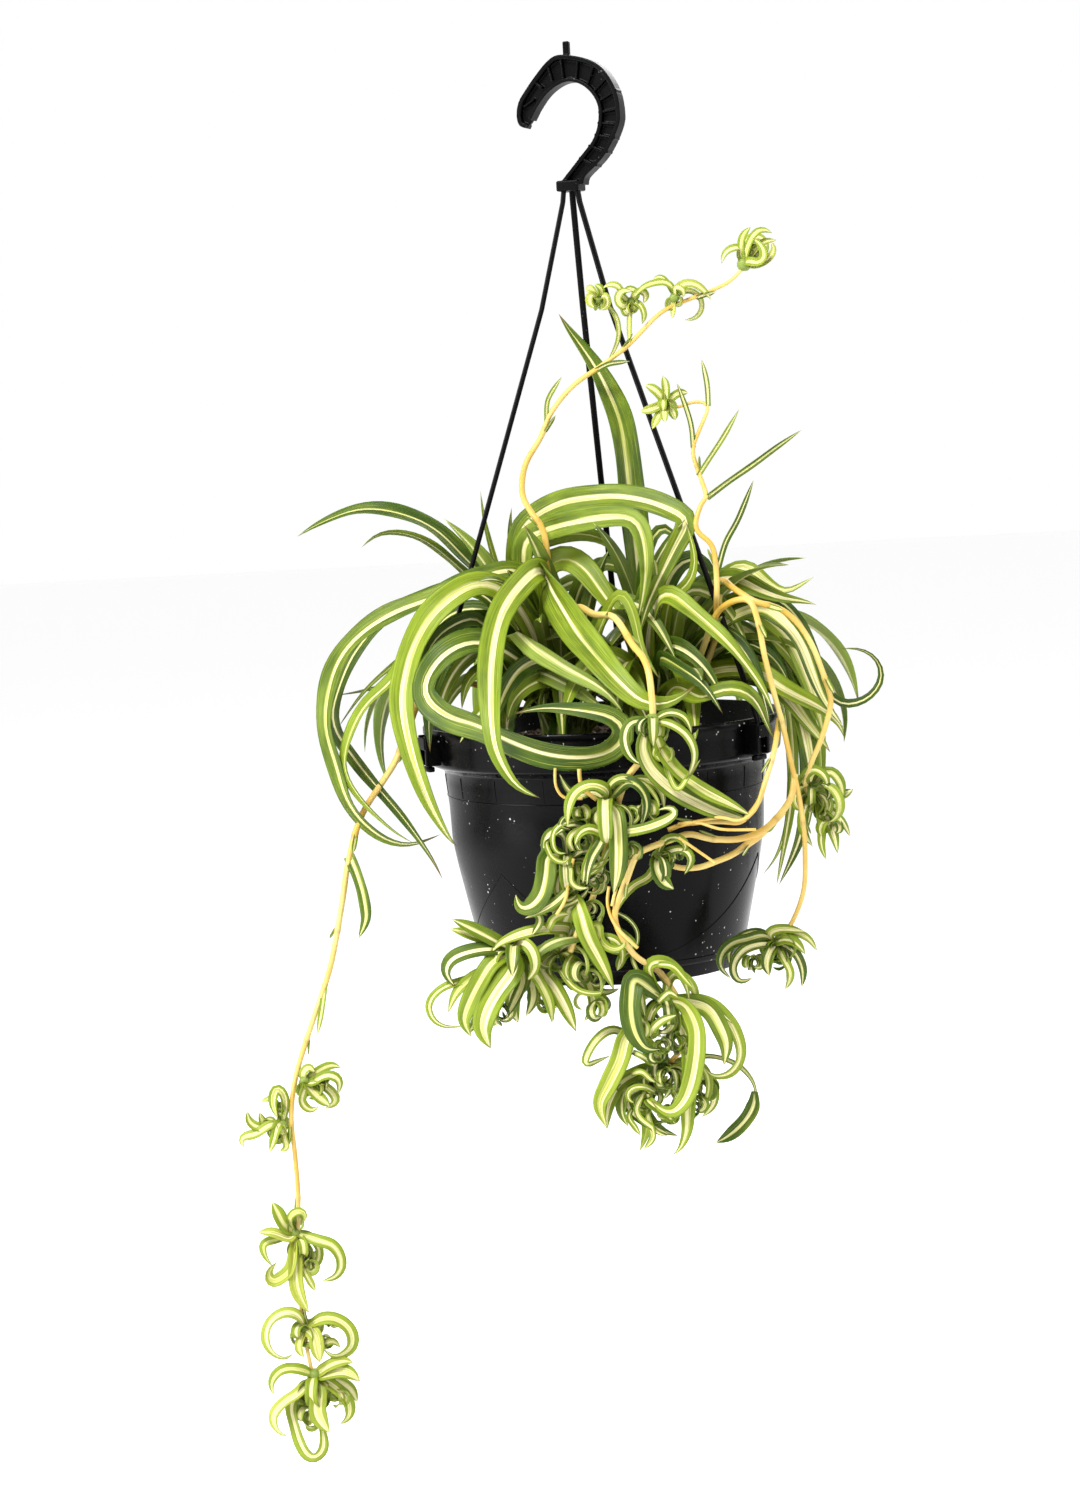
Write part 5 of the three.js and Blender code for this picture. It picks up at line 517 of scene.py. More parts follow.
    Tuft("plantlet_runner_lower", [-166.4, 617, -28], 20, 0, 43, (120, 420), leaf_rows("""
        6 45 45 13: -166 618 -29, -170 610 -33, -177 608.5 -34, -184 613 -34, -186.5 621 -34, -184 628 -34,
          -178 632 -34, -173 629.5 -34;
        7 40 40 12: -166 617 -29, -157 612.5 -33, -149 614 -34, -143.5 620 -34, -144 628 -34, -152 632 -34,
          -158 628 -34;
        7.5 20 15 6: -166 614 -29, -162 620 -34, -161 628 -35, -160 635 -35;
        4.5 40 40 7: -165 620 -29, -160 626 -30, -153 624 -30, -149 628 -30;
        5 30 30 5: -166.5 622 -29, -170 626 -32, -168 632 -32;""")),
    Tuft("plantlet_runner_bottom", [-163, 642, -28], 34, 1, 45, (150, 390), leaf_rows("""
        6 45 45 9: -163 645 -29, -170 638.5 -33, -179 638 -34, -185 644 -34, -184.5 651 -34;
        6.5 40 40 7: -162 645 -29, -155 637 -33, -148 635 -34, -143 636 -34;
        7.5 40 40 7: -162 645 -29, -155 641 -34, -147 640.5 -35, -140 646 -35;
        9 20 10 9: -163 644 -30, -162 652 -35, -163 661 -36, -160 668 -36, -157 672 -36;
        6.5 45 45 11: -163 645 -30, -172 651 -37, -179 655 -38, -185 662 -38, -183 670 -38, -178 673 -38;
        7 35 30 14: -165 646 -29, -175 655 -33, -174 668 -34, -171 679 -34, -166.5 684.5 -34, -161 680 -34,
          -161 670 -34, -164 664 -34;
        6.5 35 35 9: -162 646 -29, -154 648 -31, -147 656 -31, -147 664 -31, -152 668 -31;
        6 30 30 7: -162 645 -28, -152 645 -25, -145 650 -24, -142 657 -24;""")),
]
#: small tightly curled leaves of each plantlet: [where they grow from, longest, how many]
CURLS: dict[str, list[list]] = {
    "plantlet_top_right": [[[87, 84, -28], 14, 6]],
    "plantlet_upper": [[[45.5, 107, -27], 12, 2]],
    "plantlet_bud_right": [[[24, 108, -25], 11, 6]],
    "plantlet_bud_left": [[[8, 106, -24], 8, 6]],
    "plantlet_star": [[[39, 158, -46], 11, 5]],
    "plantlet_front": [[[25, 316, -114], 22, 6], [[30, 330, -118], 14, 4]],
    "plantlets_right": [[[104, 356, -53], 26, 8], [[112, 372, -53], 16, 4]],
    "plantlet_low_right": [[[81, 431, -58], 24, 7], [[70, 438, -62], 13, 4]],
    "plantlet_cascade_top": [[[0, 360, -112], 26, 8], [[-12, 372, -112], 16, 5], [[10, 378, -114], 16, 5],
                             [[18, 358, -112], 16, 4], [[-14, 358, -113], 12, 4]],
    "plantlet_cascade_left": [[[-21, 388, -102], 24, 7], [[-8, 392, -108], 16, 5], [[-30, 402, -102], 18, 5],
                              [[-12, 406, -106], 15, 4]],
    "plantlet_cascade_right": [[[27, 384, -108], 16, 5], [[34, 380, -110], 11, 3]],
    "plantlet_low_left": [[[-52, 431, -99], 32, 9], [[-66, 444, -104], 22, 5], [[-58, 456, -104], 20, 5]],
    "plantlet_low_middle": [[[-28, 431, -94], 28, 8], [[-14, 440, -97], 22, 6], [[-36, 450, -93], 20, 6],
                            [[-4, 424, -104], 12, 5], [[-10, 456, -96], 20, 5]],
    "plantlet_low_front": [[[24, 458, -100], 26, 8], [[14, 468, -103], 16, 5], [[30, 476, -102], 18, 5],
                           [[16, 446, -100], 14, 4], [[22, 478, -104], 15, 5]],
    "plantlet_bottom": [[[22, 490, -85], 30, 9], [[12, 504, -87], 18, 6], [[24, 512, -87], 18, 6],
                        [[42, 500, -80], 18, 5], [[0, 500, -88], 16, 3],
                        [[23.5, 494, -96], 20, 6], [[36, 510, -84], 18, 5], [[18, 483, -100], 16, 4]],
    "plantlet_runner_right": [[[-157, 491, -29], 16, 10], [[-151, 487, -29], 11, 4]],
    "plantlet_runner_left": [[[-175, 511, -30], 16, 10], [[-171, 500, -29], 11, 5]],
    "plantlet_runner_upper": [[[-168, 572, -28], 22, 10], [[-170, 558, -28], 14, 5],
                              [[-163, 582, -29], 16, 6]],
    "plantlet_runner_lower": [[[-166, 617, -28], 20, 9], [[-154, 612, -29], 13, 5],
                              [[-158, 622, -29], 14, 4]],
    "plantlet_runner_bottom": [[[-163, 646, -28], 28, 12], [[-166, 660, -31], 18, 6],
                               [[-152, 650, -30], 16, 6], [[-174, 650, -29], 15, 5]],
}
#: pieces of the photograph that strokes were traced on: left and top edge, enlargement
MIDDLE_PIECE = Tracing(470, 770, 6.0)
LOW_PIECE = Tracing(580, 960, 1286 / 180)
WIDE_PIECE = Tracing(380, 690, 3 / 1.205)
#: single curls of each plantlet
STRANDS: dict[str, Strokes] = {
    "plantlet_cascade_top": Strokes(-116, MIDDLE_PIECE, [
        (2.5, "850,110 880,75 950,65 1030,75 1090,130 1130,200 1130,240"),
        (3, "960,60 1040,100 1050,180 1035,250 1030,330"),
        (2, "930,240 980,220 1020,260 1000,310 930,320 905,290"),
        (2.5, "1030,90 1060,200 1080,270 1110,300 1180,300 1240,270"),
        (2.5, "640,300 560,320 520,350 490,400 500,460 530,500 580,500"),
        (2.5, "470,420 445,440 460,470 490,530 560,560 600,520"),
        (3, "620,480 590,420 620,380 680,350 760,330"),
        (2, "600,350 545,330 560,290 610,270"),
        (3.5, "780,400 760,430 720,520 690,600 680,680"),
        (3, "870,420 830,470 800,540 770,600 700,640"),
        (2, "870,440 920,440 960,470 980,510 960,540 910,520"),
        (3, "700,560 740,580 790,560 840,530"),
        (3, "590,560 600,600 610,680 650,710 710,700"),
    ]),
    "plantlet_cascade_left": Strokes(-108, MIDDLE_PIECE, [
        (3, "480,730 520,750 530,790 490,830 430,840"),
        (4, "470,960 480,920 500,890 540,870 600,870"),
        (3, "500,860 560,820 620,790 680,750 720,700"),
        (4, "320,840 390,850 420,900 400,940 370,1000"),
        (3, "640,560 650,620 700,650 740,640"),
    ]),
    "plantlet_low_middle": Strokes(-104, MIDDLE_PIECE, [
        (2, "850,840 890,860 950,890 1000,960 1005,1030 980,1080 920,1100"),
        (3, "790,860 760,950 790,1030 840,1080 900,1100 960,1080"),
        (4, "900,960 950,1000 980,1050 940,1070 880,1040"),
        (4.5, "960,1080 920,1110 900,1150 880,1210"),
        (3, "540,1200 590,1270 650,1320 740,1340 830,1330"),
        (3, "620,1110 580,1160 570,1220 600,1270"),
        (2, "970,1090 980,1140 1020,1220 1070,1290"),
    ]),
    "plantlet_low_front": Strokes(-112, LOW_PIECE, [
        (3, "380,200 430,230 440,300 460,400"),
        (3, "560,300 600,250 640,230 700,260"),
        (4, "500,540 520,480 600,420 690,390"),
        (3.5, "560,40 660,40 740,120 810,200"),
        (3, "440,420 480,470 470,540 430,580"),
    ]),
    "plantlet_bottom": Strokes(-98, LOW_PIECE, [
        (3, "380,660 440,680 500,720 540,760"),
        (3, "370,810 440,800 500,850 540,880"),
        (3, "530,940 460,910 380,910 340,950 350,1010 400,1020"),
        (3, "460,930 420,1000 400,1060 430,1130 500,1180 560,1230 640,1260"),
        (5, "480,990 500,1010 560,1050 620,1110 680,1170"),
        (3, "370,1060 350,1120 390,1190 440,1250"),
        (3.5, "480,1100 500,1180 520,1270 450,1360"),
        (3, "540,880 570,900 620,880 640,930 600,1000"),
        (4, "650,900 700,1000 680,1100 640,1140 560,1130"),
    ]),
}
#: thin side stems of a runner
TWIGS: dict[str, Strokes] = {
    "runner_front": Strokes(-110, WIDE_PIECE, [
        (0.7, "435,196 437,240 460,270 505,272"),
        (1.0, "497,198 505,240 540,275"),
    ]),
    "runner_low_thin": Strokes(-113, WIDE_PIECE, [
        (0.8, "952,247 935,300 895,325 840,318 745,335"),
        (0.7, "935,350 850,345 790,330 740,335"),
    ]),
    "runner_low_middle": Strokes(-115, WIDE_PIECE, [
        (0.7, "745,365 790,400 835,432"),
        (0.8, "640,392 612,440 592,490 575,540"),
    ]),
    "runner_low_thick": Strokes(-112, WIDE_PIECE, [
        (0.8, "570,490 566,540 592,590 640,645"),
        (0.8, "480,420 470,470 462,520 440,560"),
    ]),
}


# ------------------------------------------------------------------------------------ lines in space
class Seeded:
    """Small seeded generator, the same as the part's source uses."""

    def __init__(self, seed: int) -> None:
        """Starts the sequence at `seed`."""
        self.state = seed & 0xFFFFFFFF

    def __call__(self) -> float:
        """Next number from 0 to 1."""
        self.state = (self.state + 0x6D2B79F5) & 0xFFFFFFFF
        t = self.state
        t = ((t ^ (t >> 15)) * (t | 1)) & 0xFFFFFFFF
        t ^= (t + (((t ^ (t >> 7)) * (t | 61)) & 0xFFFFFFFF)) & 0xFFFFFFFF
        return ((t ^ (t >> 14)) & 0xFFFFFFFF) / 4294967296

    def between(self, low: float, high: float) -> float:
        """Next number from `low` to `high`."""
        return low + (high - low) * self()


def place(point: Sequence[float]) -> Vector:
    """True position of a point given as [x, depth, y] on the plane of the pot's axis."""
    k = 1 - point[2] / EYE.y
    return Vector((EYE.x + (point[0] - EYE.x) * k, point[2], EYE.z + (-point[1] - EYE.z) * k))


def resample(line: Sequence[Vector], count: int) -> list[Vector]:
    """Spreads points evenly along a polyline.

    Args:
        line: the polyline.
        count: number of steps.

    Returns:
        count + 1 points.
    """
    at = [0.0]
    for a, b in zip(line, line[1:]):
        at.append(at[-1] + (b - a).length)
    out, k = [], 0
    for i in range(count + 1):
        s = at[-1] * i / count
        while k < len(at) - 2 and at[k + 1] < s:
            k += 1
        out.append(line[k].lerp(line[k + 1], (s - at[k]) / max(at[k + 1] - at[k], 1e-9)))
    return out


def rounded(points: Sequence[Vector], fine: int) -> list[Vector]:
    """Catmull-Rom curve through points, with `fine` steps from each to the next."""
    line, last = [], len(points) - 1
    for i in range(last):
        p0, p1, p2, p3 = points[max(i - 1, 0)], points[i], points[i + 1], points[min(i + 2, last)]
        for j in range(fine):
            t = j / fine
            line.append(0.5 * ((-t**3 + 2 * t**2 - t) * p0 + (3 * t**3 - 5 * t**2 + 2) * p1
                               + (-3 * t**3 + 4 * t**2 + t) * p2 + (t**3 - t**2) * p3))
    return line + [points[-1].copy()]


def length_of(line: Sequence[Vector]) -> float:
    """Length of a polyline."""
    return sum((b - a).length for a, b in zip(line, line[1:]))


def spokes(azimuth: float) -> tuple[Vector, Vector]:
    """Level directions outward and sideways at an azimuth in degrees."""
    a = math.radians(azimuth)
    return Vector((math.cos(a), math.sin(a), 0)), Vector((-math.sin(a), math.cos(a), 0))


def circle(radius: float, z: float, count: int) -> list[Vector]:
    """Points evenly spread round the Z axis."""
    turns = (TURN * j / count for j in range(count))
    return [Vector((radius * math.cos(q), radius * math.sin(q), z)) for q in turns]


def linked(name: str, data: bpy.types.ID) -> bpy.types.Object:
    """Makes an object of some data in the scene."""
    made = bpy.data.objects.new(name, data)
    bpy.context.scene.collection.objects.link(made)
    return made


def spine(points: Sequence[Sequence[float]], count: int, fine: int = 12) -> list[Vector]:
    """Curve through points given as [x, depth, y], in `count` even steps."""
    return resample(rounded([place(p) for p in points], fine), count)


def tangent(line: Sequence[Vector], i: int) -> Vector:
    """Direction of a polyline at its i-th point."""
    return (line[min(i + 1, len(line) - 1)] - line[max(i - 1, 0)]).normalized()


def pot_radius(z: float) -> float:
    """Radius of the pot's outside at height z, 0 above the rim and under the foot."""
    if z > RIM_Z + 2 or z < POT_OUTER[0][1] - 3.5:
        return 0.0
    for (r0, z0), (r1, z1) in zip(POT_OUTER, POT_OUTER[1:]):
        if z <= z1:
            return r0 + (r1 - r0) * max(0.0, (z - z0) / (z1 - z0))
    return RIM_R


def clear_pot(line: list[Vector], room: float) -> list[Vector]:
    """Bends a line clear of the pot's outside: forward in front of it, else outward."""
    for p in line:
        need, r = pot_radius(p.z) + room, math.hypot(p.x, p.y)
        if need <= room or r >= need or r < 60:
            continue
        if p.y < 0 and abs(p.x) < 0.8 * need:
            p.y = -math.sqrt(need * need - p.x * p.x)
        else:
            p.x, p.y = p.x * need / r, p.y * need / r
    return line


def eased(line: list[Vector], passes: int = 2) -> list[Vector]:
    """Smooths a line's corners and keeps its ends."""
    for _ in range(passes):
        line = [line[0]] + [(a + 2 * b + c) / 4 for a, b, c in zip(line, line[1:], line[2:])] + [line[-1]]
    return line


# ---------------------------------------------------------------------------------------- meshes
class MeshDraft:
    """Vertices, faces and per-vertex values of one piece, gathered in millimetres."""

    LAYERS = ("across", "along", "run", "face", "tone", "stripe", "dry")

    def __init__(self) -> None:
        """Starts empty."""
        self.points: list[Vector] = []
        self.faces: list[tuple[int, ...]] = []
        self.values: dict[str, list[float]] = {name: [] for name in self.LAYERS}
        self.slots: list[int] = []

    def point(self, p: Vector, **values: float) -> int:
        """Adds a vertex with its values and returns its number."""
        self.points.append(p)
        for name in self.LAYERS:
            self.values[name].append(values.get(name, 0.0))
        return len(self.points) - 1

    def face(self, *corners: int, slot: int = 0) -> None:
        """Adds a face, its corners counter-clockwise from outside."""
        self.faces.append(corners)
        self.slots.append(slot)

    def tube(self, rings: Sequence[Sequence[int]], closed: bool = True, slot: int = 0) -> None:
        """Joins rings of vertices into a skin.

        Args:
            rings: vertex numbers, each ring counter-clockwise seen from the far end.
            closed: caps both ends.
            slot: material number of the skin.
        """
        n = len(rings[0])
        for low, high in zip(rings, rings[1:]):
            for j in range(n):
                k = (j + 1) % n
                self.face(low[j], low[k], high[k], high[j], slot=slot)
        if closed:
            self.face(*reversed(rings[0]), slot=slot)
            self.face(*rings[-1], slot=slot)

    def loft(self, line: Sequence[Vector], radii: Sequence[float], sides: int = 10, **values: float) -> None:
        """Adds a round tube with its own radius at each point of a line."""
        side = Vector((0, -1, 0.2)).normalized()
        rings, run = [], 0.0
        for i, p in enumerate(line):
            t = tangent(line, i)
            side = (side - t * side.dot(t)).normalized()
            up = t.cross(side)
            run += (p - line[i - 1]).length if i else 0.0
            ring = []
            for j in range(sides):
                q = TURN * j / sides
                own = {"along": i / (len(line) - 1), "run": run, "across": q / math.pi - 1, **values}
                ring.append(self.point(p + radii[i] * (math.cos(q) * side + math.sin(q) * up), **own))
            rings.append(ring)
        self.tube(rings)

    def build(self, name: str, *materials: bpy.types.Material, smooth: bool = True) -> bpy.types.Object:
        """Makes the Blender object, in metres.

        Args:
            name: the object's name.
            materials: one for each slot number used.
            smooth: shades the faces smooth.

        Returns:
            The object, linked to the scene.
        """
        mesh = bpy.data.meshes.new(name)
        mesh.from_pydata([p * MM for p in self.points], [], self.faces)
        for layer, numbers in self.values.items():
            if any(numbers):
                mesh.attributes.new(layer, "FLOAT", "POINT").data.foreach_set("value", numbers)
        for material in materials:
            mesh.materials.append(material)
        mesh.polygons.foreach_set("material_index", self.slots)
        mesh.polygons.foreach_set("use_smooth", [smooth] * len(self.faces))
        mesh.update()
        return linked(name, mesh)

    def ring(self, points: Sequence[Vector], **values: float) -> list[int]:
        """Adds vertices with the same values and returns their numbers."""
        return [self.point(p, **values) for p in points]


def applied(made: bpy.types.Object) -> bpy.types.Object:
    """Turns an object's modifiers into its mesh."""
    depsgraph = bpy.context.evaluated_depsgraph_get()
    mesh = bpy.data.meshes.new_from_object(made.evaluated_get(depsgraph), depsgraph=depsgraph)
    made.modifiers.clear()
    made.data = mesh
    return made


def dress(made: bpy.types.Object, slot: str, *nodes: str) -> bpy.types.Object:
    """Lets a piece ride on the plant and stand for its CAD nodes."""
    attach(made, "root")
    if nodes:
        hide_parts(*nodes)
    log.info("%s: %d faces", made.name, len(made.data.polygons))
    return made


# -------------------------------------------------------------------------------------- finishes
class Shader:
    """A Principled material that is being wired up."""

    def __init__(self, name: str) -> None:
        """Makes the material with its shader and output."""
        self.material = bpy.data.materials.new(name)
        self.material.use_nodes = True
        self.tree = self.material.node_tree
        self.surface = self.tree.nodes["Principled BSDF"]

    def node(self, kind: str, **settings: object) -> bpy.types.Node:
        """Adds a node with the given settings."""
        made = self.tree.nodes.new(kind)
        for name, value in settings.items():
            setattr(made, name, value)
        return made

    def link(self, out: bpy.types.NodeSocket, into: bpy.types.NodeSocket) -> None:
        """Joins two sockets."""
        self.tree.links.new(out, into)

    def feed(self, socket: bpy.types.NodeSocket, value: object) -> None:
        """Links a socket or sets it to a plain value."""
        if isinstance(value, bpy.types.NodeSocket):
            self.link(value, socket)
        elif isinstance(value, tuple) and len(value) == 3 and len(socket.default_value) == 4:
            socket.default_value = (*value, 1.0)
        else:
            socket.default_value = value

    def attribute(self, name: str) -> bpy.types.NodeSocket:
        """Reads one of the mesh's own values."""
        return self.node("ShaderNodeAttribute", attribute_name=name).outputs["Fac"]

    def math(self, operation: str, a: object, b: object = 0.0) -> bpy.types.NodeSocket:
        """One sum; the result isn't clamped."""
        made = self.node("ShaderNodeMath", operation=operation)
        self.feed(made.inputs[0], a)
        self.feed(made.inputs[1], b)
        return made.outputs[0]

    def step(self, value: object, low: object, high: object, to_low: float = 0.0,
             to_high: float = 1.0) -> bpy.types.NodeSocket:
        """Smooth step of a value from `low` to `high`."""
        made = self.node("ShaderNodeMapRange", interpolation_type="SMOOTHSTEP")
        for i, v in enumerate((value, low, high, to_low, to_high)):
            self.feed(made.inputs[i], v)
        return made.outputs[0]

    def mix(self, share: object, a: object, b: object, blend: str = "MIX") -> bpy.types.NodeSocket:
        """Mixes two colours."""
        made = self.node("ShaderNodeMix", data_type="RGBA", blend_type=blend)
        self.feed(made.inputs[0], share)
        self.feed(made.inputs[6], a)
        self.feed(made.inputs[7], b)
        return made.outputs[2]

    def vector(self, x: object, y: object, z: object = 0.0) -> bpy.types.NodeSocket:
        """Builds a vector from three values."""
        made = self.node("ShaderNodeCombineXYZ")
        for i, v in enumerate((x, y, z)):
            self.feed(made.inputs[i], v)
        return made.outputs[0]

    def noise(self, at: object, scale: float, detail: float = 2.0,
              rough: float = 0.5) -> bpy.types.NodeSocket:
        """Noise from 0 to 1 at a vector."""
        made = self.node("ShaderNodeTexNoise")
        for name, value in (("Vector", at), ("Scale", scale), ("Detail", detail), ("Roughness", rough)):
            self.feed(made.inputs[name], value)
        return made.outputs["Fac"]

    def place(self) -> bpy.types.NodeSocket:
        """The point in the object's own coordinates, in metres."""
        return self.node("ShaderNodeTexCoord").outputs["Object"]

    def bump(self, height: object, depth: float, strength: float = 0.5) -> None:
        """Gives the surface a bump of `depth` metres."""
        made = self.node("ShaderNodeBump")
        for name, value in (("Strength", strength), ("Distance", depth), ("Height", height)):
            self.feed(made.inputs[name], value)
        self.link(made.outputs[0], self.surface.inputs["Normal"])

    def times(self, a: object, b: object) -> bpy.types.NodeSocket:
        """Product of two values."""
        return self.math("MULTIPLY", a, b)

    def plus(self, a: object, b: object) -> bpy.types.NodeSocket:
        """Sum of two values."""
        return self.math("ADD", a, b)

    def swing(self, a: object, reach: float) -> bpy.types.NodeSocket:
        """Noise from 0 to 1 turned into one of `reach` in all, round 0."""
        return self.times(self.math("SUBTRACT", a, 0.5), reach)

    def grain(self, across: object, run: object, wide: float, long: float, seed: object,
              detail: float = 2.0) -> bpy.types.NodeSocket:
        """Noise drawn out along a leaf or stem, `wide` cycles across and `long` a millimetre along."""
        return self.noise(self.vector(self.times(across, wide), self.times(run, long), seed), 1.0, detail)

    def give(self, **values: object) -> None:
        """Links or sets the surface's own sockets, named with _ for each space."""
        for name, value in values.items():
            self.feed(self.surface.inputs[name.replace("_", " ")], value)


@dataclass(frozen=True)
class LeafFinish:
    """Striped living leaf: green margins beside a cream middle, fine veins, dry tips."""

    name: str = "leaf_skin"
    lime: Colour = (0.150, 0.205, 0.009)
    deep: Colour = (0.022, 0.048, 0.002)
    cream: Colour = (0.640, 0.580, 0.330)
    yellow: Colour = (0.320, 0.340, 0.048)
    dead: Colour = (0.090, 0.045, 0.015)
    under: Colour = (0.180, 0.235, 0.050)

    def make(self) -> bpy.types.Material:
        """Wires the material."""
        s = Shader(self.name)
        across, along, run = s.attribute("across"), s.attribute("along"), s.attribute("run")
        tone, stripe, dry = s.attribute("tone"), s.attribute("stripe"), s.attribute("dry")
        seed = s.times(tone, 53.0)
        streak = s.grain(across, run, 4.5, 0.018, seed, 3.0)
        veins = s.grain(across, run, 26.0, 0.03, seed)
        patch = s.grain(across, run, 1.2, 0.05, seed)
        from_rib = s.math("ABSOLUTE", across)
        edge = s.plus(from_rib, s.swing(streak, 0.34))
        green = s.mix(s.step(s.plus(tone, s.swing(patch, 0.8)), 0.1, 0.95), self.deep, self.lime)
        green = s.mix(s.step(tone, 0.95, 1.6, 0.0, 0.8), green, self.yellow)
        middle = s.mix(s.step(streak, 0.35, 0.7), self.cream, self.yellow)
        colour = s.mix(s.step(edge, s.plus(stripe, -0.06), s.plus(stripe, 0.07)), middle, green)
        # thin pale lines and thin dark ones run along the whole leaf
        colour = s.mix(s.step(veins, 0.60, 0.68, 0.0, 0.5), colour, self.yellow)
        colour = s.mix(s.step(veins, 0.44, 0.36, 0.0, 0.5), colour, self.deep)
        colour = s.mix(s.times(s.math("SUBTRACT", 1.0, s.attribute("face")), 0.35), colour, self.under)
        colour = s.mix(s.step(from_rib, 0.88, 1.0, 0.0, 0.35), colour, self.deep)
        colour = s.mix(s.step(along, 0.0, 0.06, 0.5, 0.0), colour, self.under)
        ragged = s.plus(along, s.swing(veins, 0.03))
        dead = s.step(ragged, s.math("SUBTRACT", 1.0, s.times(dry, 0.07)), 1.0)
        s.give(Base_Color=s.mix(dead, colour, self.dead), Roughness=s.step(dead, 0.0, 1.0, 0.40, 0.85),
               Specular_IOR_Level=0.18, Subsurface_Weight=0.12, Subsurface_Radius=(0.6, 1.0, 0.2),
               Subsurface_Scale=0.002)
        s.bump(veins, 0.0004)
        return s.material


@dataclass(frozen=True)
class RunnerFinish:
    """Golden stem, paler in places, with brown scars at its nodes."""

    name: str = "runner_skin"
    gold: Colour = (0.420, 0.255, 0.028)
    pale: Colour = (0.520, 0.405, 0.120)
    scar: Colour = (0.200, 0.085, 0.020)

    def make(self) -> bpy.types.Material:
        """Wires the material."""
        s = Shader(self.name)
        run, across, seed = s.attribute("run"), s.attribute("across"), s.times(s.attribute("tone"), 31.0)
        slow = s.noise(s.vector(s.times(run, 0.03), seed), 1.0)
        grain = s.grain(across, run, 9.0, 0.12, seed, 3.0)
        colour = s.mix(s.step(slow, 0.35, 0.7), self.gold, self.pale)
        colour = s.mix(s.step(grain, 0.62, 0.8, 0.0, 0.35), colour, self.scar)
        s.give(Base_Color=s.mix(s.times(s.attribute("dry"), 0.4), colour, self.scar), Roughness=0.42,
               Subsurface_Weight=0.1, Subsurface_Radius=(1.0, 0.5, 0.15), Subsurface_Scale=0.0015)
        s.bump(grain, 0.0003)
        return s.material


@dataclass(frozen=True)
class PlasticFinish:
    """Black moulded plastic under a little dust, dried drops and handling marks."""

    name: str
    dusty: float = 1.0
    rough: float = 0.13
    black: Colour = (0.0010, 0.0010, 0.0011)
    grey: Colour = (0.006, 0.006, 0.0062)
    dust: Colour = (0.42, 0.41, 0.39)

    def make(self) -> bpy.types.Material:
        """Wires the material."""
        s = Shader(self.name)
        at = s.place()
        cloud, fine = s.noise(at, 14.0, 4.0, 0.6), s.noise(at, 900.0)
        speck = s.node("ShaderNodeTexVoronoi", feature="F1")
        s.feed(speck.inputs["Vector"], at)
        s.feed(speck.inputs["Scale"], 300.0)
        size = s.step(s.noise(at, 90.0, 1.0), 0.36, 0.75, 0.0, 0.20)
        dot = s.step(speck.outputs["Distance"], size, s.times(size, 0.5))
        dot = s.times(dot, s.step(cloud, 0.34, 0.56, 0.2, 1.0))
        colour = s.mix(s.step(cloud, 0.40, 0.85, 0.0, 0.22 * self.dusty), self.black, self.grey)
        worn = s.step(s.plus(cloud, s.times(fine, 0.2)), 0.3, 0.9, self.rough, self.rough + 0.22)
        s.give(Base_Color=s.mix(s.times(dot, 0.8 * self.dusty), colour, self.dust), Roughness=worn,
               Specular_IOR_Level=0.06)
        s.bump(s.plus(fine, s.times(dot, 0.5)), 0.00012)
        return s.material


@dataclass(frozen=True)
class SoilFinish:
    """Dark moist peat with lighter bark and a few pale grains."""

    name: str = "potting_mix_crumb"
    dark: Colour = (0.016, 0.010, 0.006)
    brown: Colour = (0.090, 0.048, 0.024)
    grain: Colour = (0.55, 0.52, 0.46)

    def make(self) -> bpy.types.Material:
        """Wires the material."""
        s = Shader(self.name)
        at = s.place()
        lumps, fine = s.noise(at, 160.0, 4.0, 0.65), s.noise(at, 700.0, 3.0, 0.6)
        colour = s.mix(s.step(lumps, 0.35, 0.7), self.dark, self.brown)
        s.give(Base_Color=s.mix(s.step(s.attribute("tone"), 0.90, 0.95), colour, self.grain), Roughness=0.92,
               Specular_IOR_Level=0.25)
        s.bump(s.plus(lumps, s.times(fine, 0.4)), 0.0012, 0.8)
        return s.material


# ---------------------------------------------------------------------------------------- leaves
class LeafKind(Enum):
    """Leaves that look alike.

    Each has the stripe's least and greatest half width, the least and greatest tone, the foot's
    share of the width and the millimetres between a fine line's points.
    """

    MOTHER = (0.08, 0.24, 0.0, 0.85, 0.6, 4.0)
    # broad cream stripes, which are the leaves' own, and a lighter green, which is painted light against the
    # shade on the plant's right side
    CREAMY_PAINTED_LIGHT = (0.28, 0.52, 0.30, 1.0, 0.6, 4.0)
    PLANTLET = (0.20, 0.46, 0.20, 1.15, 0.45, 1.8)
    PALE = (0.28, 0.50, 0.95, 1.5, 0.45, 1.8)

    @property
    def foot(self) -> float:
        """Share of the width at a leaf's foot."""
        return self.value[4]

    @property
    def grain(self) -> float:
        """Millimetres between a fine line's points."""
        return self.value[5]


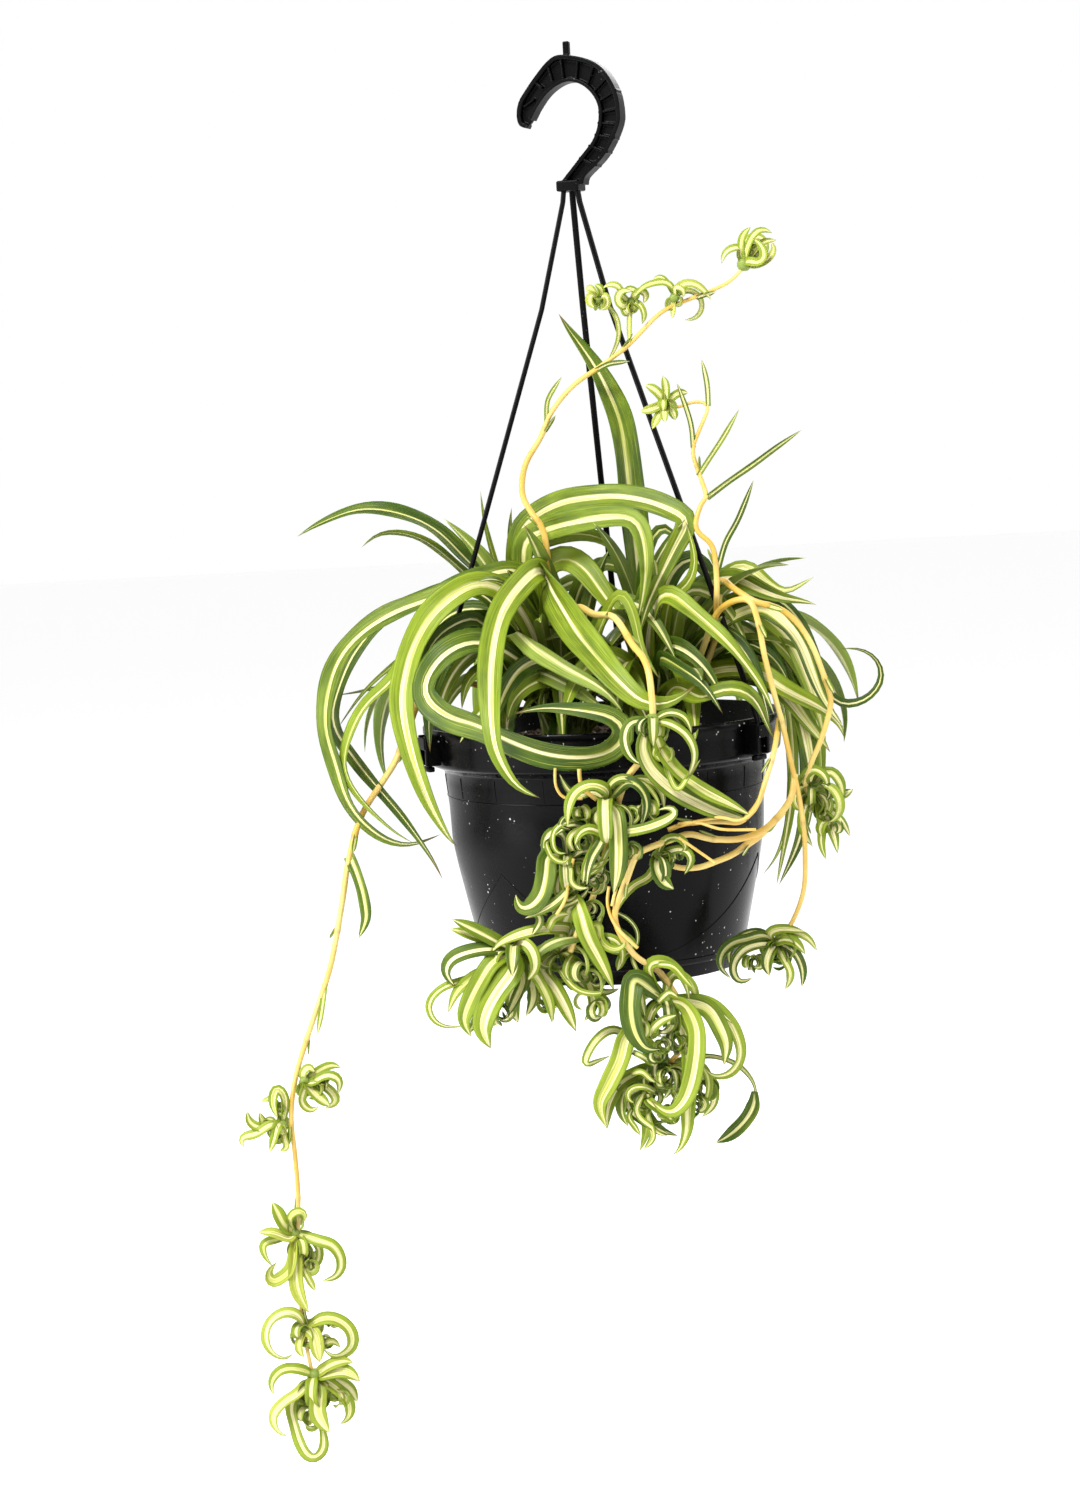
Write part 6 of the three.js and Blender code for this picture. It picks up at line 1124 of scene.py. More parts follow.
@dataclass
class Blade:
    """One strap-shaped leaf: a channelled blade with a keel, a sheathing foot and a fine point."""

    width: float
    tilt: tuple[float, float]
    facing: Vector
    coarse: list[Vector]
    fine: list[Vector]
    foot: float
    kind: LeafKind
    seed: int
    across: int = 9
    thick: float = 0.75
    cup: float = 0.34            # how far the margins rise, as a share of the half width
    keel: float = 0.55           # how far the midrib stands out below, as a share of the thickness
    keel_half: float = 0.9       # half width of the midrib
    tip: float = 0.03            # share of the width left just before the point

    def share(self, s: float) -> float:
        """Share of the full width at s along the blade."""
        foot = self.foot + (1 - self.foot) * min(1.0, s / 0.22)
        point = 1.0 if s < 0.6 else 1 - ((s - 0.6) / 0.4) ** 2.2
        return foot * max(point, self.tip)

    def normals(self) -> list[Vector]:
        """Direction the upper face looks in at each point of the coarse line."""
        out: list[Vector] = []
        n = len(self.coarse) - 1
        for i in range(n):
            s, t = i / n, tangent(self.coarse, i)
            a = (self.facing - t * self.facing.dot(t)).normalized()
            b = t.cross(a)
            angle = math.radians(self.tilt[0] + (self.tilt[1] - self.tilt[0]) * s)
            up = (a * math.cos(angle) + b * math.sin(angle)).normalized()
            if out and up.dot(out[-1]) < 0:
                up = -up
            if out and up.dot(out[-1]) < 0.4:
                up = up + out[-1] * 0.8
                up = (up - t * up.dot(t)).normalized()
            out.append(up)
        return out + [out[-1].copy()]

    def add_to(self, draft: MeshDraft, slot: int = 0) -> None:
        """Writes the blade's closed skin into a draft."""
        rnd = Seeded(self.seed)
        low, high, least, most = self.kind.value[:4]
        stripe, tone, dry = rnd.between(low, high), rnd.between(least, most), rnd() ** 2
        wave, swing = rnd.between(0.0, 6.28), rnd.between(0.03, 0.12)
        ups, n, m = self.normals(), len(self.fine) - 1, self.across
        length = sum((b - a).length for a, b in zip(self.fine, self.fine[1:]))
        rings: list[list[int]] = []
        for i in range(n):
            s, t = i / n, tangent(self.fine, i)
            k = s * (len(ups) - 1)
            j = min(int(k), len(ups) - 2)
            up = ups[j].lerp(ups[j + 1], k - j)
            up = (up - t * up.dot(t)).normalized()
            side = up.cross(t)
            half, run = self.width * self.share(s) / 2, s * length
            ripple = swing * half * math.sin(wave + run / max(self.width, 6) * 1.7)
            top, under = [], []
            for c in range(m):
                u = 1 - 2 * c / (m - 1)
                lift = half * self.cup * (0.65 * abs(u) + 0.35 * u * u) + ripple * abs(u) * u
                skin = self.thick * (1 - 0.55 * u * u) * (0.45 + 0.55 * self.share(s))
                keel = self.keel * self.thick * math.exp(-((u * half / self.keel_half) ** 2)) * self.share(s)
                common = {"across": u, "along": s, "run": run, "tone": tone, "stripe": stripe, "dry": dry}
                at = self.fine[i] + side * (u * half)
                top.append(draft.point(at + up * (lift + skin / 2 - keel * 0.5), face=1.0, **common))
                under.append(draft.point(at + up * (lift - skin / 2 - keel), face=0.0, **common))
            rings.append(top + under[::-1])
        draft.tube(rings, closed=False, slot=slot)
        foot, last = rings[0], 2 * m - 1
        for c in range(m - 1):
            draft.face(foot[c + 1], foot[c], foot[last - c], foot[last - 1 - c], slot=slot)
        tip = draft.point(self.fine[n], along=1.0, run=length, tone=tone, stripe=stripe, dry=dry, face=0.5)
        for c in range(2 * m):
            draft.face(rings[-1][c], rings[-1][(c + 1) % (2 * m)], tip, slot=slot)


def hand_blade(row: LeafRow, kind: LeafKind, seed: int, foot: float = 0.0, per_step: float = 0.0) -> Blade:
    """Leaf given by its points.

    Args:
        row: what was measured.
        kind: which leaves it belongs to.
        seed: seed of its colours and ripple.
        foot: share of the width at the foot, where it isn't the kind's own.
        per_step: millimetres between the fine line's points, where it isn't the kind's own.

    Returns:
        The blade.
    """
    sign = 1 if row.points[-1][0] < row.points[0][0] else -1
    coarse = clear_pot(spine(row.points, max(4, int(row.steps * CAD_SHARE + 0.5))), BLADE_ROOM)
    steps = max(14, round(length_of(coarse) / (per_step or kind.grain)))
    fine = eased(clear_pot(spine(row.points, steps), BLADE_ROOM))
    tilt = (sign * row.tilt0, sign * row.tilt1)
    return Blade(row.width, tilt, FRONT, coarse, fine, foot or kind.foot, kind, seed)


def arched_blade(start: Vector, azimuth: float, rise: float, turn: float, length: float, width: float,
                 twist: float, kind: LeafKind, seed: int, steps: int = 6, bend: float = 1.15,
                 sway: float = 0.0, foot: float = 0.0, per_step: float = 0.0) -> Blade:
    """Leaf set by rule: it leaves `start` at an azimuth, climbs at `rise` and turns over by `turn`.

    Args:
        start: where it leaves the crown.
        azimuth: direction it leaves in, degrees.
        rise: climb at the start, degrees.
        turn: how far it turns over by its point, degrees.
        length: length of its midrib.
        width: full width.
        twist: turn of its face by the point, degrees.
        kind: which leaves it belongs to.
        seed: seed of its colours and ripple.
        steps: coarse steps.
        bend: how late the turn comes.
        sway: change of azimuth by the point, degrees.
        foot: share of the width at the foot, where it isn't the kind's own.
        per_step: millimetres between the fine line's points, where it isn't the kind's own.

    Returns:
        The blade.
    """
    line, parts = [start.copy()], 24
    for i in range(parts):
        s = (i + 0.5) / parts
        e, a = math.radians(rise - turn * s**bend), math.radians(azimuth + sway * s)
        ahead = Vector((math.cos(e) * math.cos(a), math.cos(e) * math.sin(a), math.sin(e)))
        line.append(line[-1] + ahead * (length / parts))
    fine_steps = max(14, round(length / (per_step or kind.grain)))
    coarse = clear_pot(resample(line, steps), BLADE_ROOM)
    fine = eased(clear_pot(resample(line, fine_steps), BLADE_ROOM), 3)
    tilt = (90 + twist * 0.3, 90 + twist)
    return Blade(width, tilt, spokes(azimuth)[1], coarse, fine, foot or kind.foot, kind, seed)


def add_bud(draft: MeshDraft, centre: Vector, radius: float, tall: float = 1.0) -> None:
    """Adds the rounded heart that a tuft of leaves grows from."""
    rows, sides, rings = 7, 12, []
    for i in range(1, rows):
        q = math.pi * i / rows - math.pi / 2
        ring = []
        for j in range(sides):
            a = TURN * j / sides
            r = radius * math.cos(q) * (1 + 0.08 * math.sin(5 * a))
            ring.append(centre + Vector((r * math.cos(a), r * math.sin(a), radius * tall * math.sin(q))))
        rings.append(draft.ring(ring, **BUD_LOOK))
    draft.tube(rings)


@dataclass
class MotherPlant:
    """The big leaves, which grow from two crowns in the potting mix."""

    rows: list[LeafRow]
    skin: bpy.types.Material
    back_leaves: int = 12
    short_leaves: int = 9
    inner_leaves: int = 48
    # Such leaves also get a lighter green, painted light against the shade on the plant's right side.
    creamy_lightened_from: float = 92.0    # leaves that end right of this x are broadly striped
    creamy_lightened_wide: float = 8.0     # and are wider than this
    rim_room: float = 72.0       # inner leaves keep within this radius where they are below the rim
    seed: int = 41

    def rule_blades(self) -> list[Blade]:
        """Leaves of the sides and back, and the short ones that fill the crowns."""
        rnd, out = Seeded(self.seed), []
        crowns = [place(A0), place(B0)]
        for i in range(self.back_leaves):
            az = 12 + 156 * (i + 0.5) / self.back_leaves + 8 * (rnd() - 0.5)
            away = spokes(az)[0]
            start = crowns[0 if away.x < 0 else 1] + Vector((away.x * 5, away.y * 6, -2))
            rise, turn = 74 - 8 * rnd(), 150 + 34 * rnd()
            length, width = 120 + 95 * away.y * (0.7 + 0.5 * rnd()), 9 + 4 * rnd()
            out.append(arched_blade(start, az, rise, turn, length, width, 50 * (rnd() - 0.5),
                                    LeafKind.MOTHER, 700 + i))
        for i in range(self.short_leaves):
            az = 190 + 160 * (i + 0.5) / self.short_leaves + 10 * (rnd() - 0.5)
            start = crowns[i % 2] + spokes(az)[0] * 6 - UP * 2
            rise, turn = 82 - 10 * rnd(), 150 + 60 * rnd()
            length, width = 82 + 42 * rnd(), 8 + 4 * rnd()
            out.append(arched_blade(start, az, rise, turn, length, width, 90 * (rnd() - 0.5),
                                    LeafKind.MOTHER, 800 + i, steps=5, bend=1.4))
        return out

    def inner_blades(self) -> list[Blade]:
        """Young leaves that stand close together between the others, within the crowns."""
        rnd, out = Seeded(self.seed + 1), []
        for i in range(self.inner_leaves):
            az = 360 * rnd() if i % 3 == 0 else rnd.between(185, 355)
            away, spread = spokes(az)[0], rnd.between(4, 14)
            start = place(A0 if i % 2 else B0) + Vector((away.x * spread, away.y * spread * 0.7, -4))
            rise, turn, reach = rnd.between(48, 84), rnd.between(70, 190), rnd.between(60, 118)
            if i % 3 == 1:
                rise, turn, reach = 84, turn * 0.6, reach + 22
            width, twist = rnd.between(6, 12), rnd.between(-60, 60)
            bend, sway = rnd.between(1.0, 1.7), rnd.between(-35, 35)
            blade = arched_blade(start, az, rise, turn, reach, width, twist, LeafKind.MOTHER, 900 + i,
                                 bend=bend, sway=sway)
            if not any(p.z < RIM_Z + 4 and math.hypot(p.x, p.y) > self.rim_room for p in blade.fine):
                out.append(blade)
        return out

    def make(self) -> bpy.types.Object:
        """Builds the foliage and dresses it."""
        draft = MeshDraft()
        for centre, radius in ((place(A0), 12.0), (place(B0), 11.0)):
            add_bud(draft, centre, radius, 1.5)
            neck = [centre + UP * z for z in (-16, -8, 0)]
            draft.loft(neck, [radius * 0.9, radius, radius * 0.8], 14, **BUD_LOOK)
        blades = []
        for i, row in enumerate(self.rows):
            # Right-hand leaves get broad cream stripes and a lighter green; the lighter green is painted
            # light against the shade on that side.
            right = row.width > self.creamy_lightened_wide and row.points[-1][0] > self.creamy_lightened_from
            blades.append(hand_blade(row, LeafKind.CREAMY_PAINTED_LIGHT if right else LeafKind.MOTHER, 100 + i))
        for blade in blades + self.rule_blades() + self.inner_blades():
            blade.across, blade.thick = 11, 0.95
            blade.add_to(draft)
        return dress(draft.build("mother_leaves", self.skin), "leaf", "mother_foliage")


@dataclass
class Plantlet:
    """A young plant on a runner: a tuft of curled, broadly striped leaves round a bud."""

    row: Tuft
    skin: bpy.types.Material
    root_reach: float = 14.0     # a leaf that starts this near the heart grows from it
    pale_above: float = 200.0    # plantlets above this depth are pale
    before_pot: float = -40.0    # plantlets before this y keep their curls off the pot

    def blades(self, centre: Vector, kind: LeafKind) -> list[Blade]:
        """Measured leaves, leaves by rule and single curls."""
        row, out = self.row, []
        for i, leaf in enumerate(row.leaves):
            points = list(leaf.points)
            if math.hypot(points[0][0] - row.centre[0], points[0][1] - row.centre[1]) < self.root_reach:
                points[0] = row.centre
            out.append(hand_blade(leaf._replace(points=points), kind, row.seed * 50 + i))
        rnd, (az0, az1) = Seeded(row.seed), row.azimuths
        for i in range(row.count):
            az = az0 + (az1 - az0) * (i + 0.5) / row.count + 14 * (rnd() - 0.5)
            rise, turn, reach = 50 - 40 * rnd(), 150 + 130 * rnd(), row.length * (0.75 + 0.5 * rnd())
            width = 4 + row.length * 0.05 + 1.5 * rnd()
            twist, sway = 70 * (rnd() - 0.5), 30 * (rnd() - 0.5)
            out.append(arched_blade(centre, az, rise, turn, reach, width, twist, kind,
                                    row.seed * 50 + 30 + i, steps=5, bend=1.1, sway=sway))
        curls = STRANDS.get(row.name, Strokes())
        for i, (width, stroke) in enumerate(curls.rows):
            path = curls.piece.points(stroke, curls.y + 1)
            path[0][2] += 4
            curl = LeafRow(width, 30, -20, 12, path)
            out.append(hand_blade(curl, kind, row.seed * 50 + 60 + i, foot=0.8, per_step=1.6))
        return out

    def make(self) -> bpy.types.Object:
        """Builds the tuft and dresses it."""
        row, centre = self.row, place(self.row.centre)
        pale = "runner" in row.name or row.centre[1] < self.pale_above
        kind = LeafKind.PALE if pale else LeafKind.PLANTLET
        draft = MeshDraft()
        add_bud(draft, centre, 0.95 * max(2.6, min(4.2, row.length / 7)))
        for blade in self.blades(centre, kind):
            blade.add_to(draft)
        for k, (heart, reach, number) in enumerate(CURLS[row.name]):
            self.add_tuft(draft, place(heart), reach, number, kind, row.seed * 90 + 7 * k)
        return dress(draft.build(f"{row.name}_leaves", self.skin), "leaf", row.name)

    def add_tuft(self, draft: MeshDraft, centre: Vector, reach: float, number: int, kind: LeafKind,
                 seed: int) -> None:
        """Adds the small, tightly curled leaves that fill a tuft.

        Args:
            draft: where they go.
            centre: what they grow from.
            reach: length of the longest.
            number: how many.
            kind: which leaves they belong to.
            seed: seed of their directions.
        """
        rnd, before_pot = Seeded(seed), self.row.centre[2] < self.before_pot
        if reach < 20:
            add_bud(draft, centre, 1.3)
        for i in range(number):
            az = (180 if i % 2 else 0) + rnd.between(-65, 65)
            if before_pot and math.sin(math.radians(az)) > 0.1:
                az = -az
            length, width = reach * rnd.between(0.65, 1.1), 2.6 + reach * 0.06 + 1.6 * rnd()
            rise, turn, twist = rnd.between(-20, 75), rnd.between(190, 340), rnd.between(-50, 50)
            bend, sway = rnd.between(0.8, 1.3), rnd.between(-60, 60)
            blade = arched_blade(centre, az, rise, turn, length, width, twist, kind, seed + 11 * i,
                                 bend=bend, sway=sway, foot=0.5, per_step=1.4)
            blade.thick = 0.6
            blade.add_to(draft)


@dataclass
class Runner:
    """A wiry flower stem with swollen nodes and a thin bract at each."""

    row: Stem
    skin: bpy.types.Material
    leaf: bpy.types.Material
    internode: float = 46.0      # usual distance between two nodes
    swell: float = 0.14          # how much thicker a node is
    slim: float = 0.93           # share of the given radius between the nodes

    def nodes(self, length: float, rnd: Seeded) -> list[float]:
        """Places of the nodes along a stem."""
        marks, at = [], self.internode * 0.6
        while at < length - 6:
            marks.append(at)
            at += self.internode * rnd.between(0.75, 1.3)
        return marks

    def make(self) -> bpy.types.Object:
        """Builds the stem and dresses it."""
        name, r0, r1, points = self.row
        rnd = Seeded(sum(map(ord, name)))
        length = length_of(spine(points, 40))
        line = eased(clear_pot(spine(points, max(30, round(length / 1.6))), r0 + 1), 3)
        marks = self.nodes(length, rnd)

        def near(run: float, wide: float) -> float:
            """Nearness to a node, from 0 to 1."""
            return max([math.exp(-((run - m) / wide) ** 2) for m in marks], default=0.0)

        draft, radii, tone = MeshDraft(), [], rnd()
        for i in range(len(line)):
            run = length * i / (len(line) - 1)
            radii.append((r0 + (r1 - r0) * run / length) * (self.slim + self.swell * near(run, 1.7)))
        draft.loft(line, radii, 10, tone=tone)
        draft.values["dry"] = [near(run - 1.2, 0.9) for run in draft.values["run"]]
        for k, mark in enumerate(marks):
            i = min(len(line) - 2, round(mark / length * (len(line) - 1)))
            self.add_bract(draft, line, i, radii[i], rnd, k)
        twigs = TWIGS.get(name, Strokes())
        for radius, stroke in twigs.rows:
            path = clear_pot(spine(twigs.piece.points(stroke, twigs.y), 30), 3)
            draft.loft(path, [radius] * len(path), 8, tone=1.0)
        for k, (width, text) in enumerate(BRACTS.get(name, [])):
            coarse, fine = (spine(points_of(text), count) for count in (4, 24))
            bract = Blade(width, (20, 20), FRONT, coarse, fine, 1.0, LeafKind.PLANTLET, 60 + k, 7, 0.6)
            bract.add_to(draft, 1)
        return dress(draft.build(f"{name}_stem", self.skin, self.leaf), "runner_stem", name)

    def add_bract(self, draft: MeshDraft, line: list[Vector], i: int, radius: float, rnd: Seeded,
                  turn: int) -> None:
        """Adds the thin dry scale that sheathes a node.

        Args:
            draft: where it goes.
            line: the stem's middle.
            i: the node's place in the line.
            radius: the stem's radius there.
            rnd: where its size and direction are drawn from.
            turn: the node's number, which turns the scale round the stem.
        """
        t = tangent(line, i)
        side = t.orthogonal().normalized()
        side = Matrix.Rotation(2.4 * turn + rnd.between(-0.4, 0.4), 3, t) @ side
        reach, start = rnd.between(6.0, 10.0), line[i] + side * radius * 0.5
        path = [start + t * reach * q + side * (radius * 0.7 * math.sqrt(q) + 1.6 * q * q) for q in
                [j / 8 for j in range(9)]]
        scale = Blade(2.6, (0, 0), side, path[::4], path, 0.9, LeafKind.PLANTLET, 40 + turn, 5, 0.4)
        scale.add_to(draft, 1)


# ------------------------------------------------------------------------------- pot and hanger
@dataclass
class Pot:
    """Round moulded pot: rim band, fine moulded lines, three lugs and drainage holes."""

    skin: bpy.types.Material
    turns: int = 216
    holes: int = 5
    hole_r: float = 4.0
    hole_ring: float = 40.0      # the holes lie on a circle of this radius
    bead: float = 0.34           # radius of a moulded line
    rings: tuple[float, float] = (-347.0, -427.5)
    ribs: int = 18
    swoops: int = 3
    first_peak: float = 225.0    # azimuth of the first swoop's start
    swoop_low: float = -424.0
    swoop_high: float = 42.0

    def profile(self) -> list[tuple[float, float]]:
        """Outline from the foot, up the outside, over the rim and down the inside."""
        foot = "61.5 -437.5, 62.9 -437.1, 63.3 -436.2, 64.5 -430.7, 65.4 -430.2, 65.8 -429.4"
        rim = ("80.2 -334.9, 80.9 -333.9, 84 -332.3, 87.2 -330.9, 87.8 -329.9, 88 -328.6, 88.9 -321, "
               "89.5 -316.4, 90 -315.6, 90 -313, 89.5 -312.2, 88.6 -312, 87.9 -312.2, 87.5 -313")
        inner = ("85.7 -327.8, 85 -329.4, 78.6 -333, 78 -334.4, 75.7 -370, 68.6 -406, 61.9 -433.8, "
                 "60.6 -435.1, 59 -435.3")
        wall = [(pot_radius(z), z) for z in range(-424, -336, 4)]
        return points_of(foot) + wall + points_of(rim) + points_of(inner)

    def shell(self) -> bpy.types.Object:
        """The turned wall and floor, with the drainage holes cut."""
        draft, cutter = MeshDraft(), MeshDraft()
        draft.tube([draft.ring(circle(r, z, self.turns)) for r, z in self.profile()])
        made = draft.build("pot_shell", self.skin)
        for i in range(self.holes):
            middle = spokes(360 / self.holes * i)[0] * self.hole_ring
            cutter.tube([cutter.ring([middle + p for p in circle(self.hole_r, z, 24)]) for z in (-440, -432)])
        tool = cutter.build("pot_hole_cutter", self.skin)
        cut = made.modifiers.new("holes", "BOOLEAN")
        cut.object, cut.operation, cut.solver = tool, "DIFFERENCE", "EXACT"
        applied(made)
        bpy.data.objects.remove(tool)
        return made

    def strand(self, draft: MeshDraft, radius: float, places: Sequence[tuple[float, float]]) -> None:
        """Adds a moulded line through places on the outside wall, given as (azimuth, z)."""
        points = [spokes(azimuth)[0] * pot_radius(z) + UP * z for azimuth, z in places]
        draft.loft(points, [radius] * len(points), 6)

    def lines(self, draft: MeshDraft) -> None:
        """Moulded lines: the rings, the short ribs and the swoops that hang between three peaks."""
        for z in self.rings:
            self.strand(draft, self.bead, [(a, z) for a in range(0, 361, 3)])
        for i in range(self.ribs):
            self.strand(draft, self.bead * 0.8, [(360 * i / self.ribs + 7, z) for z in range(-346, -334, 2)])
        span = 360 / self.swoops
        for i in range(self.swoops):
            self.strand(draft, self.bead, [(self.first_peak + span * i + span * k / 48,
                                            self.swoop_low + self.swoop_high * abs(k / 24 - 1) ** 1.7)
                                           for k in range(49)])

    def lugs(self, draft: MeshDraft) -> None:
        """Cheeks and bridge that hold each arm of the hanger."""
        for azimuth in LUG_AZIMUTHS.values():
            out, side = spokes(azimuth)
            for r, t, z, size in ((92.4, 4.2, -321.5, (8, 2, 15)), (92.4, -4.2, -321.5, (8, 2, 15)),
                                  (96, 0, -318, (1.8, 9, 6))):
                add_block(draft, out * r + side * t + UP * z, out, side, size, 0.4)

    def make(self) -> bpy.types.Object:
        """Builds the pot and dresses it."""
        shell, extras = self.shell(), MeshDraft()
        self.lines(extras)
        self.lugs(extras)
        trim = extras.build("pot_trim", self.skin)
        return dress(joined("pot_moulding", [shell, trim]), "black_plastic", "pot")


def add_block(draft: MeshDraft, centre: Vector, out: Vector, side: Vector, size: tuple[float, float, float],
              soft: float) -> None:
    """Adds a block with chamfered upright and level edges.

    Args:
        draft: where it goes.
        centre: its middle.
        out: its first direction.
        side: its second direction.
        size: full size along out, side and up.
        soft: width of the chamfer.
    """
    up = out.cross(side)
    hx, hy, hz = (v / 2 for v in size)

    def ring(z: float, inset: float) -> list[int]:
        """One level outline, `inset` in from the full size."""
        x, y = hx - inset, hy - inset
        c = min(soft, x * 0.5, y * 0.5)
        corners = ((x, -y + c), (x, y - c), (x - c, y), (-x + c, y), (-x, y - c), (-x, -y + c), (-x + c, -y),
                   (x - c, -y))
        return draft.ring([centre + out * u + side * v + up * z for u, v in corners])

    draft.tube([ring(-hz, soft), ring(-hz + soft, 0), ring(hz - soft, 0), ring(hz, soft)])


def joined(name: str, parts: Sequence[bpy.types.Object]) -> bpy.types.Object:
    """Joins meshes with the same materials into one object."""
    mesh = bmesh.new()
    for part in parts:
        mesh.from_mesh(part.data)
    data = bpy.data.meshes.new(name)
    mesh.to_mesh(data)
    mesh.free()
    for material in parts[0].data.materials:
        data.materials.append(material)
    for part in parts:
        bpy.data.objects.remove(part)
    data.polygons.foreach_set("use_smooth", [True] * len(data.polygons))
    data.set_sharp_from_angle(angle=math.radians(38))
    return linked(name, data)


@dataclass
class HangerArm:
    """Flat moulded strap from the hook's foot to a lug on the pot, with its T foot."""

    azimuth: float
    name: str
    skin: bpy.types.Material
    half_wide: float = 1.5
    half_thick: float = 0.9
    chamfer: float = 0.35
    cross_foot: tuple[float, float, float] = (3.2, 9.0, 2.6)

    def make(self) -> bpy.types.Object:
        """Builds the arm and dresses it."""
        out, side = spokes(self.azimuth)
        knots = [(3.4, STRAP_TOP), (4.8, -58.0), (19.5, -110.0), (41.5, -170.0), (STRAP_R - 2.4, RIM_Z + 7),
                 (STRAP_R, RIM_Z - 1), (STRAP_R, T_FOOT_Z - 0.8)]
        line = []
        for (r0, z0), (r1, z1) in zip(knots, knots[1:]):
            steps = max(2, round(math.hypot(r1 - r0, z1 - z0) / 8))
            line += [(r0 + (r1 - r0) * k / steps, z0 + (z1 - z0) * k / steps) for k in range(steps)]
        line.append(knots[-1])
        w, t, c = self.half_wide, self.half_thick, self.chamfer
        section = ((w, -t + c), (w - c, -t), (-w + c, -t), (-w, -t + c), (-w, t - c), (-w + c, t), (w - c, t),
                   (w, t - c))
        top, low = Matrix.Rotation(HOOK_TURN, 3, "Z") @ Vector((FOOT_U, 0, 0)), RIM_Z + 7
        points = [out * r + UP * z + top * max(0.0, (z - low) / (STRAP_TOP - low)) for r, z in line]
        draft, rings = MeshDraft(), []
        for i, p in enumerate(points):
            face = side.cross(tangent(points, i)).normalized()
            rings.append(draft.ring([p - side * u + face * v for u, v in section]))
        draft.tube(rings)
        add_block(draft, out * STRAP_R + UP * T_FOOT_Z, out, side, self.cross_foot, 0.4)
        made = draft.build(f"{self.name}_strap", self.skin)
        made.data.set_sharp_from_angle(angle=math.radians(50))
        return dress(made, "black_plastic", self.name)


@dataclass
class Hook:
    """Moulded hook: a web with a flange along each edge, cross ribs, a tab and a foot block."""

    skin: bpy.types.Material
    outer: str = ("5 -50, 6 -46.5, 11.2 -42, 16.5 -37, 21.3 -30, 25 -22, 25.6 -16, 24.6 -8, 21.5 -0.5, "
                  "17 5.6, 11 9.6, 3 12.2, -5.5 13.2, -11.2 10.3, -17 4.5, -22.4 -1.8, -26.6 -7.7, -28 -14, "
                  "-27 -18.8, -24 -20.6")
    inner: str = ("-20.8 -17, -17 -11, -11.7 -5, -5.6 -1.2, 0 0, 5.5 -1.6, 10 -5, 13.4 -10, 14.6 -15.5, "
                  "13.6 -23, 10.6 -29.5, 5.6 -35, 0 -41, -8.5 -50")
    ribs: str = ("-19 -7 -24 -10, -14.5 -1.5 -19 2, -9 2 -11 9, -3 1 -4 12, 3.5 1 5 11, 9 -2.5 13 7, "
                 "12 -6 20 1, 14 -11 24 -6, 14.5 -16 25 -15, 13.8 -21 24.5 -22.5, 12 -26.5 22 -29, "
                 "8.5 -31.5 18 -35.5, 3.5 -37 12 -41.5")
    web: float = 2.6                                             # thickness of the web
    flange: float = 9.0                                          # width of the flanges
    lips: tuple[float, float] = (2.2, 1.8)                       # thickness of the two flanges
    rib: tuple[float, float] = (7.6, 1.1)                        # width and thickness of a rib
    tab: tuple[float, float, float] = (3.2, 3.0, 8.5)
    foot: tuple[float, float, float] = (11.6, 11.6, 5.2)
    grid: float = 0.33                                           # cell of the mesh that fuses it all

    def plate(self, draft: MeshDraft, left: Sequence[Vector], right: Sequence[Vector], thick: float) -> None:
        """Adds a level band between two lines of (u, z) with as many points as each other."""
        half = thick / 2
        draft.tube([draft.ring([Vector((a.x, -half, a.y)), Vector((b.x, -half, b.y)),
                                Vector((b.x, half, b.y)), Vector((a.x, half, a.y))])
                    for a, b in zip(left, right)])

    def beside(self, line: Sequence[Vector], gap: float) -> list[Vector]:
        """The line moved sideways, to the left of its run."""
        ways = [tangent(line, i) for i in range(len(line))]
        return [p + Vector((-t.y, t.x, 0)) * gap for p, t in zip(line, ways)]

    def make(self) -> bpy.types.Object:
        """Builds the hook and dresses it."""
        draft = MeshDraft()
        outer, inner = (rounded([Vector((*p, 0)) for p in points_of(text)], 4)
                        for text in (self.outer, self.inner))
        self.plate(draft, outer, resample(inner, len(outer) - 1)[::-1], self.web)
        self.plate(draft, outer, self.beside(outer, self.lips[0]), self.flange)
        self.plate(draft, inner, self.beside(inner, self.lips[1]), self.flange)
        across, deep = Vector((1, 0, 0)), Vector((0, 1, 0))
        for u0, z0, u1, z1 in points_of(self.ribs):
            along = Vector((u1 - u0, 0, z1 - z0))
            add_block(draft, Vector(((u0 + u1) / 2, 0, (z0 + z1) / 2)), along.normalized(), deep,
                      (along.length + 0.6, *self.rib), 0.05)
        add_block(draft, Vector((-1.8, 0, 15.6)), across, deep, self.tab, 0.3)
        add_block(draft, Vector((FOOT_U, 0, -50.1)), across, deep, self.foot, 0.5)
        made = draft.build("hook_moulding", self.skin)
        made.data.transform(Matrix.Rotation(HOOK_TURN, 4, "Z"))
        mesh = bmesh.new()
        mesh.from_mesh(made.data)
        bmesh.ops.recalc_face_normals(mesh, faces=mesh.faces)
        mesh.to_mesh(made.data)
        mesh.free()
        melt = made.modifiers.new("fuse", "REMESH")
        melt.mode, melt.voxel_size, melt.use_smooth_shade = "VOXEL", self.grid * MM, True
        ease = made.modifiers.new("soften", "SMOOTH")
        ease.factor, ease.iterations = 0.5, 2
        applied(made)
        made.data.materials.clear()
        made.data.materials.append(self.skin)
        return dress(made, "black_plastic", "hook")


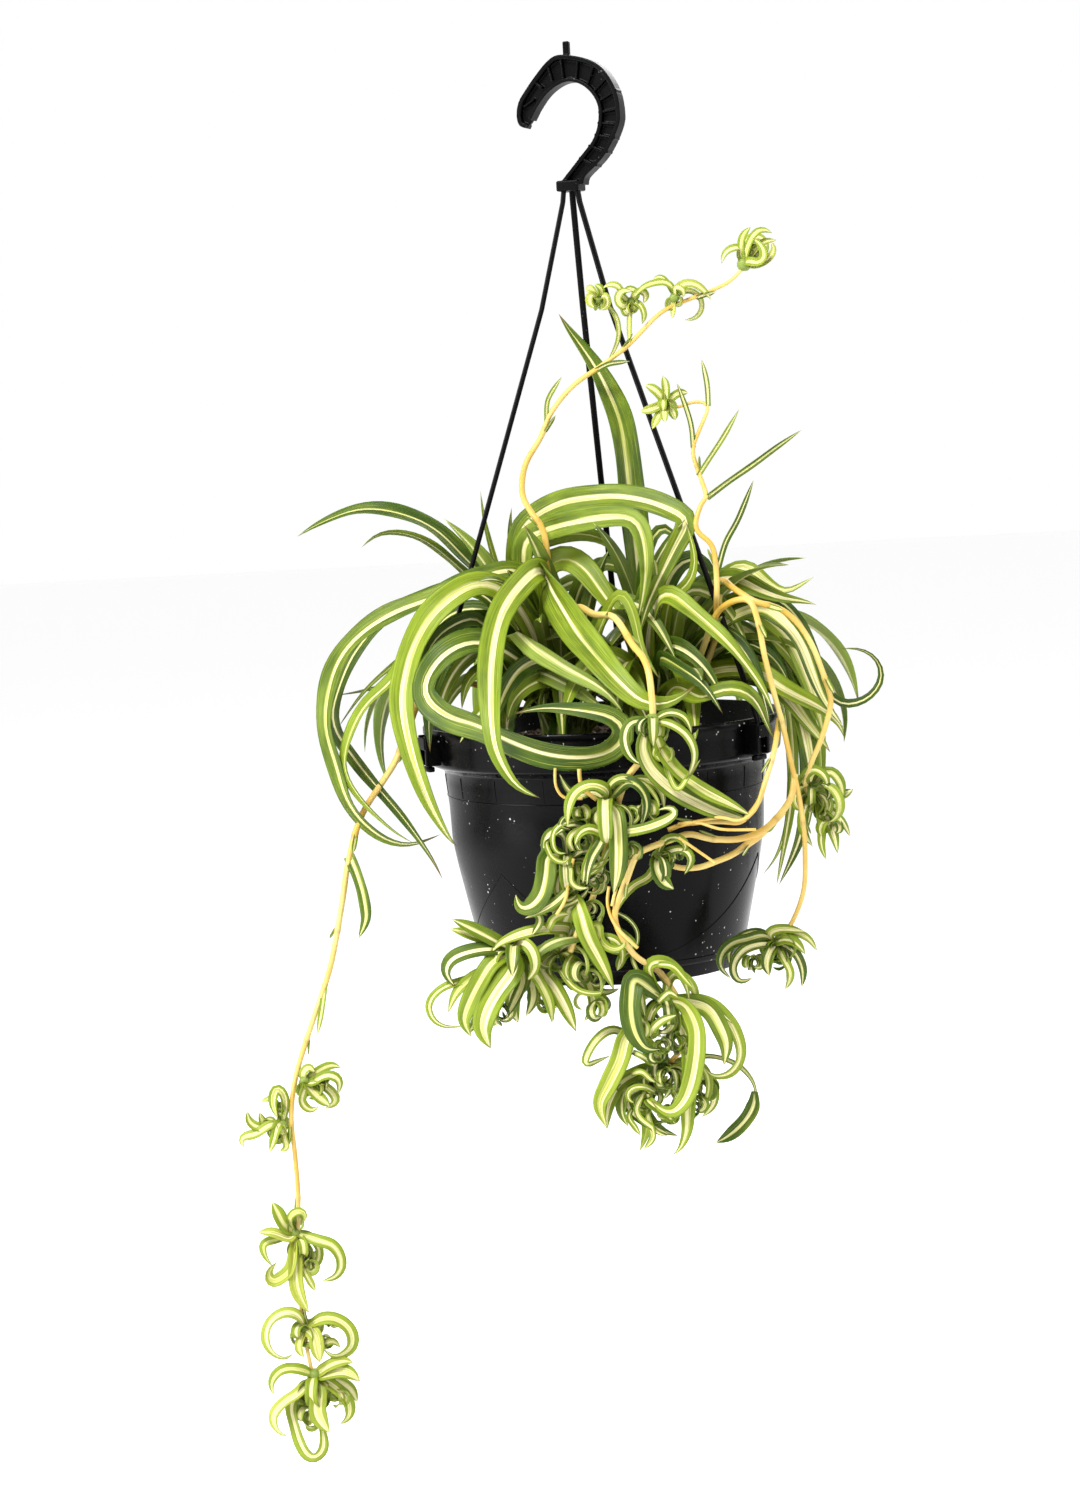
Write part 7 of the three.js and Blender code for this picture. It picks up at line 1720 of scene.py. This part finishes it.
@dataclass
class PottingMix:
    """Mounded crumbly peat with bark and a few pale grains, which fills the pot."""

    skin: bpy.types.Material
    rings: int = 60
    turns: int = 160
    crumbs: int = 420
    reach: float = 85.2          # radius of the surface
    scatter: float = 82.0        # crumbs lie within this radius
    mound: tuple[tuple[float, float], ...] = ((0, 3.5), (30, 3), (60, 1.4))  # (radius, rise)
    seed: int = 5

    def height(self, r: float) -> float:
        """Height of the mound at radius r, before its lumps."""
        profile = (*self.mound, (self.reach, 0))
        for (r0, z0), (r1, z1) in zip(profile, profile[1:]):
            if r <= r1:
                return SOIL_Z + z0 + (z1 - z0) * (r - r0) / (r1 - r0)
        return SOIL_Z

    def make(self) -> bpy.types.Object:
        """Builds the mix and dresses it."""
        draft = MeshDraft()
        wall = ((60.5, -435), (61, -434.6), (68.1, -406), (75.2, -370), (77.5, -333.2), (84.5, -328.2))
        rings = [draft.ring(circle(r, z, self.turns)) for r, z in wall]
        for i in range(self.rings):
            r = self.reach * (1 - i / self.rings)
            ring = []
            for p in circle(r, 0.0, self.turns):
                lump = 1.1 * noise.fractal(p / 7, 1.0, 2.0, 4) + 0.6 * noise.noise(p / 2.2)
                ring.append(draft.point(p + UP * (self.height(r) - 1.2 + lump * (0.2 if r > 84 else 1.0))))
            rings.append(ring)
        draft.tube(rings)
        rnd = Seeded(self.seed)
        for _ in range(self.crumbs):
            q, r = rnd.between(0, TURN), self.scatter * math.sqrt(rnd())
            size = rnd.between(0.7, 2.2)
            at = Vector((r * math.cos(q), r * math.sin(q), self.height(r) - 0.6))
            self.crumb(draft, at, size, rnd)
        return dress(draft.build("potting_mix_mound", self.skin), "potting_mix", "potting_mix")

    def crumb(self, draft: MeshDraft, at: Vector, size: float, rnd: Seeded) -> None:
        """Adds one irregular crumb, an eight-sided grain with its own tone."""
        turn = Matrix.Rotation(rnd.between(0, 6.28), 3, Vector((rnd(), rnd(), rnd() + 0.1)).normalized())
        flat, tone = rnd.between(0.35, 0.9), rnd()
        corners = [Vector((x, y, z * flat)) * size * rnd.between(0.7, 1.1) for x, y, z in
                   ((1, 0, 0), (-1, 0, 0), (0, 1, 0), (0, -1, 0), (0, 0, 1), (0, 0, -1))]
        k = draft.ring([at + turn @ c for c in corners], tone=tone)
        for a, b in ((0, 2), (2, 1), (1, 3), (3, 0)):
            draft.face(k[a], k[b], k[4])
        for a, b in ((2, 0), (1, 2), (3, 1), (0, 3)):
            draft.face(k[a], k[b], k[5])


# ----------------------------------------------------------------------------------------- stage
@dataclass
class Studio:
    """Pale floor, soft light and the camera at the photograph's viewing angle."""

    floor_z: float = -760.0
    floor_half: float = 14000.0
    lens: float = 76.49
    aim: tuple[float, float, float] = (0, 0, -0.32)
    paint: Colour = (0.97, 0.97, 0.97)

    def camera(self) -> None:
        """Sets the camera."""
        ahead, right, up = view_axes()
        data = bpy.data.cameras.new("view")
        data.lens, data.sensor_width, data.sensor_fit = self.lens, 36.0, "AUTO"
        data.clip_start, data.clip_end = 0.05, 50.0
        made = linked("view", data)
        made.matrix_world = Matrix.Translation(EYE * MM) @ Matrix((right, up, -ahead)).transposed().to_4x4()
        bpy.context.scene.camera = made

    def light(self, name: str, at: tuple[float, float, float], size: float, power: float) -> None:
        """Adds a soft square light, `size` metres across, that looks at the plant."""
        data = bpy.data.lights.new(name, "AREA")
        data.energy, data.size = power, size
        made = linked(name, data)
        made.location = at
        made.rotation_euler = (Vector(self.aim) - Vector(at)).to_track_quat("-Z", "Y").to_euler()

    def make(self) -> None:
        """Builds the floor, the lights and the camera."""
        self.camera()
        s = Shader("floor_paint")
        s.give(Base_Color=self.paint, Roughness=0.8)
        draft, size = MeshDraft(), self.floor_half
        corners = ((-size, -size), (size, -size), (size, size), (-size, size))
        draft.face(*draft.ring([Vector((x, y, self.floor_z)) for x, y in corners]))
        draft.build("floor", s.material, smooth=False)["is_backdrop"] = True
        world = bpy.data.worlds.new("studio")
        world.use_nodes = True
        sky = world.node_tree.nodes["Background"]
        sky.inputs[0].default_value, sky.inputs[1].default_value = (1, 1, 1, 1), 1.0
        bpy.context.scene.world = world
        self.light("key", (-0.7, -1.2, 1.15), 0.6, 66)
        self.light("side", (-1.7, -0.75, -0.2), 0.8, 28)
        self.light("edge", (1.5, -0.5, 0.1), 0.45, 12)
        self.light("back", (0.6, 1.3, 0.9), 1.0, 16)
        bpy.context.scene.view_settings.view_transform = "Standard"


def main() -> None:
    """Builds every piece in order."""
    logging.basicConfig(level=logging.INFO, format="%(message)s")
    Studio().make()
    leaf, stem = LeafFinish().make(), RunnerFinish().make()
    plastic = PlasticFinish("pot_plastic").make()
    hanger = PlasticFinish("hanger_plastic", dusty=0.15, rough=0.22).make()
    Hook(hanger).make()
    for side, azimuth in LUG_AZIMUTHS.items():
        HangerArm(azimuth, f"hanger_arm_{side}", hanger).make()
    Pot(plastic).make()
    PottingMix(SoilFinish().make()).make()
    MotherPlant(MOTHER_LEAVES, leaf).make()
    for row in RUNNERS:
        Runner(row, stem, leaf).make()
    for row in PLANTLETS:
        Plantlet(row, leaf).make()
    boxes = [[list(corner) for corner in box] for box in (CAD_BOX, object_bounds())]


if __name__ == "__main__":
    main()
